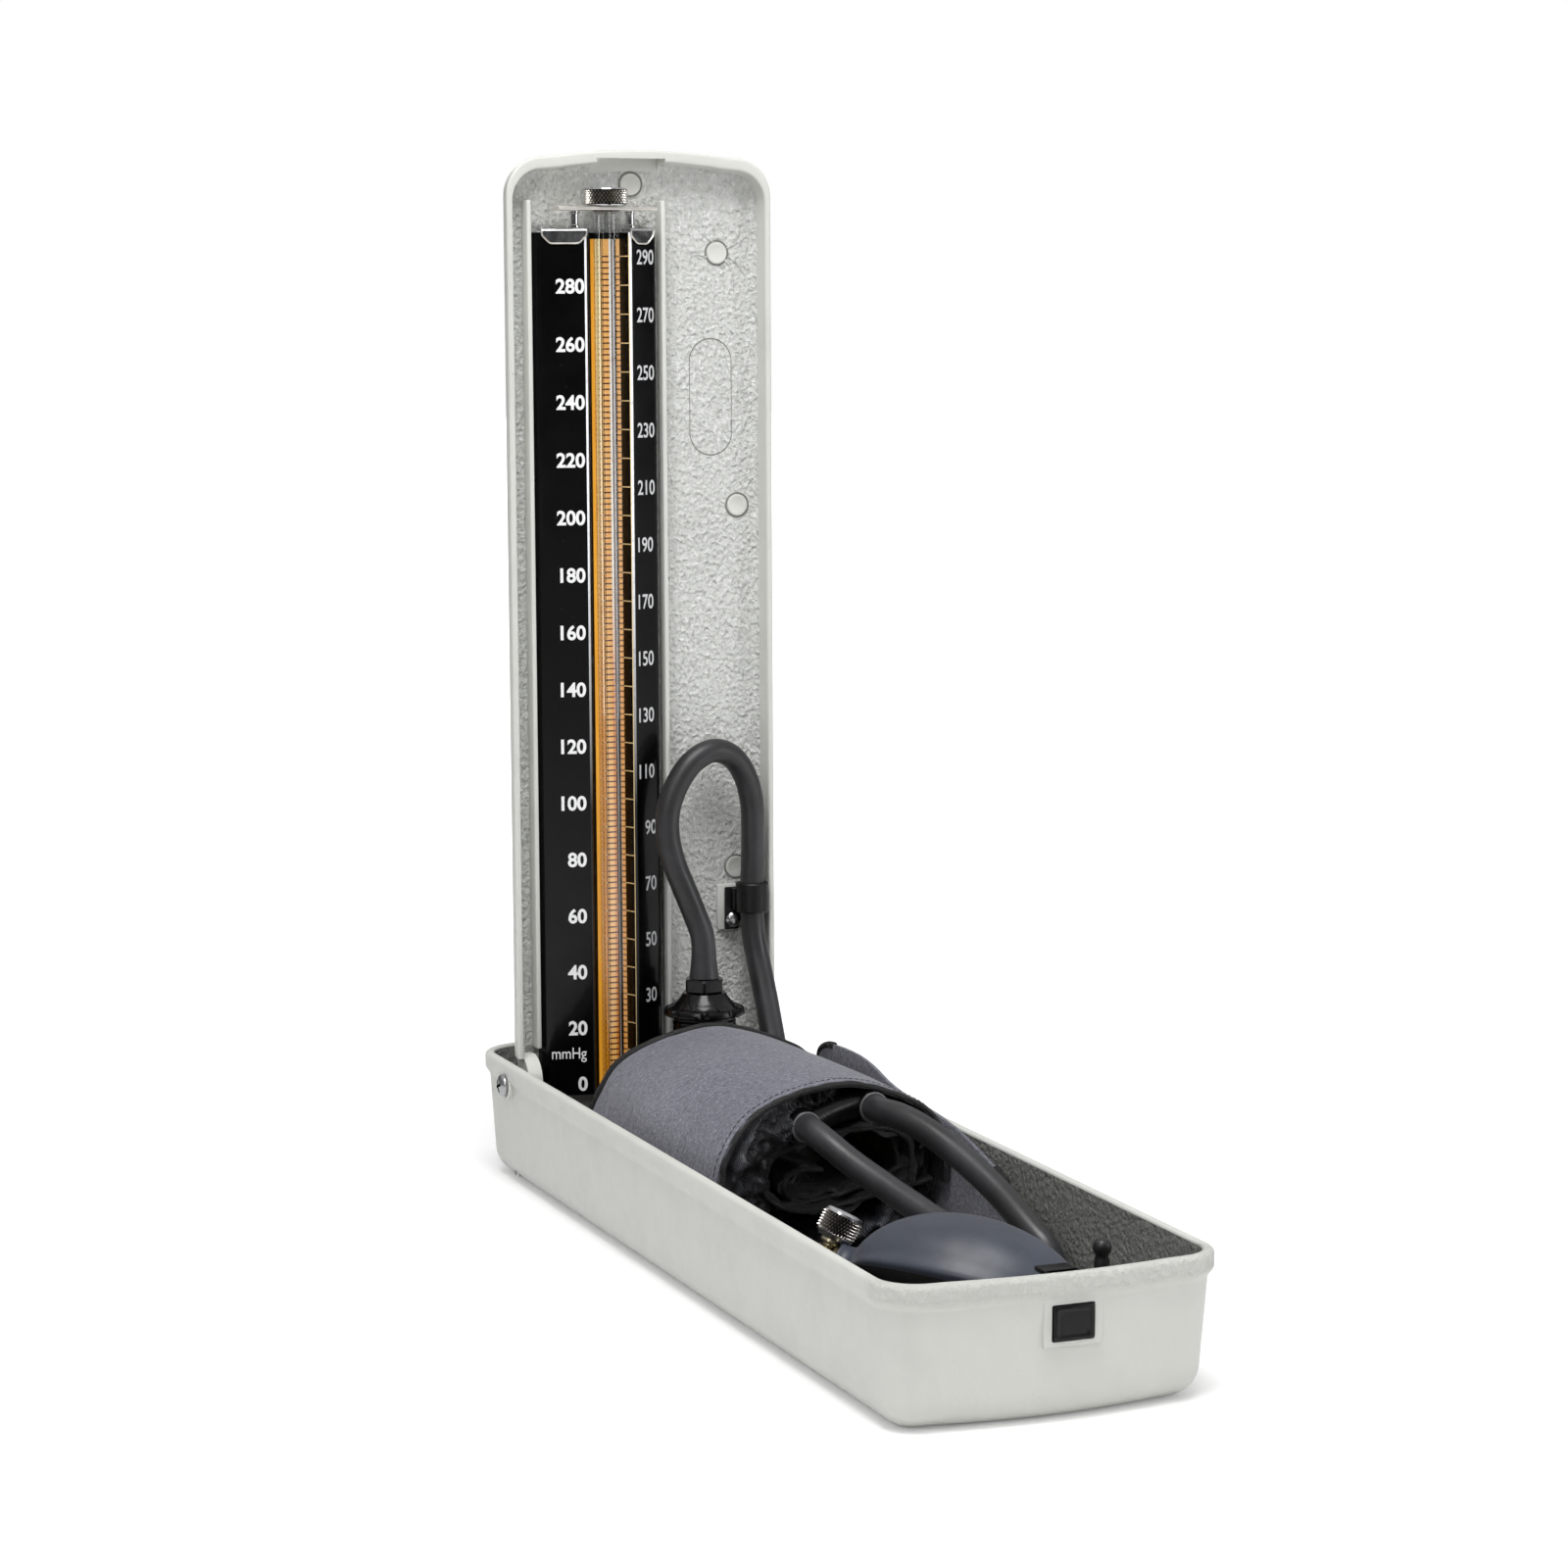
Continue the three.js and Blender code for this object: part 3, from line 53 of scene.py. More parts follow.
# Sizes are in millimetres from the hinge axis; the lid's own pieces are set out as width, depth and height.
mm = 0.001
hinge = {"y": 144.85, "z": 35.5, "lean": 1.15}
trayPlace = Matrix.Scale(mm, 4) @ Matrix.Translation((0, hinge["y"], hinge["z"]))
lidPlace = trayPlace @ Matrix.Rotation(-math.radians(hinge["lean"]), 4, "X")

# camera at the photograph's angle
viewpoint = {"turn": 22.82, "dip": 7.79, "roll": -0.13, "lens": 90, "place": (-0.4777, -1.1126, 0.32165)}


def setCamera(v):
    turn, dip, roll = (math.radians(v[k]) for k in ("turn", "dip", "roll"))
    ahead = Vector((math.sin(turn) * math.cos(dip), math.cos(turn) * math.cos(dip), -math.sin(dip)))
    level = Vector((math.cos(turn), -math.sin(turn), 0))
    upright = level.cross(ahead)
    right = level * math.cos(roll) - upright * math.sin(roll)
    up = upright * math.cos(roll) + level * math.sin(roll)
    data = bpy.data.cameras.new("camera")
    data.lens = v["lens"]
    data.sensor_width = 36
    data.clip_start = 0.05
    camera = bpy.data.objects.new("camera", data)
    place = Matrix((right, up, -ahead)).transposed().to_4x4()
    place.translation = Vector(v["place"])
    camera.matrix_world = place
    bpy.context.collection.objects.link(camera)
    bpy.context.scene.camera = camera


setCamera(viewpoint)
bpy.context.scene.view_settings.view_transform = "Standard"


# shaders
def srgb(r, g, b):
    shades = [c / 255 for c in (r, g, b)]
    return tuple(((c + 0.055) / 1.055) ** 2.4 if c > 10 / 255 else c / 12.92 for c in shades) + (1,)


# a socket is named by its label, or by n and its number
def addNode(tree, kind, settings=None, **inputs):
    node = tree.nodes.new(kind)
    for key, value in (settings or {}).items():
        setattr(node, key, value)
    for label, value in inputs.items():
        numbered = label[0] == "n" and label[1:].isdigit()
        socket = node.inputs[int(label[1:]) if numbered else label.replace("_", " ")]
        value = value.outputs[0] if hasattr(value, "outputs") else value
        if hasattr(value, "links"):
            tree.links.new(value, socket)
        else:
            socket.default_value = value
    return node


def newMaterial(name):
    material = bpy.data.materials.new(name)
    material.use_nodes = True
    return material, material.node_tree


class Paint:
    def __init__(self, name, colour, roughness, **sockets):
        self.material, self.tree = newMaterial(name)
        self.shader = self.tree.nodes["Principled BSDF"]
        self.colour = srgb(*colour)
        self.shader.inputs["Base Color"].default_value = self.colour
        self.shader.inputs["Roughness"].default_value = roughness
        for label, value in sockets.items():
            self.shader.inputs[label.replace("_", " ")].default_value = value
        self.coords = self.add("TexCoord").outputs["Object"]
        self.relief = None

    def add(self, kind, settings=None, **inputs):
        return addNode(self.tree, "ShaderNode" + kind, settings, **inputs)

    def link(self, value, label):
        self.tree.links.new(value, self.shader.inputs[label])

    def stretched(self, scale, turn=(0, 0, 0)):
        return self.add("Mapping", Vector=self.coords, Scale=scale, Rotation=turn).outputs["Vector"]

    def noise(self, scale, detail=3, rough=0.5, along=None):
        return self.add("TexNoise", Vector=along or self.coords, Scale=scale, Detail=detail,
                        Roughness=rough).outputs["Fac"]

    def cells(self, scale, feature="F1"):
        node = self.add("TexVoronoi", {"feature": feature}, Vector=self.coords, Scale=scale)
        return node.outputs["Distance"]

    def bands(self, scale, direction, distortion, along):
        return self.add("TexWave", {"bands_direction": direction}, Vector=along, Scale=scale,
                        Distortion=distortion).outputs["Fac"]

    def axis(self, name):
        return self.add("SeparateXYZ", n0=self.coords).outputs[name]

    def product(self, a, b):
        return self.add("Math", {"operation": "MULTIPLY"}, n0=a, n1=b).outputs["Value"]

    def span(self, value, low, high, first=0, last=1):
        return self.add("MapRange", Value=value, From_Min=low, From_Max=high, To_Min=first,
                        To_Max=last).outputs["Result"]

    def tint(self, factor, colour):
        base = self.shader.inputs["Base Color"]
        below = base.links[0].from_socket if base.links else self.colour
        mix = self.add("Mix", {"data_type": "RGBA"}, n0=factor, n6=below, n7=srgb(*colour))
        self.link(mix.outputs[2], "Base Color")

    def gloss(self, value, low, high):
        self.link(self.span(value, 0.3, 0.7, low, high), "Roughness")

    # adds the stripe's own colour as emission, a painted glow that keeps a stripe behind thick glass bright
    def glow(self, strength):
        self.link(self.shader.inputs["Base Color"].links[0].from_socket, "Emission Color")
        self.shader.inputs["Emission Strength"].default_value = strength

    def bump(self, height, depth, strength=1.0):
        below = {"Normal": self.relief} if self.relief else {}
        self.relief = self.add("Bump", Strength=strength, Distance=depth * mm, Height=height,
                               **below).outputs["Normal"]
        self.link(self.relief, "Normal")


def enamelPaint(name, colour, relief, roughness):
    p = Paint(name, colour, roughness)
    soft = p.noise(60, 4)
    p.tint(p.span(soft, 0.45, 0.75, 0, 0.35), tuple(c * 0.93 for c in colour))
    specks = p.noise(420, 2)
    p.tint(p.span(specks, 0.74, 0.8, 0, 0.35), (120, 118, 110))
    p.gloss(p.noise(180, 3), roughness - 0.06, roughness + 0.1)
    if relief:
        folds = p.noise(720, 4, 0.6, p.stretched((1, 1, 0.75)))
        # darker in the low folds is painted shade, lighter on their peaks a painted highlight
        p.tint(p.span(folds, 0.3, 0.48, 0.5, 0), tuple(c * 0.8 for c in colour))
        p.tint(p.span(folds, 0.56, 0.68, 0, 0.55), tuple(min(c * 1.22, 255) for c in colour))
        p.bump(folds, relief)
        p.bump(p.cells(640, "SMOOTH_F1"), relief * 0.4)
    else:
        # the coat crinkled along the top of the near end, its peaks painted lighter as a painted highlight
        nearEnd = p.span(p.axis("Y"), -0.166, -0.158, 1, 0)
        rimTop = p.span(p.axis("Z"), 0.036, 0.039)
        crinkle = p.product(p.noise(520, 5, 0.7), p.product(nearEnd, rimTop))
        p.tint(p.span(crinkle, 0.5, 0.66, 0, 0.45), tuple(min(c * 1.12, 255) for c in colour))
        p.bump(crinkle, 1.2)
        p.bump(p.noise(520, 3), 0.11)
        p.bump(p.noise(90, 2), 0.12, 0.6)
    return p.material


def blackPaint(name, colour, roughness, coat, dust):
    p = Paint(name, colour, roughness, Coat_Weight=coat, Coat_Roughness=0.04, Specular_IOR_Level=0.16)
    p.tint(p.span(p.cells(260), 0.0, 0.035, dust, 0), (190, 190, 190))
    p.tint(p.span(p.noise(28, 4), 0.5, 0.8, 0, 0.25), tuple(c + 12 for c in colour))
    p.gloss(p.noise(75, 4), roughness, roughness + 0.1)
    p.bump(p.noise(240, 2), 0.02, 0.6)
    return p.material


def plasticPaint(name, colour, roughness, grain=0.03):
    p = Paint(name, colour, roughness, Specular_IOR_Level=0.3)
    p.tint(p.span(p.noise(90, 4), 0.5, 0.8, 0, 0.5), tuple(min(c * 1.35 + 6, 255) for c in colour))
    p.gloss(p.noise(160, 4), roughness - 0.06, roughness + 0.12)
    p.bump(p.noise(1500, 3), grain)
    p.bump(p.noise(120, 2), 0.06, 0.6)
    return p.material


def rubberPaint(name, colour, bloom, roughness, sheen=0.2):
    p = Paint(name, colour, roughness, Sheen_Weight=sheen, Sheen_Roughness=0.5)
    p.tint(p.span(p.noise(40, 5, 0.6), 0.42, 0.75, 0, 0.7), bloom)
    p.tint(p.span(p.noise(900, 3), 0.66, 0.8, 0, 0.3), tuple(min(c + 30, 255) for c in bloom))
    p.gloss(p.noise(70, 4), roughness - 0.08, roughness + 0.1)
    p.bump(p.noise(1300, 4, 0.6), 0.035)
    p.bump(p.noise(110, 3), 0.12, 0.5)
    return p.material


def metalPaint(name, colour, roughness, streak=0.0):
    tarnish = (150, 140, 120)
    p = Paint(name, colour, roughness, Metallic=1)
    p.tint(p.span(p.noise(140, 5), 0.55, 0.8, 0, 0.35), tarnish)
    p.gloss(p.noise(260, 4), roughness, roughness + 0.12)
    p.bump(p.noise(900, 3), 0.01 + streak)
    return p.material


enamel = enamelPaint("enamelOuter", (206, 207, 201), 0, 0.42)
castEnamel = enamelPaint("enamelCast", (213, 214, 210), 1.7, 0.28)
# the enamel inside the tray is painted darker grey: painted shade inside the walls
trayInsidePaintedShade = enamelPaint("enamelTrayInsidePaintedShade", (124, 124, 120), 1.2, 0.36)
plateBlack = blackPaint("plateBlack", (3, 3, 4), 0.18, 0.16, 0.35)
wellBlack = plasticPaint("reservoirBlack", (8, 8, 9), 0.2)
buttonBlack = plasticPaint("buttonBlack", (12, 12, 13), 0.34, 0.05)
hoseRubber = rubberPaint("hoseRubber", (30, 30, 32), (58, 58, 62), 0.4, 0.06)
bulbRubber = rubberPaint("bulbRubber", (47, 52, 63), (68, 74, 88), 0.44, 0.12)
# near-black rubber below the bulb's crease: painted shade
bulbPaintedShade = rubberPaint("bulbUndersidePaintedShade", (10, 10, 12), (20, 21, 24), 0.5, 0.0)
bumperRubber = rubberPaint("bumperRubber", (12, 12, 13), (30, 30, 31), 0.4, 0.05)
chrome = metalPaint("chrome", (214, 214, 216), 0.09)
knurlChrome = metalPaint("knurledChrome", (172, 168, 163), 0.22)
nickel = metalPaint("nickel", (240, 236, 228), 0.3)
# near-black metal for the cores between knurl teeth and the screws' cross recess: painted shade
paintedGrooveShade = metalPaint("paintedGrooveShade", (26, 25, 24), 0.4)
steel = metalPaint("steel", (176, 177, 178), 0.24, 0.01)
springSteel = metalPaint("springSteel", (150, 151, 154), 0.22)
brass = metalPaint("tarnishedBrass", (196, 186, 158), 0.22, 0.01)
mercury = metalPaint("mercury", (205, 207, 210), 0.04)


def clothPaint(name, colour, dark, tuft):
    p = Paint(name, colour, 0.95, Sheen_Weight=0.3, Sheen_Roughness=0.4)
    p.tint(p.span(p.noise(640, 6, 0.85), 0.46, 0.58, 0, 0.95), dark)
    p.tint(p.span(p.noise(900, 4, 0.8), 0.54, 0.64, 0, 0.8), tuple(min(c + 52, 255) for c in colour))
    p.tint(p.span(p.noise(22, 4), 0.4, 0.75, 0, 0.35), dark)
    p.bump(p.noise(950, 5, 0.75), tuft * 1.8)
    p.bump(p.noise(120, 3, 0.6), tuft * 3, 0.6)
    return p.material


def nylonPaint(name, colour, light, twill):
    p = Paint(name, colour, 0.4, Sheen_Weight=0.06, Sheen_Roughness=0.35)
    slanted = p.stretched((1, 1, 1), (0.5, 0.3, 0.8))
    weave = p.bands(twill, "X", 0.6, slanted)
    cross = p.bands(twill * 1.6, "Z", 0.4, slanted)
    # the twill's threads painted lighter in patches: the weave pattern plus a painted sheen
    p.tint(p.product(p.span(weave, 0.45, 0.9, 0, 0.8), p.span(p.noise(45, 3), 0.42, 0.7)), light)
    p.bump(p.product(weave, cross), 0.14)
    p.bump(p.noise(150, 4, 0.6), 1.3, 0.8)
    p.gloss(p.noise(60, 3), 0.24, 0.44)
    return p.material


loopCloth = clothPaint("loopCloth", (110, 110, 121), (76, 76, 87), 0.2)
tailCloth = clothPaint("tailCloth", (108, 108, 119), (70, 70, 80), 0.2)
bindingTape = nylonPaint("bindingTape", (7, 7, 8), (22, 22, 24), 900)
liningNylon = nylonPaint("liningNylon", (18, 18, 20), (96, 98, 106), 620)
twillNylon = nylonPaint("twillNylon", (26, 26, 29), (138, 140, 150), 520)
rubberSheet = plasticPaint("bladderRubber", (9, 9, 10), 0.26, 0.04)


def flatPrint(name, colour):
    p = Paint(name, colour, 0.5)
    p.tint(p.span(p.noise(700, 3), 0.5, 0.72, 0, 0.25), tuple(c * 0.82 for c in colour))
    p.bump(p.noise(2500, 2), 0.01)
    return p.material


whiteInk = flatPrint("whiteInk", (236, 236, 236))
greyInk = flatPrint("greyInk", (205, 206, 208))
creamInk = flatPrint("creamInk", (232, 204, 146))
tickInk = flatPrint("tickInk", (112, 26, 8))
dotInk = flatPrint("dotInk", (70, 42, 10))
# darker grey for the engraved oval and the rings round the marks: painted shade in the grooves
paintedEngravingShade = flatPrint("paintedEngravingShade", (118, 117, 112))


def amberPaint(name, colour, deep):
    p = Paint(name, colour, 0.32, Coat_Weight=0.5, Coat_Roughness=0.08)
    p.tint(p.span(p.noise(30, 4, along=p.stretched((14, 14, 1))), 0.4, 0.75, 0, 0.6), deep)
    p.tint(p.span(p.noise(900, 3), 0.6, 0.8, 0, 0.3), deep)
    p.bump(p.noise(420, 2), 0.02)
    # the strip glows with painted emission, painted light that keeps it bright in its recess
    p.glow(0.42)
    return p.material


amberStrip = amberPaint("amberStrip", (236, 166, 48), (214, 134, 28))
orangeStrip = amberPaint("orangeStrip", (255, 196, 116), (248, 166, 76))


# a stripe whose colour changes between two heights, given in metres: the upper colour is painted light on
# the tube and the plate's folds, and the stripe glows with painted emission
def fadingPrint(name, upper, lower, low, high):
    p = Paint(name, upper, 0.4)
    p.tint(p.span(p.axis("Z"), low, high, 1, 0), lower)
    p.tint(p.span(p.noise(700, 3), 0.5, 0.75, 0, 0.3), tuple(c * 0.85 for c in lower))
    p.bump(p.noise(2500, 2), 0.01)
    p.glow(0.35)
    return p.material


# pale cream at the top is painted light, the brightening seen through the tube, fading to amber lower down
paleStripPaintedLight = fadingPrint("paleStripPaintedLight", (250, 226, 164), (226, 146, 34), 0.15, 0.30)
# white at the top is a painted highlight of the tube, turning orange lower down
glintStripPaintedHighlight = fadingPrint("glintStripPaintedHighlight", (252, 250, 246), (236, 146, 62), 0.17, 0.21)
# a grey line that is a painted reflection in the tube, dimmer lower down
greyStripPaintedReflection = fadingPrint("greyStripPaintedReflection", (206, 206, 214), (120, 116, 112), 0.12, 0.24)
# white at the top of the plate's fold crests is a painted highlight, black lower down
foldPaintedHighlight = fadingPrint("plateFoldPaintedHighlight", (226, 228, 232), (6, 6, 7), 0.13, 0.23)


# clear glass with a mirror skin that strengthens towards the edges
def glassPaint(name, strength, most=0.4):
    material, tree = newMaterial(name)
    tree.nodes.remove(tree.nodes["Principled BSDF"])
    coords = addNode(tree, "ShaderNodeTexCoord").outputs["Object"]
    ripple = addNode(tree, "ShaderNodeTexNoise", Vector=coords, Scale=50).outputs["Fac"]
    relief = addNode(tree, "ShaderNodeBump", Height=ripple, Distance=0.00003)
    clear = addNode(tree, "ShaderNodeBsdfTransparent", Color=(0.985, 0.99, 0.985, 1))
    skin = addNode(tree, "ShaderNodeBsdfGlossy", Roughness=0.03, Normal=relief)
    edge = addNode(tree, "ShaderNodeFresnel", IOR=1.5)
    weaker = addNode(tree, "ShaderNodeMath", {"operation": "MULTIPLY"}, n0=edge, n1=strength)
    capped = addNode(tree, "ShaderNodeMath", {"operation": "MINIMUM"}, n0=weaker, n1=most)
    mix = addNode(tree, "ShaderNodeMixShader", Fac=capped, n1=clear, n2=skin)
    tree.links.new(mix.outputs["Shader"], tree.nodes["Material Output"].inputs["Surface"])
    return material


tubeGlass = glassPaint("tubeGlass", 1.1)
print("finishes ready:", len(bpy.data.materials))


# mesh tools
def placed(name, data):
    thing = bpy.data.objects.new(name, data)
    bpy.context.collection.objects.link(thing)
    return thing


def newPiece(name, bm, place, materials, angle=35):
    bmesh.ops.recalc_face_normals(bm, faces=bm.faces[:])
    bm.transform(place)
    mesh = bpy.data.meshes.new(name)
    bm.to_mesh(mesh)
    bm.free()
    for material in materials:
        mesh.materials.append(material)
    mesh.shade_smooth()
    mesh.set_sharp_from_angle(angle=math.radians(angle))
    return placed(name, mesh)


def attach(piece, body, *nodes):
    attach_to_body(piece, body)
    if nodes:
        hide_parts(*nodes)
    return piece


# makes pieces in one frame that ride one body unless told otherwise
def pieceMaker(place, home):
    def add(name, bm, materials, node=None, angle=35, body=home):
        nodes = [node] if isinstance(node, str) else node or []
        return attach(newPiece(name, bm, place, materials, angle), body, *nodes)
    return add


lidPiece = pieceMaker(lidPlace, "lid_body")
trayPiece = pieceMaker(trayPlace, "tray_body")


def bake(piece, angle=None):
    found = bpy.context.evaluated_depsgraph_get()
    mesh = bpy.data.meshes.new_from_object(piece.evaluated_get(found))
    piece.modifiers.clear()
    piece.data = mesh
    if angle:
        mesh.set_sharp_from_angle(angle=math.radians(angle))


def carve(piece, cutter, operation="DIFFERENCE"):
    cut = piece.modifiers.new("cut", "BOOLEAN")
    cut.operation = operation
    cut.solver = "EXACT"
    cut.object = cutter
    bake(piece, 35)
    bpy.data.objects.remove(cutter)


def merge(target, *others):
    with bpy.context.temp_override(active_object=target, selected_editable_objects=[target, *others]):
        bpy.ops.object.join()


def loftInto(bm, rings, slots=None, closed=False):
    rows = [[bm.verts.new(p) for p in ring] for ring in rings]
    pairs = list(zip(rows, rows[1:])) + ([(rows[-1], rows[0])] if closed else [])
    for r, (a, b) in enumerate(pairs):
        for i in range(len(a)):
            j = (i + 1) % len(a)
            face = bm.faces.new((a[i], a[j], b[j], b[i]))
            face.material_index = slots[r] if slots else 0
    if not closed:
        bm.faces.new(rows[0][::-1]).material_index = slots[0] if slots else 0
        bm.faces.new(rows[-1]).material_index = slots[-1] if slots else 0


def turnInto(bm, profile, sides, at, closed=False, slot=0, wave=None):
    rows = []
    for radius, height in profile:
        if radius < 1e-6:
            rows.append([bm.verts.new(at @ Vector((0, 0, height)))])
            continue
        row = []
        for k in range(sides):
            t = 2 * math.pi * k / sides
            reach = radius + (wave(t, radius, height) if wave else 0)
            row.append(bm.verts.new(at @ Vector((reach * math.cos(t), reach * math.sin(t), height))))
        rows.append(row)
    pairs = list(zip(rows, rows[1:])) + ([(rows[-1], rows[0])] if closed else [])
    for a, b in pairs:
        for k in range(sides):
            ring = [a[k % len(a)], a[(k + 1) % len(a)], b[(k + 1) % len(b)], b[k % len(b)]]
            corners = list(dict.fromkeys(ring))
            if len(corners) > 2:
                bm.faces.new(corners).material_index = slot
    if not closed:
        for row in (rows[0], rows[-1]):
            if len(row) > 1:
                bm.faces.new(row).material_index = slot


def boxInto(bm, low, high, bevel, at=Matrix(), slot=0, segments=2):
    low, high = Vector(low), Vector(high)
    size = high - low
    place = at @ Matrix.Translation((low + high) / 2) @ Matrix.Diagonal((*size, 1))
    made = bmesh.ops.create_cube(bm, size=1, matrix=place)["verts"]
    faces = {f for v in made for f in v.link_faces}
    for face in faces:
        face.material_index = slot
    if bevel:
        edges = list(dict.fromkeys(e for v in made for e in v.link_edges))
        bmesh.ops.bevel(bm, geom=edges, offset=bevel, segments=segments, profile=0.5, affect="EDGES",
                        clamp_overlap=True)


def barInto(bm, axis, radius, a, b, p, q, sides, slot=0, bevel=0.0):
    turn, start = {"x": (Matrix.Rotation(math.pi / 2, 4, "Y"), (a, p, q)),
                   "y": (Matrix.Rotation(-math.pi / 2, 4, "X"), (p, a, q)),
                   "z": (Matrix(), (p, q, a))}[axis]
    long = b - a
    edge = [(radius - bevel, 0), (radius, bevel), (radius, long - bevel), (radius - bevel, long)]
    profile = [(0, 0)] + (edge if bevel else [(radius, 0), (radius, long)]) + [(0, long)]
    turnInto(bm, profile, sides, Matrix.Translation(start) @ turn, slot=slot)


def roundLine(points, radius, steps, closed=False):
    out = []
    for i, point in enumerate(points):
        here = Vector(point)
        if not closed and i in (0, len(points) - 1):
            out.append(here)
            continue
        before = Vector(points[i - 1]) - here
        after = Vector(points[(i + 1) % len(points)]) - here
        cut = min(radius, before.length * 0.45, after.length * 0.45)
        a, b = here + before.normalized() * cut, here + after.normalized() * cut
        for k in range(steps + 1):
            t = k / steps
            out.append(a * (1 - t) ** 2 + here * 2 * t * (1 - t) + b * t * t)
    return out


def smoothPath(points, spacing):
    points = [Vector(p) for p in points]
    ends = [points[0] * 2 - points[1]] + points + [points[-1] * 2 - points[-2]]
    fine = []
    for i in range(1, len(ends) - 2):
        p0, p1, p2, p3 = ends[i - 1:i + 3]
        d0, d1, d2 = ((b - a).length_squared ** 0.25 or 1 for a, b in ((p0, p1), (p1, p2), (p2, p3)))
        t1 = ((p1 - p0) / d0 - (p2 - p0) / (d0 + d1) + (p2 - p1) / d1) * d1
        t2 = ((p2 - p1) / d1 - (p3 - p1) / (d1 + d2) + (p3 - p2) / d2) * d1
        for k in range(24):
            t = k / 24
            squared = (p1 * -3 + p2 * 3 - t1 * 2 - t2) * t ** 2
            fine.append(p1 + t1 * t + squared + (p1 * 2 - p2 * 2 + t1 + t2) * t ** 3)
    fine.append(points[-1])
    run = [0]
    for a, b in zip(fine, fine[1:]):
        run.append(run[-1] + (b - a).length)
    count = max(2, round(run[-1] / spacing))
    even, k = [], 0
    for i in range(count + 1):
        want = run[-1] * i / count
        while k < len(run) - 2 and run[k + 1] < want:
            k += 1
        share = (want - run[k]) / max(run[k + 1] - run[k], 1e-9)
        even.append(fine[k].lerp(fine[k + 1], share))
    return even, run[-1]


def sweepInto(bm, path, radius, sides, slot=0, flat=1.0, first=None):
    count = len(path)
    side = None
    rows = []
    for i, point in enumerate(path):
        ahead = (path[min(i + 1, count - 1)] - path[max(i - 1, 0)]).normalized()
        if side is None:
            side = Vector(first) if first else ahead.orthogonal()
        side = (side - ahead * side.dot(ahead)).normalized()
        other = ahead.cross(side)
        reach = radius(i / (count - 1)) if callable(radius) else radius
        rows.append([bm.verts.new(point + side * reach * math.cos(a) + other * reach * flat * math.sin(a))
                     for a in (2 * math.pi * k / sides for k in range(sides))])
    for a, b in zip(rows, rows[1:]):
        for k in range(sides):
            j = (k + 1) % sides
            bm.faces.new((a[k], a[j], b[j], b[k])).material_index = slot
    bm.faces.new(rows[0][::-1]).material_index = slot
    bm.faces.new(rows[-1]).material_index = slot


# closes two layers of points into one thick sheet; slots gives the outer and the inner one of each row
def sheetInto(bm, rows, slots=lambda i: (0, 0), turned=False):
    def quad(corners, slot):
        corners = (corners[0],) + corners[:0:-1] if turned else corners
        bm.faces.new(corners).material_index = slot

    columns = len(rows[0][0]) - 1
    for i, ((a, b), (c, d)) in enumerate(zip(rows, rows[1:])):
        outside, inside = slots(i)
        for j in range(columns):
            quad((a[j], a[j + 1], c[j + 1], c[j]), outside)
            quad((b[j], d[j], d[j + 1], b[j + 1]), inside)
        quad((a[0], c[0], d[0], b[0]), inside)
        quad((a[-1], b[-1], d[-1], c[-1]), inside)
    for a, b in (rows[0], rows[-1]):
        for j in range(columns):
            quad((a[j], b[j], b[j + 1], a[j + 1]), slots(0)[1])


def onAxis(start, axis):
    turn = Vector((0, 0, 1)).rotation_difference(Vector(axis).normalized()).to_matrix().to_4x4()
    return Matrix.Translation(start) @ turn


# node trees
class Tree:
    def __init__(self, name, inputs):
        self.group = bpy.data.node_groups.new(name, "GeometryNodeTree")
        self.kinds = {}
        for label, kind, value in inputs:
            kind = "NodeSocket" + kind
            socket = self.group.interface.new_socket(name=label, in_out="INPUT", socket_type=kind)
            if value is not None:
                socket.default_value = value
            self.kinds[label] = socket.identifier
        self.group.interface.new_socket(name="Geometry", in_out="OUTPUT", socket_type="NodeSocketGeometry")
        self.enter = self.group.nodes.new("NodeGroupInput")
        self.leave = self.group.nodes.new("NodeGroupOutput")

    def input(self, label):
        return self.enter.outputs[label]

    def add(self, kind, settings=None, **inputs):
        return addNode(self.group, "GeometryNode" + kind, settings, **inputs)

    def vector(self, **axes):
        return addNode(self.group, "ShaderNodeCombineXYZ", **axes)

    def math(self, operation, a, b=0.0):
        return addNode(self.group, "ShaderNodeMath", {"operation": operation}, n0=a, n1=b)

    def close(self, geometry):
        whole = self.add("RealizeInstances", Geometry=geometry)
        inked = self.add("SetMaterial", Geometry=whole, Material=self.input("Material"))
        self.group.links.new(inked.outputs[0], self.leave.inputs[0])

    def grow(self, name, place, mesh=None, **values):
        piece = placed(name, mesh or bpy.data.meshes.new(name))
        modifier = piece.modifiers.new("grow", "NODES")
        modifier.node_group = self.group
        for label, value in values.items():
            modifier[self.kinds[label.replace("_", " ")]] = value
        bake(piece)
        piece.data.transform(place)
        return piece


def tickTree():
    tree = Tree("scaleTicks", [("Count", "Int", 10), ("Step", "Float", 1.0), ("Wide", "Float", 1.0),
                               ("Tall", "Float", 0.2), ("Thick", "Float", 0.05),
                               ("Material", "Material", None)])
    step = tree.vector(Z=tree.input("Step"))
    line = tree.add("MeshLine", Count=tree.input("Count"), Offset=step)
    size = tree.vector(X=tree.input("Wide"), Y=tree.input("Thick"), Z=tree.input("Tall"))
    bar = tree.add("MeshCube", Size=size)
    ticks = tree.add("InstanceOnPoints", Points=line, Instance=bar)
    tree.close(ticks)
    return tree


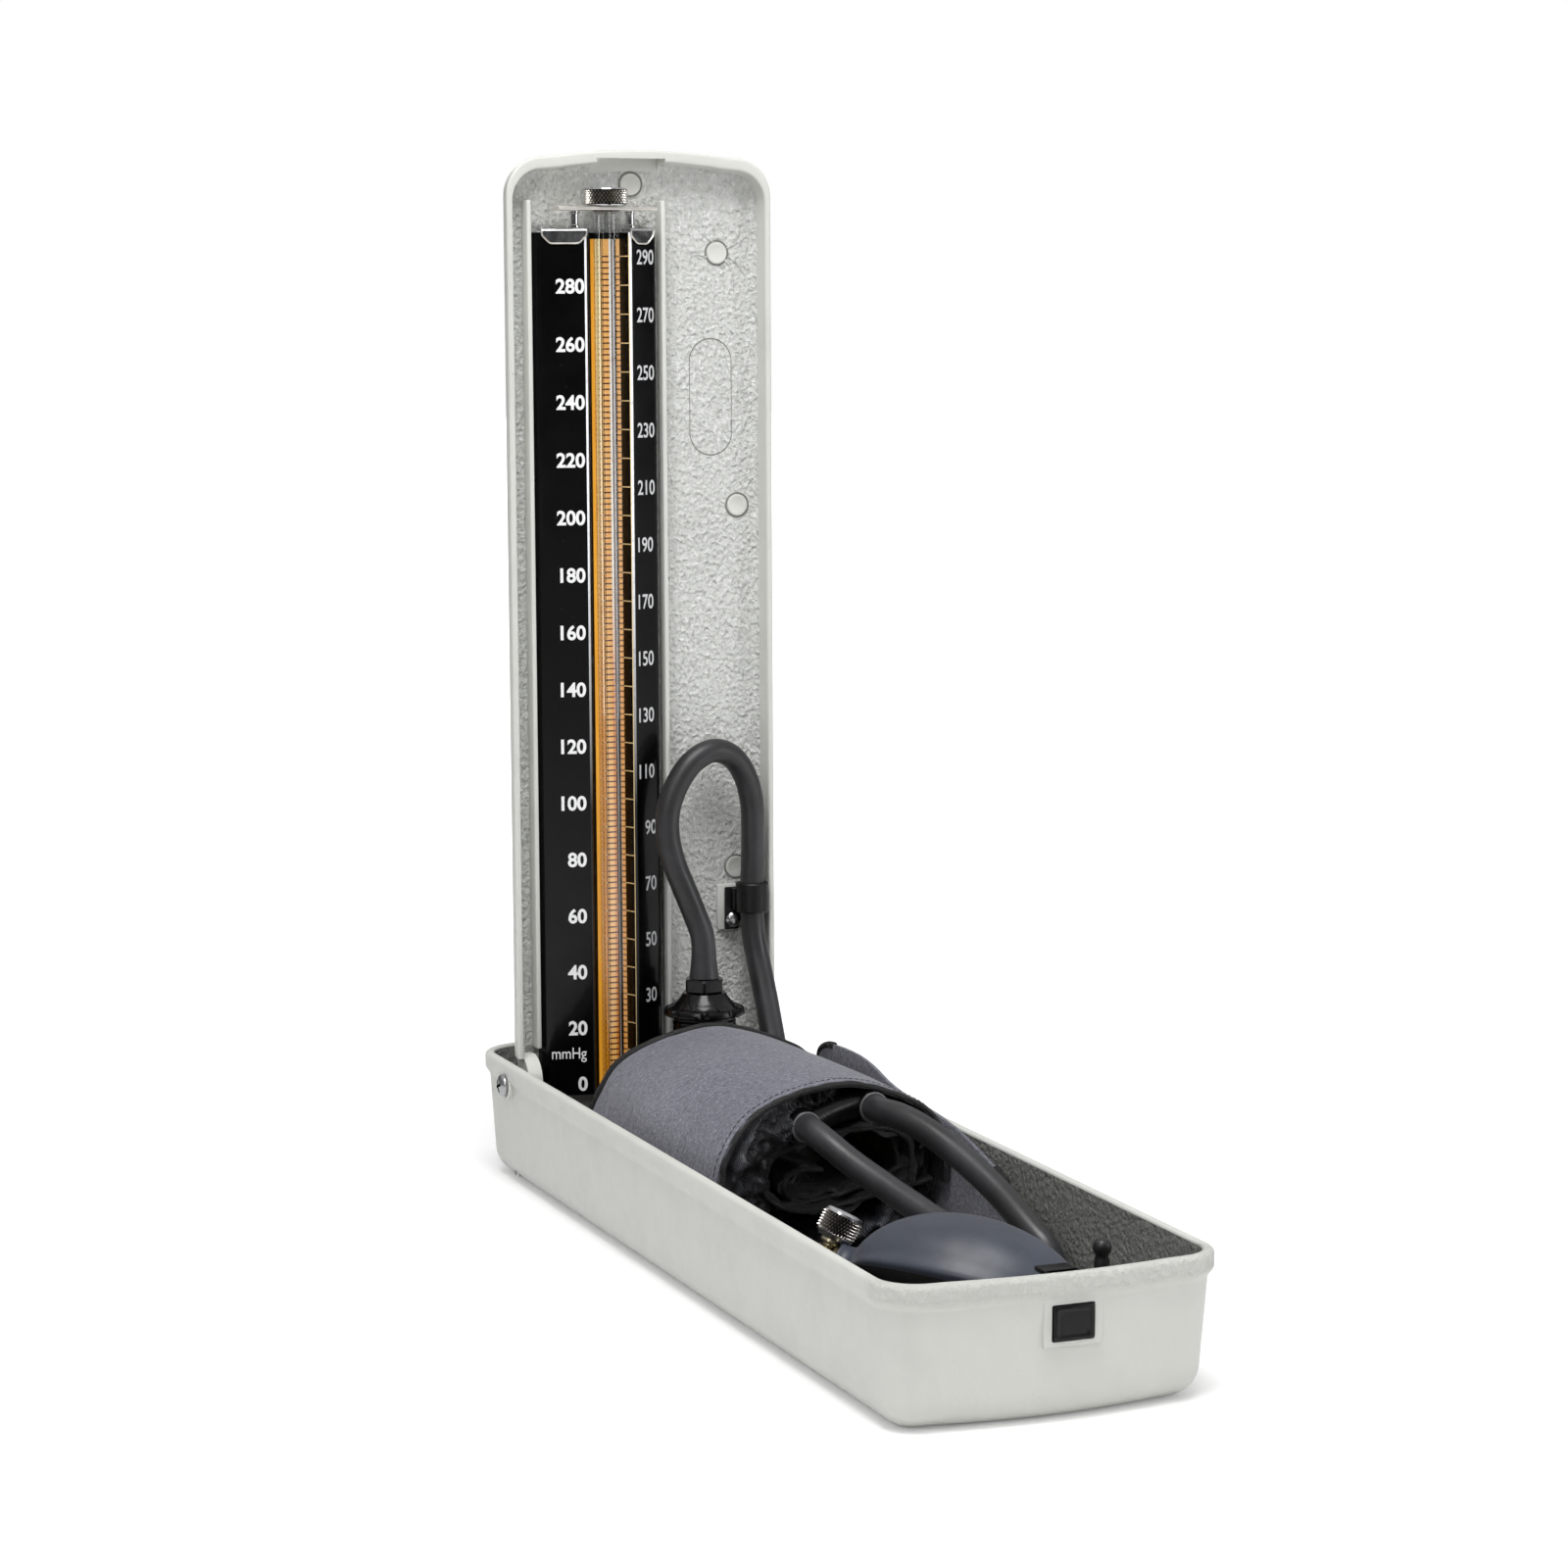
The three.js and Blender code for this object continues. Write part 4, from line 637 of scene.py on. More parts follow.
def knurlTree():
    tree = Tree("knurl", [("Columns", "Int", 30), ("Rows", "Int", 7), ("Radius", "Float", 7.0),
                          ("Height", "Float", 5.0), ("Depth", "Float", 0.5),
                          ("Material", "Material", None)])
    columns, rows, radius = tree.input("Columns"), tree.input("Rows"), tree.input("Radius")
    count = tree.math("MULTIPLY", columns, rows)
    points = tree.add("Points", Count=count)
    index = tree.add("InputIndex")
    row = tree.math("FLOOR", tree.math("DIVIDE", tree.math("ADD", index, 0.5), columns))
    column = tree.math("SUBTRACT", index, tree.math("MULTIPLY", row, columns))
    stagger = tree.math("MULTIPLY", tree.math("MODULO", row, 2.0), 0.5)
    share = tree.math("DIVIDE", tree.math("ADD", column, stagger), columns)
    angle = tree.math("MULTIPLY", share, 2 * math.pi)
    pitch = tree.math("DIVIDE", tree.input("Height"), tree.math("ADD", rows, 1.0))
    place = tree.vector(X=tree.math("MULTIPLY", tree.math("COSINE", angle), radius),
                     Y=tree.math("MULTIPLY", tree.math("SINE", angle), radius),
                     Z=tree.math("MULTIPLY", tree.math("ADD", row, 1.0), pitch))
    moved = tree.add("SetPosition", Geometry=points, Position=place)
    stud = tree.add("MeshCone", Vertices=4, Radius_Top=0.0, Radius_Bottom=1.0, Depth=tree.input("Depth"))
    turn = tree.vector(X=math.pi / 2, Z=tree.math("ADD", angle, math.pi / 2))
    half = tree.math("DIVIDE", tree.math("MULTIPLY", radius, 2.3), columns)
    size = tree.vector(X=half, Y=tree.math("MULTIPLY", pitch, 0.7), Z=1.0)
    studs = tree.add("InstanceOnPoints", Points=moved, Instance=stud,
                     Rotation=turn, Scale=size)
    tree.close(studs)
    return tree


def springTree():
    tree = Tree("coilSpring", [("Turns", "Float", 4.0), ("Radius", "Float", 2.0), ("Wire", "Float", 0.3),
                               ("Length", "Float", 4.0), ("Material", "Material", None)])
    spiral = tree.add("CurveSpiral", Resolution=28, Rotations=tree.input("Turns"),
                      Start_Radius=tree.input("Radius"), End_Radius=tree.input("Radius"),
                      Height=tree.input("Length"))
    section = tree.add("CurvePrimitiveCircle", Resolution=10, Radius=tree.input("Wire"))
    wire = tree.add("CurveToMesh", Curve=spiral, Profile_Curve=section,
                    Fill_Caps=True)
    tree.close(wire)
    return tree


def stitchTree():
    tree = Tree("stitches", [("Geometry", "Geometry", None), ("Spacing", "Float", 2.2),
                             ("Length", "Float", 1.4), ("Thread", "Float", 0.18),
                             ("Material", "Material", None)])
    line = tree.add("MeshToCurve", Mesh=tree.input("Geometry"))
    spaced = tree.add("ResampleCurve", {"mode": "LENGTH"}, Curve=line, Length=tree.input("Spacing"))
    along = tree.add("InputTangent")
    turn = addNode(tree.group, "FunctionNodeAlignRotationToVector", {"axis": "Z"}, Vector=along)
    thread = tree.add("MeshUVSphere", Segments=6, Rings=5, Radius=1.0)
    size = tree.vector(X=tree.input("Thread"), Y=tree.input("Thread"),
                    Z=tree.math("MULTIPLY", tree.input("Length"), 0.5))
    sewn = tree.add("InstanceOnPoints", Points=spaced, Instance=thread,
                    Rotation=turn, Scale=size)
    tree.close(sewn)
    return tree


ticks, knurl, spring, stitches = tickTree(), knurlTree(), springTree(), stitchTree()

# the three air hoses
hoses = {
    "radius": 4.2, "trayShare": 0.46,
    "lid": [(16.2, -13.2, 34.9), (16.2, -13.2, 40), (16.15, -13.2, 44), (15.6, -13.1, 50),
            (13.2, -12.6, 57), (9.9, -11.4, 66), (6.6, -10.2, 75), (4.6, -9.4, 85), (5.2, -9, 94),
            (9.2, -8.8, 103.5), (15.4, -8.2, 110.4),
            (23, -7.2, 113.2), (30.2, -5.8, 110.6), (35.6, -4.4, 103.6), (38.5, -3.4, 94.4),
            (39.4, -2.2, 84), (39.6, -1.4, 74), (39.4, -1.2, 65.6), (39.4, -1.2, 60.2)],
    "manometerOnLid": [(39.4, -1.2, 60), (39.4, -1.2, 54.6), (39.6, -1.8, 46), (40.6, -4.4, 36)],
    "manometer": [(41.4, -8, 25), (41.8, -13, 13), (41.8, -19.5, 1), (41.6, -28, -11), (41.4, -38, -20.5),
                  (41.2, -50, -26.4), (41.2, -66, -27.2), (41.2, -110, -27.2), (41.2, -150, -27.2),
                  (41.2, -190, -27.2), (41.2, -212, -27.2), (41, -229, -25.6), (40, -238.6, -19),
                  (37.6, -238.4, -11), (34.6, -229.6, -4.6), (31.6, -214, 3.4), (26.6, -198, 11.2),
                  (20.6, -184, 17.4),
                  (16.4, -175, 19.8), (14.4, -168.4, 19.9), (14.2, -164.4, 19.8), (14.2, -160.4, 19.8),
                  (14.2, -157.4, 19.8)],
    "bulb": [(-40.4, -229.2, -6.7), (-41, -226.3, -7.1), (-41, -221.6, -9), (-38.4, -213, -14.6),
             (-31.5, -205.6, -20.6), (-20, -204, -25.6), (-7, -210.6, -27.6), (4, -221, -26),
             (11.6, -231, -19.6), (14, -235.6, -12), (12.2, -229, -6), (7.2, -215, -1.2), (1, -200, 4.2),
             (-5.4, -187, 10), (-9.8, -178.6, 14.8), (-11.7, -172.7, 17.0), (-11.8, -168.7, 17.2),
             (-11.8, -165.7, 17.2)],
}


def hosePiece(name, path, flare=0.0):
    bm = bmesh.new()
    radius = hoses["radius"]
    flared = (lambda s: radius + flare * max(0, 1 - s * 14) ** 1.5) if flare else radius
    sweepInto(bm, path, flared, 28)
    return newPiece(name, bm, Matrix.Scale(mm, 4), [hoseRubber], 50)


def rowPoint(place, point):
    return place @ Vector(point) / mm


lidRoute, lidHoseLength = smoothPath([rowPoint(lidPlace, p) for p in hoses["lid"]], 2.2)
lidHose = hosePiece("lidHose", lidRoute, 1.0)
attach(lidHose, "lid_body", "lid_hose", "hose_collar")

manometerRoute, manometerLength = smoothPath([rowPoint(lidPlace, p) for p in hoses["manometerOnLid"]]
                                             + [rowPoint(trayPlace, p) for p in hoses["manometer"]], 2.6)
half = round(len(manometerRoute) * hoses["trayShare"])
manometerHose = hosePiece("manometerHose", manometerRoute[:half + 1])
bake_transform(manometerHose)
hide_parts("manometer_hose")

# the part in the tray is its own piece, riding the tray
trayHose = hosePiece("manometerHoseInTray", manometerRoute[half:])
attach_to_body(trayHose, "tray_body")

bulbRoute, bulbHoseLength = smoothPath([rowPoint(trayPlace, p) for p in hoses["bulb"]], 2.2)
bulbHose = hosePiece("bulbHose", bulbRoute)
attach(bulbHose, "tray_body", "bulb_hose")
print("hoses laid:", *(round(n, 1) for n in (lidHoseLength, manometerLength, bulbHoseLength)))


# long cast case, seen from above, with a bowed low end
def caseOutline(half, low, high, bow, cornerLow, cornerHigh, corner=14, sides=22, ends=26):
    lean = math.degrees(math.atan(2 * bow / half))
    inner = half - cornerLow
    seat = low + bow * 0.98 ** 2 * (inner / half) ** 2 + cornerLow * 0.98
    points = []

    def arc(cx, cy, r, start, stop):
        for i in range(corner + 1):
            t = math.radians(start + (stop - start) * i / corner)
            points.append((cx + r * math.cos(t), cy + r * math.sin(t)))

    def straight(x, y0, y1):
        for i in range(1, sides):
            points.append((x, y0 + (y1 - y0) * i / sides))

    arc(inner, seat, cornerLow, -90 + lean * 0.7, 0)
    straight(half, seat, high - cornerHigh)
    arc(half - cornerHigh, high - cornerHigh, cornerHigh, 0, 90)
    arc(cornerHigh - half, high - cornerHigh, cornerHigh, 90, 180)
    straight(-half, high - cornerHigh, seat)
    arc(-inner, seat, cornerLow, 180, 270 - lean * 0.7)
    for i in range(1, ends):
        x = -inner * 0.93 + inner * 1.86 * i / ends
        points.append((x, low + bow * (x / half) ** 2))
    return points


tray = {"height": 43.3, "half": 52.8, "front": 323.7, "back": 34, "bow": 5.5, "cornerFront": 14,
        "cornerBack": 16,
        "floor": 2.6, "rim": 3.2, "band": 7, "proud": 1.6, "draft": 2.6, "fillet": 9, "innerFillet": 7,
        "button": (2.7, -6.5), "buttonSize": (12.6, 9.8), "play": 0.35, "pad": (-6.4, 11.8, -13.2, 1.4),
        "ears": (45.8, 50.6), "bosses": (49.6, 52.75), "stops": (38.5, 47.4), "postX": 14.8,
        "bumper": (30.8, -284.5)}


def makeTray(t):
    top = t["height"]

    def inset(z):
        return t["proud"] + t["draft"] * (top - t["band"] - z) / (top - t["band"])

    def ring(set_, z):
        outline = caseOutline(t["half"] - set_, -t["front"] + set_, t["back"] - set_, t["bow"],
                              max(t["cornerFront"] - set_, 2), max(t["cornerBack"] - set_, 2))
        return [Vector((x, y, z - hinge["z"])) for x, y in outline]

    rings, slots = [], []

    def add(set_, z, slot=0):
        rings.append(ring(set_, z))
        slots.append(slot)

    for i in range(10):
        a = math.radians(90 - 90 * i / 10)
        z = t["fillet"] * (1 - math.sin(a))
        add(inset(z) + t["fillet"] * (1 - math.cos(a)), z)
    bandLow = top - t["band"]
    for z in (t["fillet"], 14, 20, 26, 31, bandLow - 1.6):
        add(inset(z), z)
    for share in (0.0, 0.15, 0.4, 0.7, 0.9, 1.0):
        ease = share * share * (3 - 2 * share)
        add(inset(bandLow - 1.2) * (1 - ease), bandLow - 1.2 + share * 3.4)
    for i in range(7):
        a = math.radians(90 * i / 6)
        add(1.5 * (1 - math.cos(a)), top - 1.5 + 1.5 * math.sin(a))
    for i in range(6):
        a = math.radians(90 - 90 * i / 5)
        add(t["rim"] - 0.9 + 0.9 * math.cos(a), top - 0.9 + 0.9 * math.sin(a))
    slots[-1] = 1
    floorSet = inset(0) + t["rim"] - t["proud"]
    low = t["floor"] + t["innerFillet"]
    for i in range(1, 6):
        z = top - 1.2 + (low - top + 1.2) * i / 5
        add(t["rim"] + (floorSet - 0.4 - t["rim"]) * i / 5, z, 1)
    for i in range(1, 8):
        a = math.radians(90 * i / 7)
        add(floorSet + t["innerFillet"] * (1 - math.cos(a)),
            t["floor"] + t["innerFillet"] * (1 - math.sin(a)), 1)
    bm = bmesh.new()
    loftInto(bm, rings, slots)
    piece = newPiece("trayShell", bm, trayPlace, [enamel, trayInsidePaintedShade])

    x0, x1, z0, z1 = t["pad"]
    wall = -t["front"] + inset(29)
    bm = bmesh.new()
    boxInto(bm, (x0, wall - 0.5, z0), (x1, wall + 2.5, z1), 0.35)
    carve(piece, newPiece("padBlank", bm, trayPlace, [enamel]), "UNION")
    (bx, bz), (bw, bh) = t["button"], t["buttonSize"]
    bm = bmesh.new()
    wide, tall = bw / 2 + t["play"], bh / 2 + t["play"]
    boxInto(bm, (bx - wide, wall - 4, bz - tall), (bx + wide, wall + 8, bz + tall), 0.5)
    carve(piece, newPiece("windowBlank", bm, trayPlace, [enamel]))

    bm = bmesh.new()
    for side in (-1, 1):
        a, b = sorted(side * x for x in t["ears"])
        barInto(bm, "x", 6, a, b, 0, 0, 48, 1, 0.5)
        a, b = sorted(side * x for x in t["bosses"])
        barInto(bm, "x", 5, a, b, 0, 0, 48, 0, 0.5)
        a, b = sorted(side * x for x in t["stops"])
        boxInto(bm, (a, 2.5, -33.5), (b, 6.3, -12), 0.6, slot=1)
        x = t["button"][0] + side * t["postX"]
        boxInto(bm, (x - 3.4, wall + 2.6, -25), (x + 3.4, wall + 12.7, -9.5), 0.6, slot=1)
        boxInto(bm, (x - 3.4, wall + 8.5, -33.4), (x + 3.4, wall + 12.7, -24), 0.6, slot=1)
    barInto(bm, "z", 3.4, -33, -6, *t["bumper"], 32, 1, 0.5)
    merge(piece, newPiece("trayBosses", bm, trayPlace, [enamel, trayInsidePaintedShade]))
    attach(piece, "tray_body", "tray")


makeTray(tray)

lid = {"half": 48, "top": 319, "bow": 5.2, "corner": 13, "rim": -1.3, "depth": 10.4, "floor": 2.4,
       "lip": 2.2,
       "endLip": 3.9, "draft": 0.8, "fillet": 5, "notch": (-15.7, 9.1), "ribs": (-39.4, 9.1),
       "ribSpan": (11.6, 302),
       "marks": [(-0.8, 307.7), (30.8, 284.5), (37.8, 197.4), (36.4, 70.1)],
       "markProfile": [(0, 0.75), (2.0, 0.78), (2.5, 0.95), (3.2, 1.1), (3.6, 1.05), (3.9, 0.5), (4.1, 0)],
       "ear": [(2.6, 9.6), (-1.6, 8), (-4.9, 3.6), (-5.1, -1), (4.6, -2), (7.2, -3), (7.2, 9.6)]}


def makeLid(t):
    back = t["rim"] + t["depth"]
    floor = back - t["floor"]

    rings, slots = [], []

    def add(set_, v, endSet=None, slot=0):
        endSet = set_ if endSet is None else endSet
        corner = max(t["corner"] - set_, 2)
        outline = caseOutline(t["half"] - set_, -t["top"] + endSet, 6, t["bow"], corner, 2)
        rings.append([Vector((x, v, -y)) for x, y in outline])
        slots.append(slot)

    fillet, rim, lip, endLip = t["fillet"], t["rim"], t["lip"], t["endLip"]
    for i in range(9):
        a = math.radians(90 - 90 * i / 8)
        add(t["draft"] + fillet * (1 - math.cos(a)), back - fillet * (1 - math.sin(a)))
    for i in range(1, 5):
        add(t["draft"] * (1 - i / 4), back - fillet + (rim + 0.9 - back + fillet) * i / 4)
    for i in range(1, 7):
        a = math.radians(90 * i / 6)
        add(0.9 * (1 - math.cos(a)), rim + 0.9 - 0.9 * math.sin(a))
    for i in range(7):
        a = math.radians(90 * i / 6)
        grow = 0.7 * math.sin(a) - 0.7
        add(lip + grow, rim + 0.7 - 0.7 * math.cos(a), endLip + grow)
    for i in range(1, 4):
        add(lip + 0.4 * i / 3, rim + 0.7 + (floor - 2 - rim - 0.7) * i / 3, endLip + 0.4 * i / 3)
    for i in range(1, 7):
        a = math.radians(90 * i / 6)
        more = 0.4 + 2.6 * (1 - math.cos(a))
        add(lip + more, floor - 2 + 2 * math.sin(a), endLip + more, 1)
    bm = bmesh.new()
    loftInto(bm, rings, slots)
    piece = newPiece("lidShell", bm, lidPlace, [enamel, castEnamel])

    def cutBox(low, high):
        blank = bmesh.new()
        boxInto(blank, low, high, 0.0)
        carve(piece, newPiece("blank", blank, lidPlace, [enamel]))

    cutBox((-60, -4, -30), (60, 14, 9))
    far = t["top"] - 1.5
    x0, x1 = t["notch"]
    cutBox((x0, -3, t["top"] - 8), (x1, 2.5, far - 1.3))
    cutBox((x0, 2.4, t["top"] - 8), (x1, floor, far))

    bm = bmesh.new()
    boxInto(bm, (-43.5, floor, -22), (43.5, back, 13), 0.8)
    for x in t["ribs"]:
        boxInto(bm, (x - 0.8, 1, t["ribSpan"][0]), (x + 0.8, floor + 1, t["ribSpan"][1]), 0.45, segments=3)
    for x, u in t["marks"]:
        place = Matrix.Translation((x, floor + 0.6, u)) @ Matrix.Rotation(math.pi / 2, 4, "X")
        turnInto(bm, t["markProfile"], 48, place)
    boxInto(bm, (28.9, floor - 1.4, 48.2), (41.4, back - 1, 64.2), 0.5)
    boxInto(bm, (10.2, 3.4, -8), (22.2, floor + 1, 12), 0.6)
    merge(piece, newPiece("lidRibs", bm, lidPlace, [enamel]))

    for side in (-1, 1):
        bm = bmesh.new()
        neck = roundLine(t["ear"], 2.4, 6)
        a = side * 45.5 - (5 if side > 0 else 0)
        rings = [[Vector((a + dx, v, u)) for v, u in neck] for dx in (0, 5)]
        loftInto(bm, rings)
        barInto(bm, "x", 5.2, a, a + 5, 0, 0, 48, 0, 0.5)
        merge(piece, newPiece("ear", bm, lidPlace, [enamel]))
    attach(piece, "lid_body", "lid")


makeLid(lid)

# thin cracks that the casting left round one mark, and the engraved oval
engraved = {
    "floor": 6.7, "ovalAt": (28.2, 235), "ovalHalf": (7.9, 20.3), "line": 0.45,
    "cracks": [[(34.0, 282), (36.6, 278), (37.4, 268), (38.0, 262)],
               [(29.6, 288), (24.5, 292), (21.6, 296)], [(34.4, 286), (39.5, 288.5), (42.4, 291)],
               [(35, 283.5), (40, 279), (43, 272)], [(27.2, 283), (22.6, 284), (19.8, 281.8)],
               [(32.6, 280.4), (33.6, 272), (32.4, 266)]]}


def ellipse(middle, wide, tall, count):
    turns = (2 * math.pi * k / count for k in range(count))
    return [(middle + wide * math.cos(a), tall * math.sin(a)) for a in turns]


def makeCracks(t):
    bm = bmesh.new()
    for crack in t["cracks"]:
        line, _ = smoothPath([(x, t["floor"] - 0.02, u) for x, u in crack], 0.6)
        wobble = [p + Vector((noise.noise(p * 0.9), 0, noise.noise(p * 0.9 + Vector((7, 0, 0))))) * 0.35
                  for p in line]
        sweepInto(bm, wobble, lambda s: 0.32 * (1 - s) + 0.1, 8)
    lidPiece("lidCracks", bm, [castEnamel], angle=60)


def makeOval(t):
    bm = bmesh.new()
    (cx, cu), (halfX, halfU), floor = t["ovalAt"], t["ovalHalf"], t["floor"]
    oval = []
    for i in range(96):
        a = 2 * math.pi * i / 96
        end = math.copysign(halfU - halfX, math.sin(a) or 1)
        oval.append(Vector((cx + halfX * math.cos(a), floor - 0.04, cu + halfX * math.sin(a) + end)))
    rows = [[p + (Vector((cx, p.y, cu)) - p).normalized() * d for p in oval] for d in (0, t["line"])]
    rows += [[p + Vector((0, 0.2, 0)) for p in row] for row in rows[::-1]]
    loftInto(bm, rows, closed=True)
    for x, u in lid["marks"]:
        at = Matrix.Translation((x, floor - 0.02, u)) @ Matrix.Rotation(math.pi / 2, 4, "X")
        turnInto(bm, ellipse(4.15, 0.3, 0.25, 10), 48, at, closed=True)
    lidPiece("lidOval", bm, [paintedEngravingShade], angle=60)


makeCracks(engraved)
makeOval(engraved)
print("tray and lid cast")

# folded scale plate, its printing and the strip behind the tube
plate = {"front": [(-38, 6.3), (-37.6, 3), (-36.2, 1.4), (-34.6, 0.8), (-21.15, -3.2), (-20.25, -2.7),
                   (-17.7, 4.6), (-7.7, 4.6), (-5.15, -2.7), (-4.25, -3.2), (4.7, 0.6), (6.3, 1.6),
                   (6.9, 6.3)],
         "thick": 0.8, "low": -5.2, "high": 291.2, "zero": -1, "step": 9.8,
         "stripes": ((-16.45, -14.85), (-14.85, -12.95), (-12.55, -9.95), (-9.95, -9.0), (-8.6, -8.05))}


def plateV(x):
    for (x0, v0), (x1, v1) in zip(plate["front"], plate["front"][1:]):
        if x0 <= x <= x1 and x1 > x0:
            return v0 + (v1 - v0) * (x - x0) / (x1 - x0)
    return 0.0


def makePlate(t):
    front = roundLine([(x, v, 0) for x, v in t["front"]], 1.1, 5)
    backLine = []
    for i, p in enumerate(front):
        d = (front[min(i + 1, len(front) - 1)] - front[max(i - 1, 0)]).normalized()
        backLine.append(p + Vector((-d.y, d.x, 0)) * t["thick"])
    outline = front + backLine[::-1]
    heights = [t["low"], t["low"] + 0.25]
    heights += [t["low"] + (t["high"] - t["low"]) * i / 12 for i in range(1, 12)]
    heights += [t["high"] - 0.25, t["high"]]
    rings = [[Vector((p.x, p.y, u)) for p in outline] for u in heights]
    bm = bmesh.new()
    loftInto(bm, rings)
    # the faces along the two fold crests take the painted highlight
    for face in bm.faces:
        at = face.calc_center_median()
        if at.y < -2.2 and (abs(at.x + 20.75) < 0.45 or abs(at.x + 4.65) < 0.45):
            face.material_index = 1
    lidPiece("scalePlate", bm, [plateBlack, foldPaintedHighlight], "scale_plate", 45)

    bm = bmesh.new()
    top = t["high"] - 2.1
    # the backing's stripes from left to right: amber, pale, orange, glint and grey; the pale, glint and grey
    # ones are painted light seen in the tube
    for i, (x0, x1) in enumerate(t["stripes"]):
        boxInto(bm, (x0, 4.05, t["low"]), (x1, 4.35, top), 0.0, slot=i)
    boxInto(bm, (0.93, -0.1, t["low"]), (2.98, -0.02, top), 0.0, flankAt, 2)
    inks = [amberStrip, paleStripPaintedLight, orangeStrip, glintStripPaintedHighlight, greyStripPaintedReflection]
    lidPiece("scaleBacking", bm, inks, "scale_backing", 45)


# the flank of the recess to the right of the tube, starting at its inner corner
flankTurn = Matrix.Rotation(math.atan2(-7.3, 2.55), 4, "Z")
flankAt = Matrix.Translation((-7.7, 4.6, 0)) @ flankTurn
makePlate(plate)


def inked(name, place, x, v, u, count, step, wide, tall, material):
    at = lidPlace @ Matrix.Translation((x, v, u)) @ place
    piece = ticks.grow(name, at, Count=count, Step=step, Wide=wide, Tall=tall, Thick=0.05,
                       Material=material)
    attach(piece, "lid_body")


def makeScale(t):
    zero, ten = t["zero"], t["step"]
    flat = Matrix()
    half = zero + 75 * ten / 5
    inked("scaleTicksLow", flat, -10.85, 4.03, zero, 75, ten / 5, 3.5, 0.5, tickInk)
    inked("scaleTicksHigh", flat, -11.25, 4.03, half, 71, ten / 5, 2.7, 0.5, tickInk)
    inked("scaleTicksTens", flat, -13.0, 4.0, zero, 30, ten, 0.8, 0.4, creamInk)
    inked("scaleDots", flat, -13.8, 4.0, zero, 146, ten / 5, 0.36, 0.36, dotInk)
    inked("flankTicks", flankTurn, -7.17, 2.71, zero, 146, ten / 5, 2.2, 0.5, tickInk)
    inked("flankTens", flankTurn, -6.0, -0.34, zero, 30, ten, 4.5, 0.36, creamInk)
    bm = bmesh.new()
    boxInto(bm, (-5.22, -2.78, t["low"] + 1), (-4.86, -2.66, zero + 29.7 * ten), 0.03)
    lidPiece("scaleLines", bm, [creamInk])


makeScale(plate)

labels = {"left": {"x": -21.4, "wide": 9.3, "tall": 5.1, "weight": 0.028, "slant": 1.9,
                   "values": range(0, 300, 20)},
          "right": {"x": -2.1, "wide": 7.3, "tall": 5.1, "weight": 0.012, "slant": 1.4,
                    "values": range(10, 300, 20)}}


def letterMesh(text, weight):
    curve = bpy.data.curves.new("letters", "FONT")
    curve.body = text
    curve.size = 1
    curve.offset = weight
    curve.resolution_u = 6
    holder = placed("letters", curve)
    found = bpy.context.evaluated_depsgraph_get()
    mesh = bpy.data.meshes.new_from_object(holder.evaluated_get(found))
    bpy.data.objects.remove(holder)
    return mesh


def extent(mesh, axis):
    values = [v.co[axis] for v in mesh.vertices]
    return min(values), max(values)


def putLetters(bm, text, weight, sx, sy, x, u, align, proud=0.06):
    mesh = letterMesh(text, weight)
    (left, right), (bottom, top) = extent(mesh, 0), extent(mesh, 1)
    wide = (right - left) * sx
    start = x - wide if align == "right" else x
    for vertex in mesh.vertices:
        px = start + (vertex.co.x - left) * sx
        vertex.co = Vector((px, plateV(px) - proud, u + (vertex.co.y - (bottom + top) / 2) * sy))
    bm.from_mesh(mesh)


def makeLabels():
    for side, ink in (("left", whiteInk), ("right", greyInk)):
        spec = labels[side]
        slant = spec["slant"]
        probe = letterMesh("280", spec["weight"])
        (left, right), (bottom, top) = extent(probe, 0), extent(probe, 1)
        sx, sy = spec["wide"] / (right - left), spec["tall"] / (top - bottom)
        bm = bmesh.new()
        for value in spec["values"]:
            u = plate["zero"] + value / 10 * plate["step"] - 0.3
            start = spec["x"] - slant * (1 - u / 275) + (2.4 if side == "right" and value < 100 else 0)
            align = "right" if side == "left" else "left"
            putLetters(bm, str(value), spec["weight"], sx, sy, start, u, align)
        if side == "left":
            putLetters(bm, "mmHg", 0.006, sx * 0.7, sy * 0.82, spec["x"] - slant - 0.2, 8.9, "right")
        bmesh.ops.remove_doubles(bm, verts=bm.verts[:], dist=0.001)
        thick = bmesh.ops.extrude_face_region(bm, geom=bm.faces[:])["geom"]
        lifted = [g for g in thick if isinstance(g, bmesh.types.BMVert)]
        bmesh.ops.translate(bm, verts=lifted, vec=(0, 0.08, 0))
        lidPiece("scaleNumbers" + side.title(), bm, [ink], angle=30)


makeLabels()
print("scale printed")

# glass tube with its mercury and what holds it
tube = {"x": -12.65, "v": -1.6, "radius": 4.5, "bore": 1.9, "low": -10.5, "high": 298, "bridge": 298.6,
        "postMiddle": -13.7, "postHalf": 10.1,
        "post": [(0, 292.8), (1.9, 292.8), (1.9, 293.5), (1.5, 293.8), (1.5, 297.5), (1.8, 297.8),
                 (1.8, 298.3), (0, 298.3)]}
tubeAt = Matrix.Translation((tube["x"], tube["v"], 0))


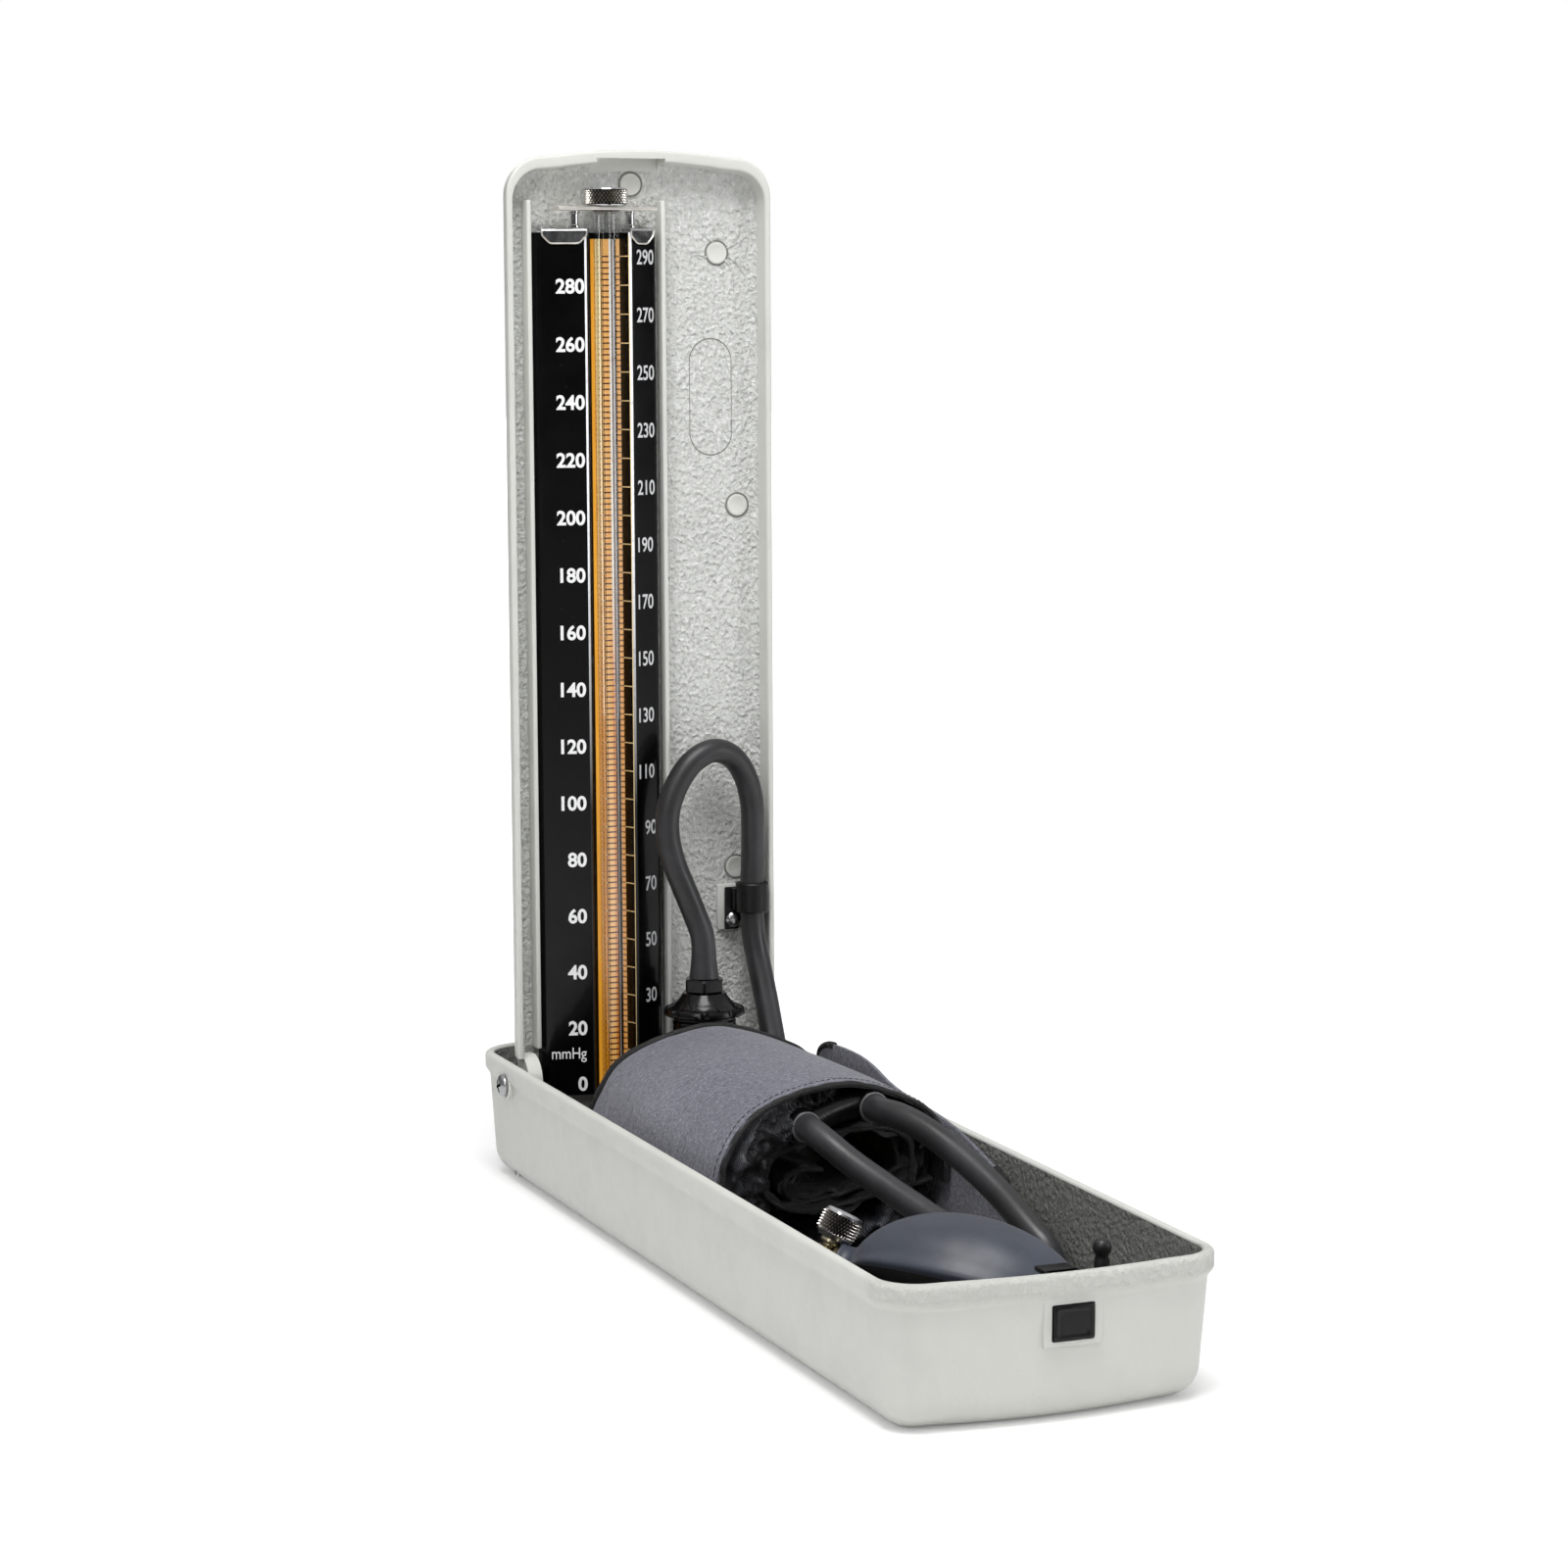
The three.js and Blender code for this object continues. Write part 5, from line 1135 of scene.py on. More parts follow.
def makeTube(t):
    bm = bmesh.new()
    r, b, low, high = t["radius"], t["bore"], t["low"], t["high"]
    heights = [low + (high - low) * i / 30 for i in range(1, 30)]
    outer = [(r - 0.5, low), (r, low + 0.5)] + [(r, h) for h in heights]
    outer += [(r, high - 0.6), (r - 0.6, high)]
    inner = [(b + 0.3, high), (b, high - 0.3)] + [(b, h) for h in heights[::-1]]
    inner += [(b, low + 0.3), (b + 0.3, low)]
    turnInto(bm, outer + inner, 64, tubeAt, closed=True)
    lidPiece("glassTube", bm, [tubeGlass], "glass_tube", 40)

    bm = bmesh.new()
    r = b - 0.3
    dome = [(r * math.cos(a), -1 - 0.5 + 0.5 * math.sin(a)) for a in (math.pi / 2 * k / 5 for k in range(6))]
    turnInto(bm, [(0, low + 0.4), (r, low + 0.4)] + dome[:-1] + [(0, -1)], 32, tubeAt)
    lidPiece("mercuryColumn", bm, [mercury], "mercury_column")

    bm = bmesh.new()
    top = t["bridge"] + 1.1
    plateBottom = t["bridge"]
    boxInto(bm, (-31.5, -6.6, plateBottom), (4.1, 3.4, top), 0.25)
    edge = [e for e in bm.edges if abs(e.verts[0].co.z - e.verts[1].co.z) > 0.5]
    bmesh.ops.bevel(bm, geom=edge, offset=1.6, segments=4, profile=0.5, affect="EDGES", clamp_overlap=True)
    piece = newPiece("tubeBridge", bm, lidPlace, [nickel])
    bm = bmesh.new()
    boxInto(bm, (t["x"] - 8, 2.2, plateBottom), (t["x"] + 8, 6.4, top), 0.3)
    boxInto(bm, (t["x"] - 8, 5.3, plateBottom - 5), (t["x"] + 8, 6.4, top), 0.3)
    carve(piece, newPiece("bridgeFoot", bm, lidPlace, [chrome]), "UNION")
    bm = bmesh.new()
    barInto(bm, "z", 4.85, plateBottom - 1, top + 1, t["x"], t["v"], 48)
    carve(piece, newPiece("bridgeHole", bm, lidPlace, [chrome]))
    attach(piece, "lid_body", "tube_bridge")

    for side, node in ((-1, "bridge_post_left"), (1, "bridge_post_right")):
        bm = bmesh.new()
        at = Matrix.Translation((t["postMiddle"] + side * t["postHalf"], t["v"] + 1.4, 0))
        turnInto(bm, t["post"], 28, at)
        lidPiece("bridgePost" + ("Left" if side < 0 else "Right"), bm, [chrome], node)


makeTube(tube)

nut = {"low": 300.0, "high": 306.1, "radius": 7.5, "columns": 34, "rows": 6, "depth": 0.75}


def makeNut(t):
    bm = bmesh.new()
    low, high, r = t["low"], t["high"], t["radius"]
    core = r - t["depth"]
    profile = [(0, low), (r - 0.9, low), (r - 0.45, low + 0.2), (r - 0.3, low + 0.5), (core, low + 0.7),
               (core, high - 0.75), (r - 0.3, high - 0.5), (r - 0.45, high - 0.25), (r - 1.0, high),
               (3.4, high), (2.9, high - 0.25), (2.4, high - 0.6), (0, high - 0.6)]
    turnInto(bm, profile, 96, tubeAt)
    # the core between the knurl's teeth takes the painted shade
    for face in bm.faces:
        at = face.calc_center_median()
        if math.hypot(at.x - tube["x"], at.y - tube["v"]) > core - 0.1 and low + 0.6 < at.z < high - 0.6:
            face.material_index = 1
    body = newPiece("tubeNut", bm, lidPlace, [chrome, paintedGrooveShade])
    at = lidPlace @ tubeAt @ Matrix.Translation((0, 0, low + 0.2))
    teeth = knurl.grow("nutKnurl", at, Columns=t["columns"], Rows=t["rows"], Radius=core,
                       Height=high - low - 0.4, Depth=t["depth"], Material=knurlChrome)
    merge(body, teeth)
    body.data.set_sharp_from_angle(angle=math.radians(25))
    attach(body, "tube_nut_body", "tube_nut")


makeNut(nut)

# sprung chrome hooks over the tops of the plate's wings
clips = {"left": (-35.4, -20.85), "right": (-4.85, 4.8), "drop": 3.8}


def makeClip(side, node):
    x0, x1 = clips[side]
    high = plate["high"]
    low = high - clips["drop"]
    bm = bmesh.new()
    line = [(x0, high + 0.5), (x0, high - 1), (x0 + 2.6, low), (x1 - 2.6, low), (x1, high - 1),
            (x1, high + 0.5)]
    line = [Vector((x, 0, u)) for x, u in line]
    line = roundLine(line, 1.0, 4)
    front = [Vector((p.x, wingV(p.x) - 1.2, p.z)) for p in line]
    rear = [Vector((p.x, wingV(p.x) - 0.4, p.z)) for p in line]
    loftInto(bm, [front, rear])
    sweepInto(bm, [p - Vector((0, 0.05, 0)) for p in front], 0.28, 8, slot=1)
    steps = 9
    rings = []
    for x in (x0, x1):
        v = wingV(x)
        outer, inner = [], []
        for k in range(steps):
            a = math.pi * (1 - k / (steps - 1) / 2)
            outer.append(Vector((x, v - 0.2 + 1.0 * math.cos(a), high + 0.3 + 1.0 * math.sin(a))))
            inner.append(Vector((x, v - 0.2 + 0.2 * math.cos(a), high + 0.3 + 0.2 * math.sin(a))))
        outer.append(Vector((x, 4.0, high + 1.3)))
        inner.append(Vector((x, 4.0, high + 0.5)))
        rings.append(outer + inner[::-1])
    loftInto(bm, rings)
    lidPiece("plateClip" + side.title(), bm, [chrome, nickel], node, 30)


def wingV(x):
    if x < -15:
        return 0.8 - 4.0 * (x + 34.6) / 13.45
    return -3.2 + 3.8 * (x + 4.25) / 8.95


makeClip("left", "plate_clip_left")
makeClip("right", "plate_clip_right")

# reservoir with its scalloped cap and hose nipple
well = {"x": 16.2, "v": -13.2, "radius": 10.7, "low": -12, "top": 20.7, "flange": 14.1, "capLow": 22.0,
        "capTop": 24.9, "dome": 4.8, "scallops": 8, "hex": 12.8, "hexLow": 30.0, "hexHigh": 34.6,
        "nipple": 43.6}
wellAt = Matrix.Translation((well["x"], well["v"], 0))


def makeWell(t):
    bm = bmesh.new()
    r, low, top = t["radius"], t["low"], t["top"] - 0.3
    profile = [(1.6, low), (r - 1.2, low), (r, low + 1.2), (r, 2), (r + 0.25, 2.4), (r + 0.25, 3.6), (r, 4),
               (r, 15.5), (r + 0.3, 16), (r + 0.3, top - 0.4), (r, top), (r - 1.6, top),
               (r - 1.6, low + 2.6), (r - 2.2, low + 2), (1.6, low + 2)]
    turnInto(bm, profile, 72, wellAt, closed=True)
    body = newPiece("reservoirCup", bm, lidPlace, [wellBlack])
    bm = bmesh.new()
    boxInto(bm, (t["x"] - 4.5, t["v"] + r - 1.2, -6), (t["x"] + 4.5, 3.1, 10), 0.5)
    merge(body, newPiece("reservoirLug", bm, lidPlace, [wellBlack]))
    attach(body, "lid_body", "reservoir")

    low, high, flange, dome = t["capLow"], t["capTop"], t["flange"], t["dome"]

    def scallop(angle, radius, height):
        if height > high + 0.4 or radius < t["radius"]:
            return 0
        turn = angle * t["scallops"] / (2 * math.pi)
        off = abs((turn % 1) - 0.5)
        return -1.0 * max(0, 1 - (off / 0.16) ** 2) * (radius - t["radius"]) / (flange - t["radius"])

    bm = bmesh.new()
    profile = [(1.3, low), (flange - 0.6, low), (flange, low + 0.5), (flange, low + 1.6),
               (flange - 0.5, high - 0.35), (flange - 1.2, high - 0.1), (flange - 1.8, high - 0.5),
               (t["radius"] + 1.0, high - 0.2), (t["radius"] + 0.2, high + 0.35)]
    for k in range(1, 9):
        share = k / 8
        rise = high + 0.35 + (dome - 0.35) * share ** 0.85 - 0.55 * math.sin(math.pi * share)
        profile.append((t["radius"] + 0.2 - (t["radius"] - 7.2) * share, rise))
    profile += [(7.0, high + dome), (1.3, high + dome)]
    turnInto(bm, profile, 192, wellAt, closed=True, wave=scallop)
    cap = newPiece("reservoirCap", bm, lidPlace, [wellBlack])
    bm = bmesh.new()
    for k in range(t["scallops"]):
        turn = wellAt @ Matrix.Rotation(2 * math.pi * (k + 0.1) / t["scallops"], 4, "Z")
        web = [(6.4, high + dome - 0.1), (flange - 2.4, high + 0.2), (flange - 2.4, high - 0.6),
               (6.4, high - 0.6)]
        rings = [[turn @ Vector((r, side * 0.42, h)) for r, h in web] for side in (-1, 1)]
        loftInto(bm, rings)
    merge(cap, newPiece("capWebs", bm, lidPlace, [wellBlack]))
    attach(cap, "lid_body", "reservoir_cap")

    bm = bmesh.new()
    wide = t["hex"] / 2 / math.cos(math.pi / 6)
    corner = [math.radians(60 * k + 8) for k in range(6)]
    low, high = t["hexLow"], t["hexHigh"]
    rings = []
    for h, cut in ((low, 0.5), (low + 0.5, 0), (high - 0.6, 0), (high, 0.6)):
        sharp = [((wide - cut) * math.cos(a), (wide - cut) * math.sin(a), h) for a in corner]
        rings.append([wellAt @ p for p in roundLine(sharp, 1.0, 3, True)])
    loftInto(bm, rings)
    barbs = [(1.3, low + 0.5), (2.6, low + 0.5), (2.6, high)]
    for k in range(3):
        barbs += [(2.9, high + 0.6 + 2.6 * k), (2.4, high + 2.9 + 2.6 * k)]
    barbs += [(2.2, t["nipple"]), (1.3, t["nipple"])]
    turnInto(bm, barbs, 32, wellAt, closed=True)
    lidPiece("hoseNipple", bm, [wellBlack], "hose_nipple", 30)


makeWell(well)

# P clip that holds the lid hose
hoseClip = {"x": 39.4, "v": -1.2, "low": 54.9, "high": 65.3, "inner": 4.5, "outer": 5.8,
            "screw": (34.0, 51.9)}


def makeHoseClip(t):
    at = Matrix.Translation((t["x"], t["v"], 0))
    bm = bmesh.new()
    profile = [(t["inner"], t["low"] + 0.2), (t["inner"] + 0.2, t["low"]), (t["outer"] - 0.3, t["low"]),
               (t["outer"], t["low"] + 0.4), (t["outer"], t["high"] - 0.4), (t["outer"] - 0.3, t["high"]),
               (t["inner"] + 0.2, t["high"]), (t["inner"], t["high"] - 0.2)]
    turnInto(bm, profile, 48, at, closed=True)
    body = newPiece("hoseClipBand", bm, lidPlace, [buttonBlack])
    bm = bmesh.new()
    boxInto(bm, (t["x"] - 8.2, 3.7, t["low"] - 6.6), (t["x"] - 3.2, 5.0, t["high"] - 2), 0.35)
    boxInto(bm, (t["x"] - 6.2, 0.8, t["low"] + 0.4), (t["x"] - 4.6, 4.4, t["high"] - 2.2), 0.4)
    merge(body, newPiece("hoseClipTail", bm, lidPlace, [buttonBlack]))
    attach(body, "lid_body", "hose_clip")
    x, u = t["screw"]
    bm = bmesh.new()
    at = Matrix.Translation((x, 3.4, u)) @ Matrix.Rotation(math.pi / 2, 4, "X")
    head = [(0, 1.55), (1.2, 1.5), (2.2, 1.15), (2.7, 0.5), (2.7, 0), (1.5, -0.1), (1.5, -4), (0, -4)]
    turnInto(bm, head, 32, at)
    lidPiece("hoseClipScrew", bm, [steel], "hose_clip_screw")


makeHoseClip(hoseClip)

# pan-head hinge screws with a cross recess
hingeScrew = {"seat": 53.1, "head": 2.2, "radius": 4, "pin": 2, "inner": 40.9}


def makeHingeScrew(side, node):
    t = hingeScrew
    at = Matrix.Rotation(side * math.pi / 2, 4, "Y")
    seat, top, r = t["seat"], t["seat"] + t["head"], t["radius"]
    shank = [(0, t["inner"]), (t["pin"], t["inner"]), (t["pin"], seat), (r - 0.1, seat)]
    dome = [(r * math.cos(a), seat + 0.4 + (t["head"] - 0.4) * math.sin(a))
            for a in (math.radians(9 * k) for k in range(9))]
    bm = bmesh.new()
    turnInto(bm, shank + dome + [(0, top)], 56, at)
    piece = newPiece("hingeScrew" + ("Left" if side < 0 else "Right"), bm, trayPlace, [steel, paintedGrooveShade])
    # the cross recess takes the painted shade
    for turn in (0.4, 0.4 + math.pi / 2):
        bm = bmesh.new()
        turned = at @ Matrix.Rotation(turn, 4, "Z")
        boxInto(bm, (-2.3, -0.5, top - 1.3), (2.3, 0.5, top + 2), 0.0, turned, 1)
        carve(piece, newPiece("recess", bm, trayPlace, [steel, paintedGrooveShade]))
    attach(piece, "tray_body", node)


makeHingeScrew(-1, "hinge_screw_left")
makeHingeScrew(1, "hinge_screw_right")

# push button, hook, spring and plate of the latch
latch = {"x": 2.7, "z": -6.5, "wide": 12.6, "tall": 9.8, "face": -323.18, "back": -317.25,
         "hookX": (-2.1, 8.5),
         "slide": (-316.95, -314.55), "hook": (-315.9, -313.3), "hookTop": 6.2, "tooth": (-317.2, 2.7),
         "plate": -308.6, "screwX": 14.8, "screwZ": -14.5, "coil": 2.4, "wire": 0.35,
         "screw": [(0, -6.5), (1.3, -6.5), (1.3, 0), (2.8, 0), (2.8, 0.6), (2.2, 1.15), (0.9, 1.3),
                   (0.8, 0.7), (0, 0.6)]}


def makeLatch(t):
    x, z, w, h = t["x"], t["z"], t["wide"] / 2, t["tall"] / 2
    bm = bmesh.new()
    boxInto(bm, (x - w, t["face"] + 0.35, z - h), (x + w, t["back"], z + h), 0.5)
    piece = newPiece("latchButton", bm, trayPlace, [buttonBlack])
    bm = bmesh.new()
    rings = []
    for inset, depth in ((0.55, 0.5), (0.55, 0.0), (1.2, 0.0), (1.7, 0.35), (2.4, 0.3)):
        ring = roundLine([(x + sx * (w - inset), t["face"] + depth, z + sz * (h - inset))
                          for sx, sz in ((-1, -1), (1, -1), (1, 1), (-1, 1))], 1.0, 4, True)
        rings.append(ring)
    loftInto(bm, rings)
    merge(piece, newPiece("buttonFace", bm, trayPlace, [buttonBlack]))
    attach(piece, "latch_body", "latch_button")

    bm = bmesh.new()
    (a, b), (s0, s1), (h0, h1) = t["hookX"], t["slide"], t["hook"]
    boxInto(bm, (x - w - 1.7, s0, z - h - 1), (x + w + 1.7, s1, -1.9), 0.3)
    boxInto(bm, (a, h0, z), (b, h1, t["hookTop"]), 0.3)
    boxInto(bm, (a, t["tooth"][0], t["tooth"][1]), (b, h0 + 1, t["tooth"][1] + 1.6), 0.25)
    boxInto(bm, (a, h0, t["hookTop"] - 1.4), (8.0, h0 + 9, t["hookTop"]), 0.35)
    barInto(bm, "y", 1.8, s1 - 0.5, s1 + 2, x, z, 32, bevel=0.3)
    trayPiece("latchHook", bm, [buttonBlack], "latch_hook", body="latch_body")

    first, last = t["hook"][1] + 0.65, t["plate"] - 0.65
    place = trayPlace @ Matrix.Translation((x, first, z)) @ Matrix.Rotation(-math.pi / 2, 4, "X")
    coil = spring.grow("latchSpring", place, Turns=4.0, Radius=t["coil"], Wire=t["wire"],
                       Length=last - first, Material=springSteel)
    coil.data.shade_smooth()
    attach(coil, "tray_body", "latch_spring")
    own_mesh(coil)

    bm = bmesh.new()
    boxInto(bm, (x - 18.4, t["plate"], z - h - 2.4), (x + 18.4, t["plate"] + 1.4, -9.5), 0.35)
    barInto(bm, "y", 1.8, t["plate"] - 1.6, t["plate"] + 0.5, x, z - 1.4, 32, bevel=0.3)
    trayPiece("latchPlate", bm, [steel], "latch_plate")
    for side, node in ((-1, "latch_screw_left"), (1, "latch_screw_right")):
        start = (x + side * t["screwX"], t["plate"] + 1.7, t["screwZ"])
        bm = bmesh.new()
        turnInto(bm, t["screw"], 32, Matrix.Translation(start) @ Matrix.Rotation(-math.pi / 2, 4, "X"))
        trayPiece("latchScrew" + ("Left" if side < 0 else "Right"), bm, [steel], node)


makeLatch(latch)

bumper = {"at": (30.8, -284.5, 0),
          "profile": [(0, -13), (1.5, -13), (1.5, -5.7), (3.3, -5.7), (3.5, -5.3), (3.4, -4.7), (2.4, -4.3),
                      (2.2, -0.6), (1.9, 0.2), (2.0, 0.8), (2.6, 1.5), (2.85, 2.6), (2.7, 3.8), (2.2, 4.8),
                      (1.3, 5.4), (0, 5.6)]}
hoseGuide = {"x": 47.1, "span": (-191, -182), "height": (-8.5, -2.9), "hooks": (-190.4, -184.2)}


def makeBumper(t):
    bm = bmesh.new()
    turnInto(bm, t["profile"], 40, Matrix.Translation(t["at"]))
    trayPiece("lidBumper", bm, [bumperRubber], "lid_bumper")


def makeHoseGuide(t):
    bm = bmesh.new()
    x, (y0, y1), (z0, z1) = t["x"], t["span"], t["height"]
    boxInto(bm, (x - 0.8, y0, z0), (x, y1, z1), 0.25)
    for y in t["hooks"]:
        claw = [(x - 0.5, y, -8.2), (x - 2.3, y, -7.2), (x - 2.5, y, -4.8), (x - 1.2, y, -3.2)]
        line, _ = smoothPath(claw, 0.5)
        sweepInto(bm, [p + Vector((0, 0.8, 0)) for p in line], 0.55, 10)
    trayPiece("hoseGuide", bm, [bumperRubber], "hose_guide")


makeBumper(bumper)
makeHoseGuide(hoseGuide)
print("lid fittings and latch built")

# rolled cuff: sections are seen along the tray, as width and height
cuff = {"half": 45.3, "top": 29.6, "floor": -32.6, "back": -56, "front": -164.5, "skew": 0.278, "start": -8,
        "pitch": 14.2, "slack": 5.2, "cloth": 2.4, "bladderDepth": 5.4, "bladder": 8.2, "portSet": 4,
        "ports": {"bulb": (-11.8, 17.2), "manometer": (14.2, 19.8)},
        "ridge": ((-17, 11.5), (-12.6, 15.4), (-6, 17.8), (1, 19.4), (8, 20.2), (14.4, 19.6), (19.5, 15.6)),
        "lobe": ((-1.4, 1.2), (-5, 1.9), (-11.5, 2.1), (-16.2, 0.3), (-17.4, -3), (-16.2, -5.4),
                 (-10.7, -9.1), (-1.2, -9.6), (9.9, -8.7), (19.6, -7.2), (29.3, -4.7), (35.9, -3),
                 (38.4, 0.2), (34, 1.6)),
        "bunches": ((116, 180, 0.54, 0.94, 5.2, 4.0, 1), (172, 224, 0.5, 0.92, 4.6, 5.6, 0),
                    (84, 124, 0.56, 0.93, 4.2, 6.0, 0), (-62, 40, 0.62, 0.9, 4.0, 8.5, 0))}


def cuffOutline(t):
    h, top, low = t["half"], t["top"], t["floor"]
    right = [(h, -2), (h - 1.7, 7), (h - 6.3, 14.6), (h - 13.3, 19.6), (h - 21.3, 23.4), (h - 31.3, 27.2),
             (h - 41.3, 29.4)]
    left = [(37.3 - h, top), (25.3 - h, 28), (15.7 - h, 24.6), (8.8 - h, 20), (4.3 - h, 14.6), (1.1 - h, 7),
            (-h, -4), (0.7 - h, -16), (2.9 - h, -26), (9.3 - h, low + 0.8), (21.3 - h, low),
            (45.3 - h, low)]
    under = [(h - 23.3, low), (h - 10.3, low + 1.6), (h - 2.7, -25), (h - 0.3, -14)]
    points = [Vector((x, z, 0)) for x, z in right + left + under]
    fine = []
    count = len(points)
    for i in range(count):
        p0, p1, p2, p3 = (points[(i + k) % count] for k in (-1, 0, 1, 2))
        for k in range(8):
            s = k / 8
            fine.append(0.5 * ((p1 * 2) + (p2 - p0) * s + (p0 * 2 - p1 * 5 + p2 * 4 - p3) * s * s
                               + (p1 * 3 - p0 - p2 * 3 + p3) * s ** 3))
    return fine


rollMiddle = Vector((0, (cuff["top"] + cuff["floor"]) / 2 - 1, 0))
rollSection = [p - rollMiddle for p in cuffOutline(cuff)]


def sectionReach(angle):
    ray = Vector((math.cos(angle), math.sin(angle), 0))
    best = 0
    for a, b in zip(rollSection, rollSection[1:] + rollSection[:1]):
        sa, sb = ray.x * a.y - ray.y * a.x, ray.x * b.y - ray.y * b.x
        if sa <= 0 < sb:
            best = max(best, ray.dot(a) + (ray.dot(b) - ray.dot(a)) * sa / (sa - sb))
    return best


def ease(value, low, high):
    s = min(max((value - low) / (high - low), 0), 1)
    return s * s * (3 - 2 * s)


def rollPoint(turns, depth):
    angle = math.radians(cuff["start"]) + 2 * math.pi * turns
    whole = math.floor(turns + 1e-9)
    inward = cuff["pitch"] * (whole + ease(turns - whole, 0.74, 1)) + depth
    reach = max(sectionReach(math.atan2(math.sin(angle), math.cos(angle))) - inward, 0.5)
    return rollMiddle + Vector((math.cos(angle), math.sin(angle), 0)) * reach


def nearFace(x):
    return cuff["front"] + cuff["skew"] * x


# the roll slackens towards its back end, most at the upper left
def sunk(p):
    height = ease(p.z, -12, 14) * (1 - 0.6 * ease(p.x, -32, 6))
    drop = cuff["slack"] * ease(p.y, -128, -52) * height
    inward = Vector((rollMiddle.x - p.x, 0, rollMiddle.y - p.z))
    return p + inward.normalized() * drop if inward.length > 1 else p


# the wound line: one full turn, then the loose inner turn
innerTurn = [(32.4, 4.5), (24.6, 11), (12, 13.2), (-2, 13.4), (-13.5, 12), (-21, 9.6), (-26, 5.4),
             (-27.4, 0.4), (-24.3, -5.4), (-15.7, -10.6), (-4.8, -12.3), (7, -11.9), (20.8, -10.5),
             (35, -9.8), (40, -9.2)]
firstTurn = [rollPoint(k / 150, 0) for k in range(0, 145, 3)]
woundLine, woundLength = smoothPath(firstTurn + [(x, z, 0) for x, z in innerTurn], 1.7)
print("cuff length", round(woundLength))


def lineNormal(line, i):
    d = line[min(i + 1, len(line) - 1)] - line[max(i - 1, 0)]
    return Vector((d.y, -d.x, 0)).normalized()


# the cloth's own small waves: one long and one short
def clothWave(x, y, z, ripple=0.35, seed=0.0):
    wave = ripple * noise.noise(Vector((x * 0.045, y * 0.03, z * 0.045 + seed)))
    return wave + ripple * 0.4 * noise.noise(Vector((x * 0.13, y * 0.11, z * 0.13 + seed)))


def outwards(normal):
    return Vector((normal.x, 0, normal.y))


def bandInto(bm, line, front, back, thick, columns, slots=(0, 1), ripple=0.35, seed=0.0, taper=0.0,
             shown=1.0, crumple=0.0):
    rows = []
    count = len(line)
    loose = count * (shown if shown < 1 else 0)
    for i, p in enumerate(line):
        normal = lineNormal(line, i)
        near = front(i)
        outer, inner = [], []
        for j in range(columns + 1):
            s = j / columns
            y = near + (back - near) * s
            at = sunk(Vector((p.x, y, p.y)))
            wave = clothWave(p.x, y, p.y, ripple, seed)
            if i > loose:
                fold = noise.noise(Vector((i * 0.16, (y - near) * 0.035, seed + 3)))
                wave += min(1, (i - loose) / 12) * crumple * fold * math.exp((near - y) / 16)
            edge = 1 - 0.5 * taper * (max(0, 1 - s * columns / 2) + max(0, 1 - (1 - s) * columns / 2))
            out = outwards(normal)
            outer.append(bm.verts.new(at + out * (wave - thick * (1 - edge) / 2)))
            inner.append(bm.verts.new(at + out * (wave - thick * (1 + edge) / 2)))
        rows.append((outer, inner))
    sheetInto(bm, rows, lambda i: (slots[0] if i < count * shown else slots[1], slots[1]))


def makeCuff(t):
    line = woundLine
    count = len(line)

    def front(i):
        p = line[i]
        loose = ease(i, count * 0.52, count * 0.62)
        return nearFace(p.x) + loose * 4 + 0.7 * noise.noise(Vector((p.x * 0.07, p.y * 0.07, 3.1)))

    bm = bmesh.new()
    bandInto(bm, line, front, t["back"], t["cloth"], 56, taper=0.6, shown=0.53, crumple=4.5)
    piece = trayPiece("cuffWrap", bm, [loopCloth, liningNylon], ["cuff", "cuff_bladder"], 60)

    bm = bmesh.new()
    for near in (True, False):
        route = []
        for i, p in enumerate(line):
            normal = lineNormal(line, i)
            y = front(i) + 0.6 if near else t["back"] - 0.6
            wave = 0.35 * noise.noise(Vector((p.x * 0.045, y * 0.03, p.y * 0.045)))
            proud = 0.1 if near else 1.0 * (1 - ease(i, count * 0.45, count * 0.5))
            route.append(sunk(Vector((p.x, y, p.y))) + outwards(normal) * (wave - t["cloth"] / 2 + proud))
        size = 1.05 if near else 1.35
        sweepInto(bm, route, lambda s: size + 0.1 * math.sin(s * 260), 14, flat=0.9, first=(0, 1, 0))
    binding = trayPiece("cuffBinding", bm, [bindingTape], None, 60)

    mesh = bpy.data.meshes.new("stitchLine")
    points = []
    for i in range(2, int(count * 0.5)):
        p, normal = line[i], lineNormal(line, i)
        y = front(i) + 3.6
        points.append(sunk(Vector((p.x, y, p.y))) + outwards(normal) * (clothWave(p.x, y, p.y) + 0.05))
    mesh.from_pydata(points, [(i, i + 1) for i in range(len(points) - 1)], [])
    sewn = stitches.grow("cuffStitches", trayPlace, mesh, Spacing=2.3, Length=1.6, Thread=0.16,
                         Material=bindingTape)
    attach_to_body(sewn, "tray_body")
    return [piece, binding, sewn]


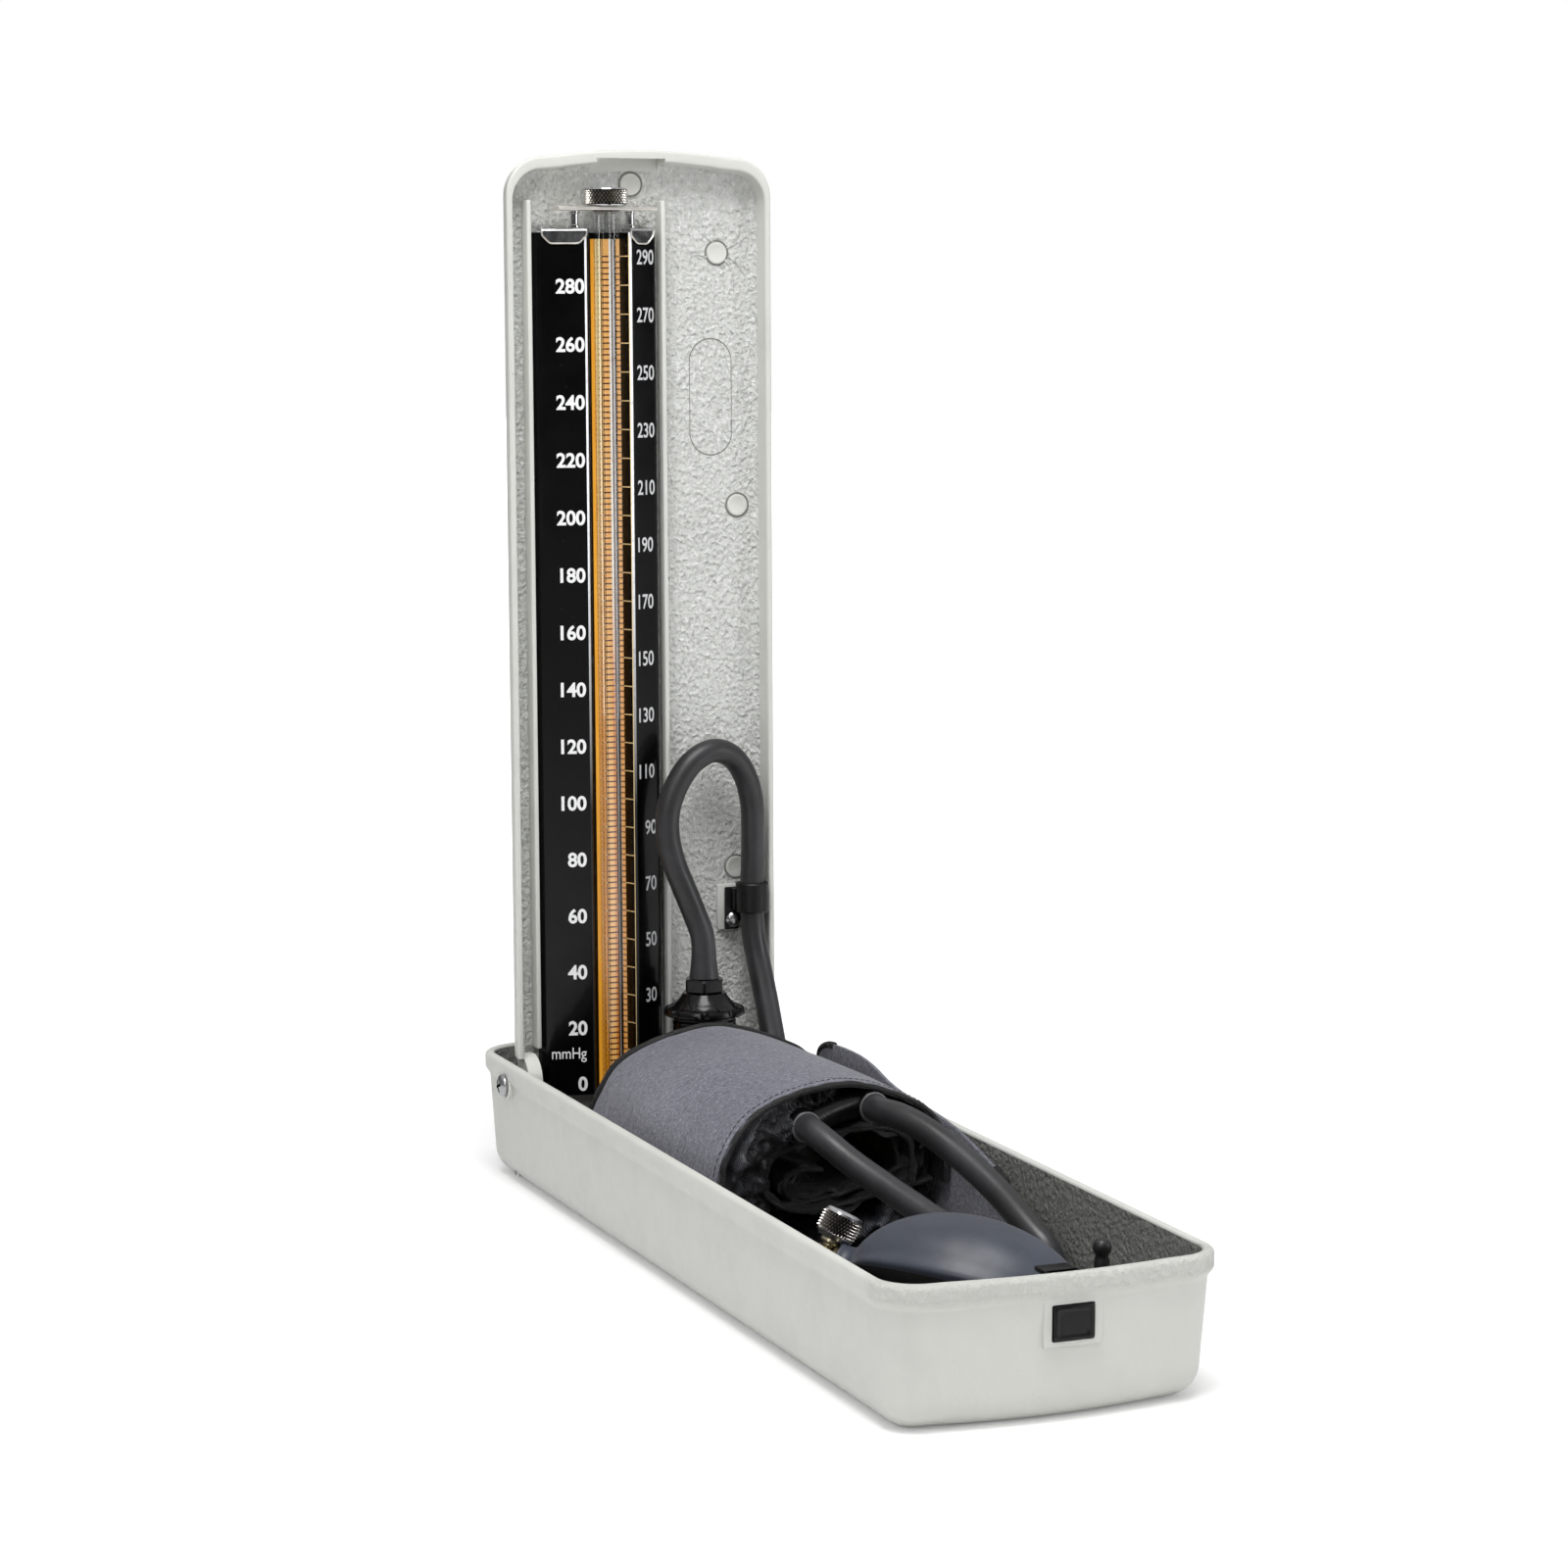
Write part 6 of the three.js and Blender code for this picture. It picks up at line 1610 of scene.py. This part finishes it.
def makeBladder(t):
    bm = bmesh.new()
    first, last, steps, columns = 0.045, 0.955, 150, 44
    rows = []
    for i in range(steps + 1):
        turns = first + (last - first) * i / steps
        side = min(i, steps - i) / steps
        mid = rollPoint(turns, t["bladderDepth"] - 1.8 + t["bladder"] / 2)
        normal = (mid - rollMiddle).normalized()
        near = nearFace(mid.x) + t["portSet"] - 0.4
        back = t["back"] - 5
        outer, inner = [], []
        for j in range(columns + 1):
            s = j / columns
            y = near + (back - near) * s
            end = min(s, 1 - s) * (back - near)
            puff = (1 - math.exp(-end / 5.2)) * (1 - math.exp(-side * 60))
            crease = 2.8 * noise.noise(Vector((turns * 34, end * 0.06, 1.7))) * math.exp(-end / 15)
            crease += 1.7 * noise.noise(Vector((turns * 80, end * 0.12, 5.7))) * math.exp(-end / 8)
            half = t["bladder"] / 2 * (0.16 + 0.84 * puff)
            out = outwards(normal)
            sway = 1.5 * noise.noise(Vector((turns * 26, 0.5, 8))) * math.exp(-end / 6)
            at = sunk(Vector((mid.x, y + sway, mid.y)))
            outer.append(bm.verts.new(at + out * (half + min(crease, 1.4 - puff))))
            inner.append(bm.verts.new(at - out * max(half - crease * 1.5, 0.3)))
        rows.append((outer, inner))
    sheetInto(bm, rows)
    piece = trayPiece("cuffBladder", bm, [twillNylon], None, 80)
    return [piece]


# sleeve cloth bunched across part of the near end, between two angles and two shares of the radius
def bunchInto(bm, start, stop, low, high, bulge, depth, slot):
    rows = []
    steps, columns = 46, 26
    for i in range(steps + 1):
        angle = math.radians(start + (stop - start) * i / steps)
        reach = sectionReach(math.atan2(math.sin(angle), math.cos(angle)))
        front, rear = [], []
        for j in range(columns + 1):
            share = low + (high - low) * j / columns
            x, z = reach * share * math.cos(angle), rollMiddle.y + reach * share * math.sin(angle)
            edge = min(1, min(j, columns - j) / 6, min(i, steps - i) / 6)
            fold = noise.noise(Vector((i * 0.17, j * 0.09, start * 0.1)))
            fold += 0.5 * noise.noise(Vector((i * 0.34, j * 0.3, start * 0.1 + 5)))
            y = nearFace(x) + depth - edge * (bulge * (0.45 + 0.95 * fold))
            front.append(bm.verts.new(Vector((x, y, z))))
            rear.append(bm.verts.new(Vector((x, y + 1.0, z))))
        rows.append((front, rear))
    sheetInto(bm, rows, lambda i: (slot, slot))


def makeFolds(t):
    lobe, _ = smoothPath([(x, z, 0) for x, z in t["lobe"]], 1.1)

    def lobeFront(i):
        return nearFace(lobe[i].x) + 8 + 1.2 * noise.noise(Vector((lobe[i].x * 0.2, lobe[i].y * 0.2, 2)))

    bm = bmesh.new()
    for bunch in t["bunches"]:
        bunchInto(bm, *bunch)
    bandInto(bm, lobe, lobeFront, t["back"] - 12, 1.5, 30, (0, 0), 1.1, 4.4, crumple=5)
    piece = trayPiece("cuffLining", bm, [liningNylon, twillNylon], None, 60)
    made = [piece]

    hem = []
    for i, p in enumerate(lobe):
        y = lobeFront(i) + 0.4
        wave = clothWave(p.x, y, p.y, 1.1, 4.4)
        hem.append(sunk(Vector((p.x, y, p.y))) + outwards(lineNormal(lobe, i)) * (wave - 0.75))
    bm = bmesh.new()
    sweepInto(bm, hem, 1.25, 12, flat=0.8, first=(0, 1, 0))
    made.append(trayPiece("cuffHem", bm, [bindingTape], None, 60))

    # moulded rubber between the two ports
    bm = bmesh.new()
    ridge, _ = smoothPath([(x, nearFace(x) + 5.4, z) for x, z in t["ridge"]], 0.9)
    sweepInto(bm, ridge, lambda s: 4.4 * (1 - abs(2 * s - 1) ** 6) ** 0.5 + 0.25, 26)
    for x, z in t["ports"].values():
        at = Matrix.Translation((x, nearFace(x) + 6, z)) @ Matrix.Rotation(math.pi / 2, 4, "X")
        turnInto(bm, [(0, 0), (5.6, 0), (5.5, 3), (5.1, 6), (4.9, 6.8), (4.4, 7.0), (0, 7.0)], 36, at)
    made.append(trayPiece("portMoulding", bm, [rubberSheet], None, 60))
    for name, (x, z) in t["ports"].items():
        bm = bmesh.new()
        at = Matrix.Translation((x, nearFace(x) - 1.1, z)) @ Matrix.Rotation(math.pi / 2, 4, "X")
        turnInto(bm, ellipse(4.5, 0.42, 0.42, 14), 48, at, closed=True)
        node = "port_ring_left" if name == "bulb" else "port_ring_right"
        made.append(trayPiece("portRing" + name.title(), bm, [portRingPaintedHighlight], node, 60))
    return made


tail = {"wall": 46.9, "low": -20,
        "edge": ((-43.6, 10.5), (-46, 14), (-52, 16.8), (-61, 18), (-79, 18.2), (-91, 16.6), (-102, 14),
                 (-118, 11.8), (-138, 10.4), (-152, 8.8), (-165, 6.2), (-178, 2.8), (-188, -0.8),
                 (-192.4, -5), (-194, -12))}


def makeTail(t):
    def lean(y, z):
        x = t["wall"] - 1.4 * ease(z, 2, 19) ** 1.5 - 0.5 * ease(-z, 6, 20)
        return x + 0.45 * noise.noise(Vector((y * 0.04, z * 0.06, 4)))

    edge, _ = smoothPath([(y, z, 0) for y, z in t["edge"]], 1.6)
    bm = bmesh.new()
    rows = []
    columns = 22
    for p in edge:
        outer, inner = [], []
        for j in range(columns + 1):
            z = p.y + (t["low"] - p.y) * j / columns
            x = lean(p.x, z)
            thick = 0.85 - 0.3 * max(0, 1 - j / 1.2)
            outer.append(bm.verts.new(Vector((x + thick, p.x, z))))
            inner.append(bm.verts.new(Vector((x - thick, p.x, z))))
        rows.append((outer, inner))
    sheetInto(bm, rows, turned=True)
    piece = trayPiece("cuffTail", bm, [tailCloth], None, 60)
    bm = bmesh.new()
    route = [Vector((lean(p.x, p.y), p.x, p.y - 0.3)) for p in edge]
    sweepInto(bm, route[:12], 1.25, 12, flat=0.9)
    sweepInto(bm, route[-14:], 1.25, 12, flat=0.9)
    tape = trayPiece("tailBinding", bm, [bindingTape], None, 60)
    return [piece, tape]


# light grey rubber for the port rings: a painted highlight on the lips of the hoses
portRingPaintedHighlight = rubberPaint("portGreyPaintedHighlight", (74, 75, 78), (120, 120, 123), 0.34)
softPieces = makeCuff(cuff) + makeBladder(cuff) + makeFolds(cuff) + makeTail(tail)
print("cuff rolled")

# bulb with its inlet, valve and knurled knob
bulb = {"half": 36, "radius": 22.6, "neck": 6.3, "neckLong": 9.5, "inletProud": 1.8, "end": (19.65, -300.5),
        "valve": (-38, -5), "ball": 5.4, "knobLean": 0.506, "knobLow": 7.2, "knobRadius": 6,
        "knobHigh": 8.6,
        "outlet": (-0.2, 0.97, -0.14), "outletLong": 12, "crease": (62, 6.5),
        "stem": [(0, 0), (2.2, 0), (2.2, 4.6), (1.9, 5.0), (1.9, 5.4), (3.0, 5.7), (3.3, 6.2), (3.3, 6.9),
                 (2.9, 7.3), (0, 7.3)]}


def bulbFrame(t):
    span = 2 * t["half"] + t["inletProud"] + t["neckLong"]
    share = (t["half"] + t["inletProud"]) / span
    middleZ = cuff["floor"] + t["radius"]
    endX, endY = t["end"]
    valveX, valveZ = t["valve"]
    endZ = (middleZ - share * valveZ) / (1 - share)
    reach = math.sqrt(span ** 2 - (valveX - endX) ** 2 - (valveZ - endZ) ** 2)
    end, valve = Vector((endX, endY, endZ)), Vector((valveX, endY + reach, valveZ))
    return end.lerp(valve, share), valve


bulbMiddle, valveMiddle = bulbFrame(bulb)
bulbAim = (valveMiddle - bulbMiddle).normalized()
valveAlong = (valveMiddle - bulbMiddle).length


def makeBulb(t):
    up = (Vector((0, 0, 1)) - bulbAim * bulbAim.z).normalized()
    side = bulbAim.cross(up)
    if side.y > 0:
        side = -side
    place = Matrix((side, up, bulbAim)).transposed().to_4x4()
    place.translation = bulbMiddle
    if place.determinant() < 0:
        place = place @ Matrix.Diagonal((-1, 1, 1, 1))
    ridge, deep = t["crease"]
    toCamera = 1 if (place.to_3x3() @ Vector((1, 0, 0))).y < 0 else -1

    def wave(angle, radius, height):
        fromTop = math.degrees(math.atan2(toCamera * math.cos(angle), math.sin(angle)))
        fold = ease(fromTop, ridge, ridge + 14) * (1 - ease(fromTop, 118, 165)) if fromTop > 0 else 0
        lip = math.exp(-((fromTop - ridge + 2) / 6) ** 2) if fromTop > 0 else 0
        along = ease(height, -26, -8) * (1 - ease(height, 27, 35))
        soft = 0.18 * noise.noise(Vector((math.cos(angle) * 1.3, math.sin(angle) * 1.3, height * 0.05)))
        return (-deep * fold + 0.9 * lip) * along + soft * min(1, radius / 14)

    def egg(half, radius, start, stop, steps):
        return [(radius * math.cos(a), half * math.sin(a)) for a in
                (math.radians(start + (stop - start) * k / steps) for k in range(steps + 1))]

    half, r = t["half"], t["radius"]
    neckAngle = math.degrees(math.acos(t["neck"] / r))
    inletAngle = math.degrees(math.acos(4.6 / r))
    neckEnd = valveAlong - t["ball"] - 0.6
    profile = [(0, 6 - half), (3.2, 5 - half), (3.4, 1 - half * math.sin(math.radians(inletAngle)))]
    profile += egg(half, r, -inletAngle, neckAngle - 4, 60)
    top = half * math.sin(math.radians(neckAngle))
    neck = t["neck"]
    profile += [(neck + 0.2, top + 0.3), (neck - 0.3, top + 1.4), (neck - 0.2, neckEnd - 1.2),
                (neck + 0.35, neckEnd - 0.8), (neck + 0.3, neckEnd - 0.2), (neck - 0.4, neckEnd),
                (3.4, neckEnd), (3.2, neckEnd - 4), (0, neckEnd - 4.4)]
    bm = bmesh.new()
    turnInto(bm, profile, 160, place, wave=wave)
    toLocal = place.inverted()
    # faces below the crease, on the side towards the camera, take the painted shade
    for face in bm.faces:
        at = toLocal @ face.calc_center_median()
        fromTop = math.degrees(math.atan2(toCamera * at.x, at.y))
        if ridge + 3 < fromTop < 150 and -14 < at.z < 33:
            face.material_index = 1
    made = [trayPiece("bulb", bm, [bulbRubber, bulbPaintedShade], "bulb", 60)]

    at = onAxis(bulbMiddle, bulbAim)
    end = -half - t["inletProud"]
    bm = bmesh.new()
    inlet = [(1, 0.3), (1.3, 0), (3.6, 0), (4.4, 0.5), (4.4, 1.1), (4.0, 1.7), (3.0, 2.2), (3.0, 8), (1, 8)]
    turnInto(bm, [(reach, end + along) for reach, along in inlet], 48, at, closed=True)
    made.append(trayPiece("bulbInlet", bm, [brass], "bulb_inlet"))

    bm = bmesh.new()
    socket = [(0, -3), (2.8, -3), (2.8, 0.2), (5.0, 0.3), (5.3, 0.7), (5.0, 1.9), (4.2, 2.2)]
    rim = [(4.2, valveAlong), (0, valveAlong)]
    turnInto(bm, [(reach, neckEnd + along) for reach, along in socket] + rim, 48, at)
    turnInto(bm, egg(t["ball"], t["ball"], -90, 90, 24), 48, Matrix.Translation(valveMiddle))
    knobAxis = Vector((math.sin(t["knobLean"]), 0, math.cos(t["knobLean"])))
    turnInto(bm, t["stem"], 48, onAxis(valveMiddle, knobAxis))
    barbs = [(0, 0), (3.4, 0), (3.4, 4)]
    for k in range(3):
        barbs += [(2.9, 4.4 + 2.4 * k), (2.4, 6.6 + 2.4 * k)]
    barbs += [(0, t["outletLong"] - 0.1)]
    turnInto(bm, barbs, 40, onAxis(valveMiddle, Vector(t["outlet"])))
    valve = trayPiece("valveBody", bm, [brass], "valve_body", 30)

    low, r, high = t["knobLow"], t["knobRadius"], t["knobHigh"]
    core = r - 0.65
    bm = bmesh.new()
    end = low + high
    foot = [(0, low - 5), (1.6, low - 5), (1.6, low), (4.6, low), (4.9, low + 0.5), (r - 0.5, low + 1.0),
            (r - 0.15, low + 1.4), (core, low + 1.75)]
    head = [(core, end - 1.5), (r - 0.1, end - 1.2), (r - 0.15, end - 0.6), (r - 0.8, end - 0.05),
            (r - 1.6, end), (r - 1.9, end - 0.3), (0, end - 0.3)]
    turnInto(bm, foot + head, 96, onAxis(valveMiddle, knobAxis))
    # the knob's core between its teeth takes the painted shade
    for face in bm.faces:
        at = face.calc_center_median() - valveMiddle
        along = at.dot(knobAxis)
        if (at - knobAxis * along).length > core - 0.1 and low + 1.8 < along < end - 1.6:
            face.material_index = 1
    piece = newPiece("valveKnob", bm, trayPlace, [chrome, paintedGrooveShade])
    bm = bmesh.new()
    turn = onAxis(valveMiddle, knobAxis) @ Matrix.Rotation(0.5, 4, "Z")
    boxInto(bm, (-0.6, -9, end - 1.3), (0.6, 9, end + 1), 0.0, turn)
    carve(piece, newPiece("knobSlot", bm, trayPlace, [chrome]))
    at = trayPlace @ onAxis(valveMiddle, knobAxis) @ Matrix.Translation((0, 0, low + 1.2))
    grip = knurl.grow("knobKnurl", at, Columns=34, Rows=6, Radius=core, Height=high - 2.3, Depth=0.8,
                      Material=knurlChrome)
    merge(piece, grip)
    piece.data.set_sharp_from_angle(angle=math.radians(25))
    attach(piece, "valve_knob_body", "valve_knob")
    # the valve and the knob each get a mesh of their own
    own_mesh(valve)
    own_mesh(piece)
    return made


bulbPieces = makeBulb(bulb)
print("bulb and valve built")

# hidden pieces keep their modelled shape
for node, finish in (("tube_bottom_seal", bumperRubber), ("tube_top_seal", bumperRubber),
                     ("tube_foot", wellBlack), ("mercury_pool", mercury), ("filter_disc", brass),
                     ("reservoir_gasket", bumperRubber)):
    mesh = bpy.data.objects[node].data
    mesh.materials.clear()
    mesh.materials.append(finish)

# the cuff, the tray hoses and the bulb pieces each get a mesh of their own
for piece in softPieces + bulbPieces + [trayHose, bulbHose]:
    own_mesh(piece)


# studio
def makeWorld(strength=0.62):
    world = bpy.data.worlds.new("studio")
    bpy.context.scene.world = world
    world.use_nodes = True
    tree = world.node_tree
    tree.nodes.clear()
    coords = addNode(tree, "ShaderNodeTexCoord").outputs["Generated"]
    height = addNode(tree, "ShaderNodeSeparateXYZ", n0=coords).outputs["Z"]
    spread = addNode(tree, "ShaderNodeMapRange", Value=height, From_Min=-1)
    ramp = addNode(tree, "ShaderNodeValToRGB", Fac=spread)
    ramp.color_ramp.elements[0].color = (0.4, 0.4, 0.4, 1)
    ramp.color_ramp.elements[1].color = (1.0, 1.0, 1.0, 1)
    for place, shade in ((0.49, 0.4), (0.5, 0.05), (0.57, 0.1), (0.68, 0.5), (0.8, 1.0)):
        ramp.color_ramp.elements.new(place).color = (shade, shade, shade * 1.01, 1)
    soft = addNode(tree, "ShaderNodeBackground", Color=ramp, Strength=strength)
    white = addNode(tree, "ShaderNodeBackground", Color=(1, 1, 1, 1))
    seen = addNode(tree, "ShaderNodeLightPath").outputs["Is Camera Ray"]
    mix = addNode(tree, "ShaderNodeMixShader", Fac=seen, n1=soft, n2=white)
    addNode(tree, "ShaderNodeOutputWorld", Surface=mix)


def makeFloor(grey=0.86):
    bm = bmesh.new()
    bmesh.ops.create_grid(bm, x_segments=1, y_segments=1, size=6)
    mesh = bpy.data.meshes.new("floor")
    bm.to_mesh(mesh)
    floor = placed("floor", mesh)
    material, tree = newMaterial("paper")
    shader = tree.nodes["Principled BSDF"]
    shader.inputs["Base Color"].default_value = (grey, grey, grey, 1)
    shader.inputs["Roughness"].default_value = 0.9
    shader.inputs["Specular IOR Level"].default_value = 0.1
    coords = addNode(tree, "ShaderNodeTexCoord").outputs["Object"]
    away = addNode(tree, "ShaderNodeVectorMath", {"operation": "LENGTH"}, n0=coords).outputs["Value"]
    spread = addNode(tree, "ShaderNodeMapRange", Value=away, From_Min=0.2, From_Max=0.8, To_Min=0.2,
                     To_Max=1.0)
    seen = addNode(tree, "ShaderNodeLightPath").outputs["Is Camera Ray"]
    scale = addNode(tree, "ShaderNodeMath", {"operation": "MULTIPLY"}, n0=seen, n1=spread)
    glow = addNode(tree, "ShaderNodeEmission", Strength=scale)
    both = addNode(tree, "ShaderNodeAddShader", n0=shader, n1=glow)
    tree.links.new(both.outputs[0], tree.nodes["Material Output"].inputs["Surface"])
    mesh.materials.append(material)


def makeLamp(name, place, aim, size, power):
    data = bpy.data.lights.new(name, "AREA")
    data.shape = "RECTANGLE"
    data.size, data.size_y = size
    data.energy = power
    turn = (Vector(aim) - Vector(place)).to_track_quat("-Z", "Y")
    placed(name, data).matrix_world = Matrix.Translation(place) @ turn.to_matrix().to_4x4()


makeWorld()
makeFloor()
makeLamp("overhead", (-0.2, -0.36, 1.22), (0, 0.02, 0.12), (0.6, 0.6), 11.5)
makeLamp("frontLeft", (-1.05, -0.95, 0.85), (0, 0, 0.15), (0.35, 0.5), 3.5)
makeLamp("frontRight", (1.0, -0.75, 0.34), (0, 0.05, 0.2), (0.35, 0.6), 3.0)
print("studio lit")
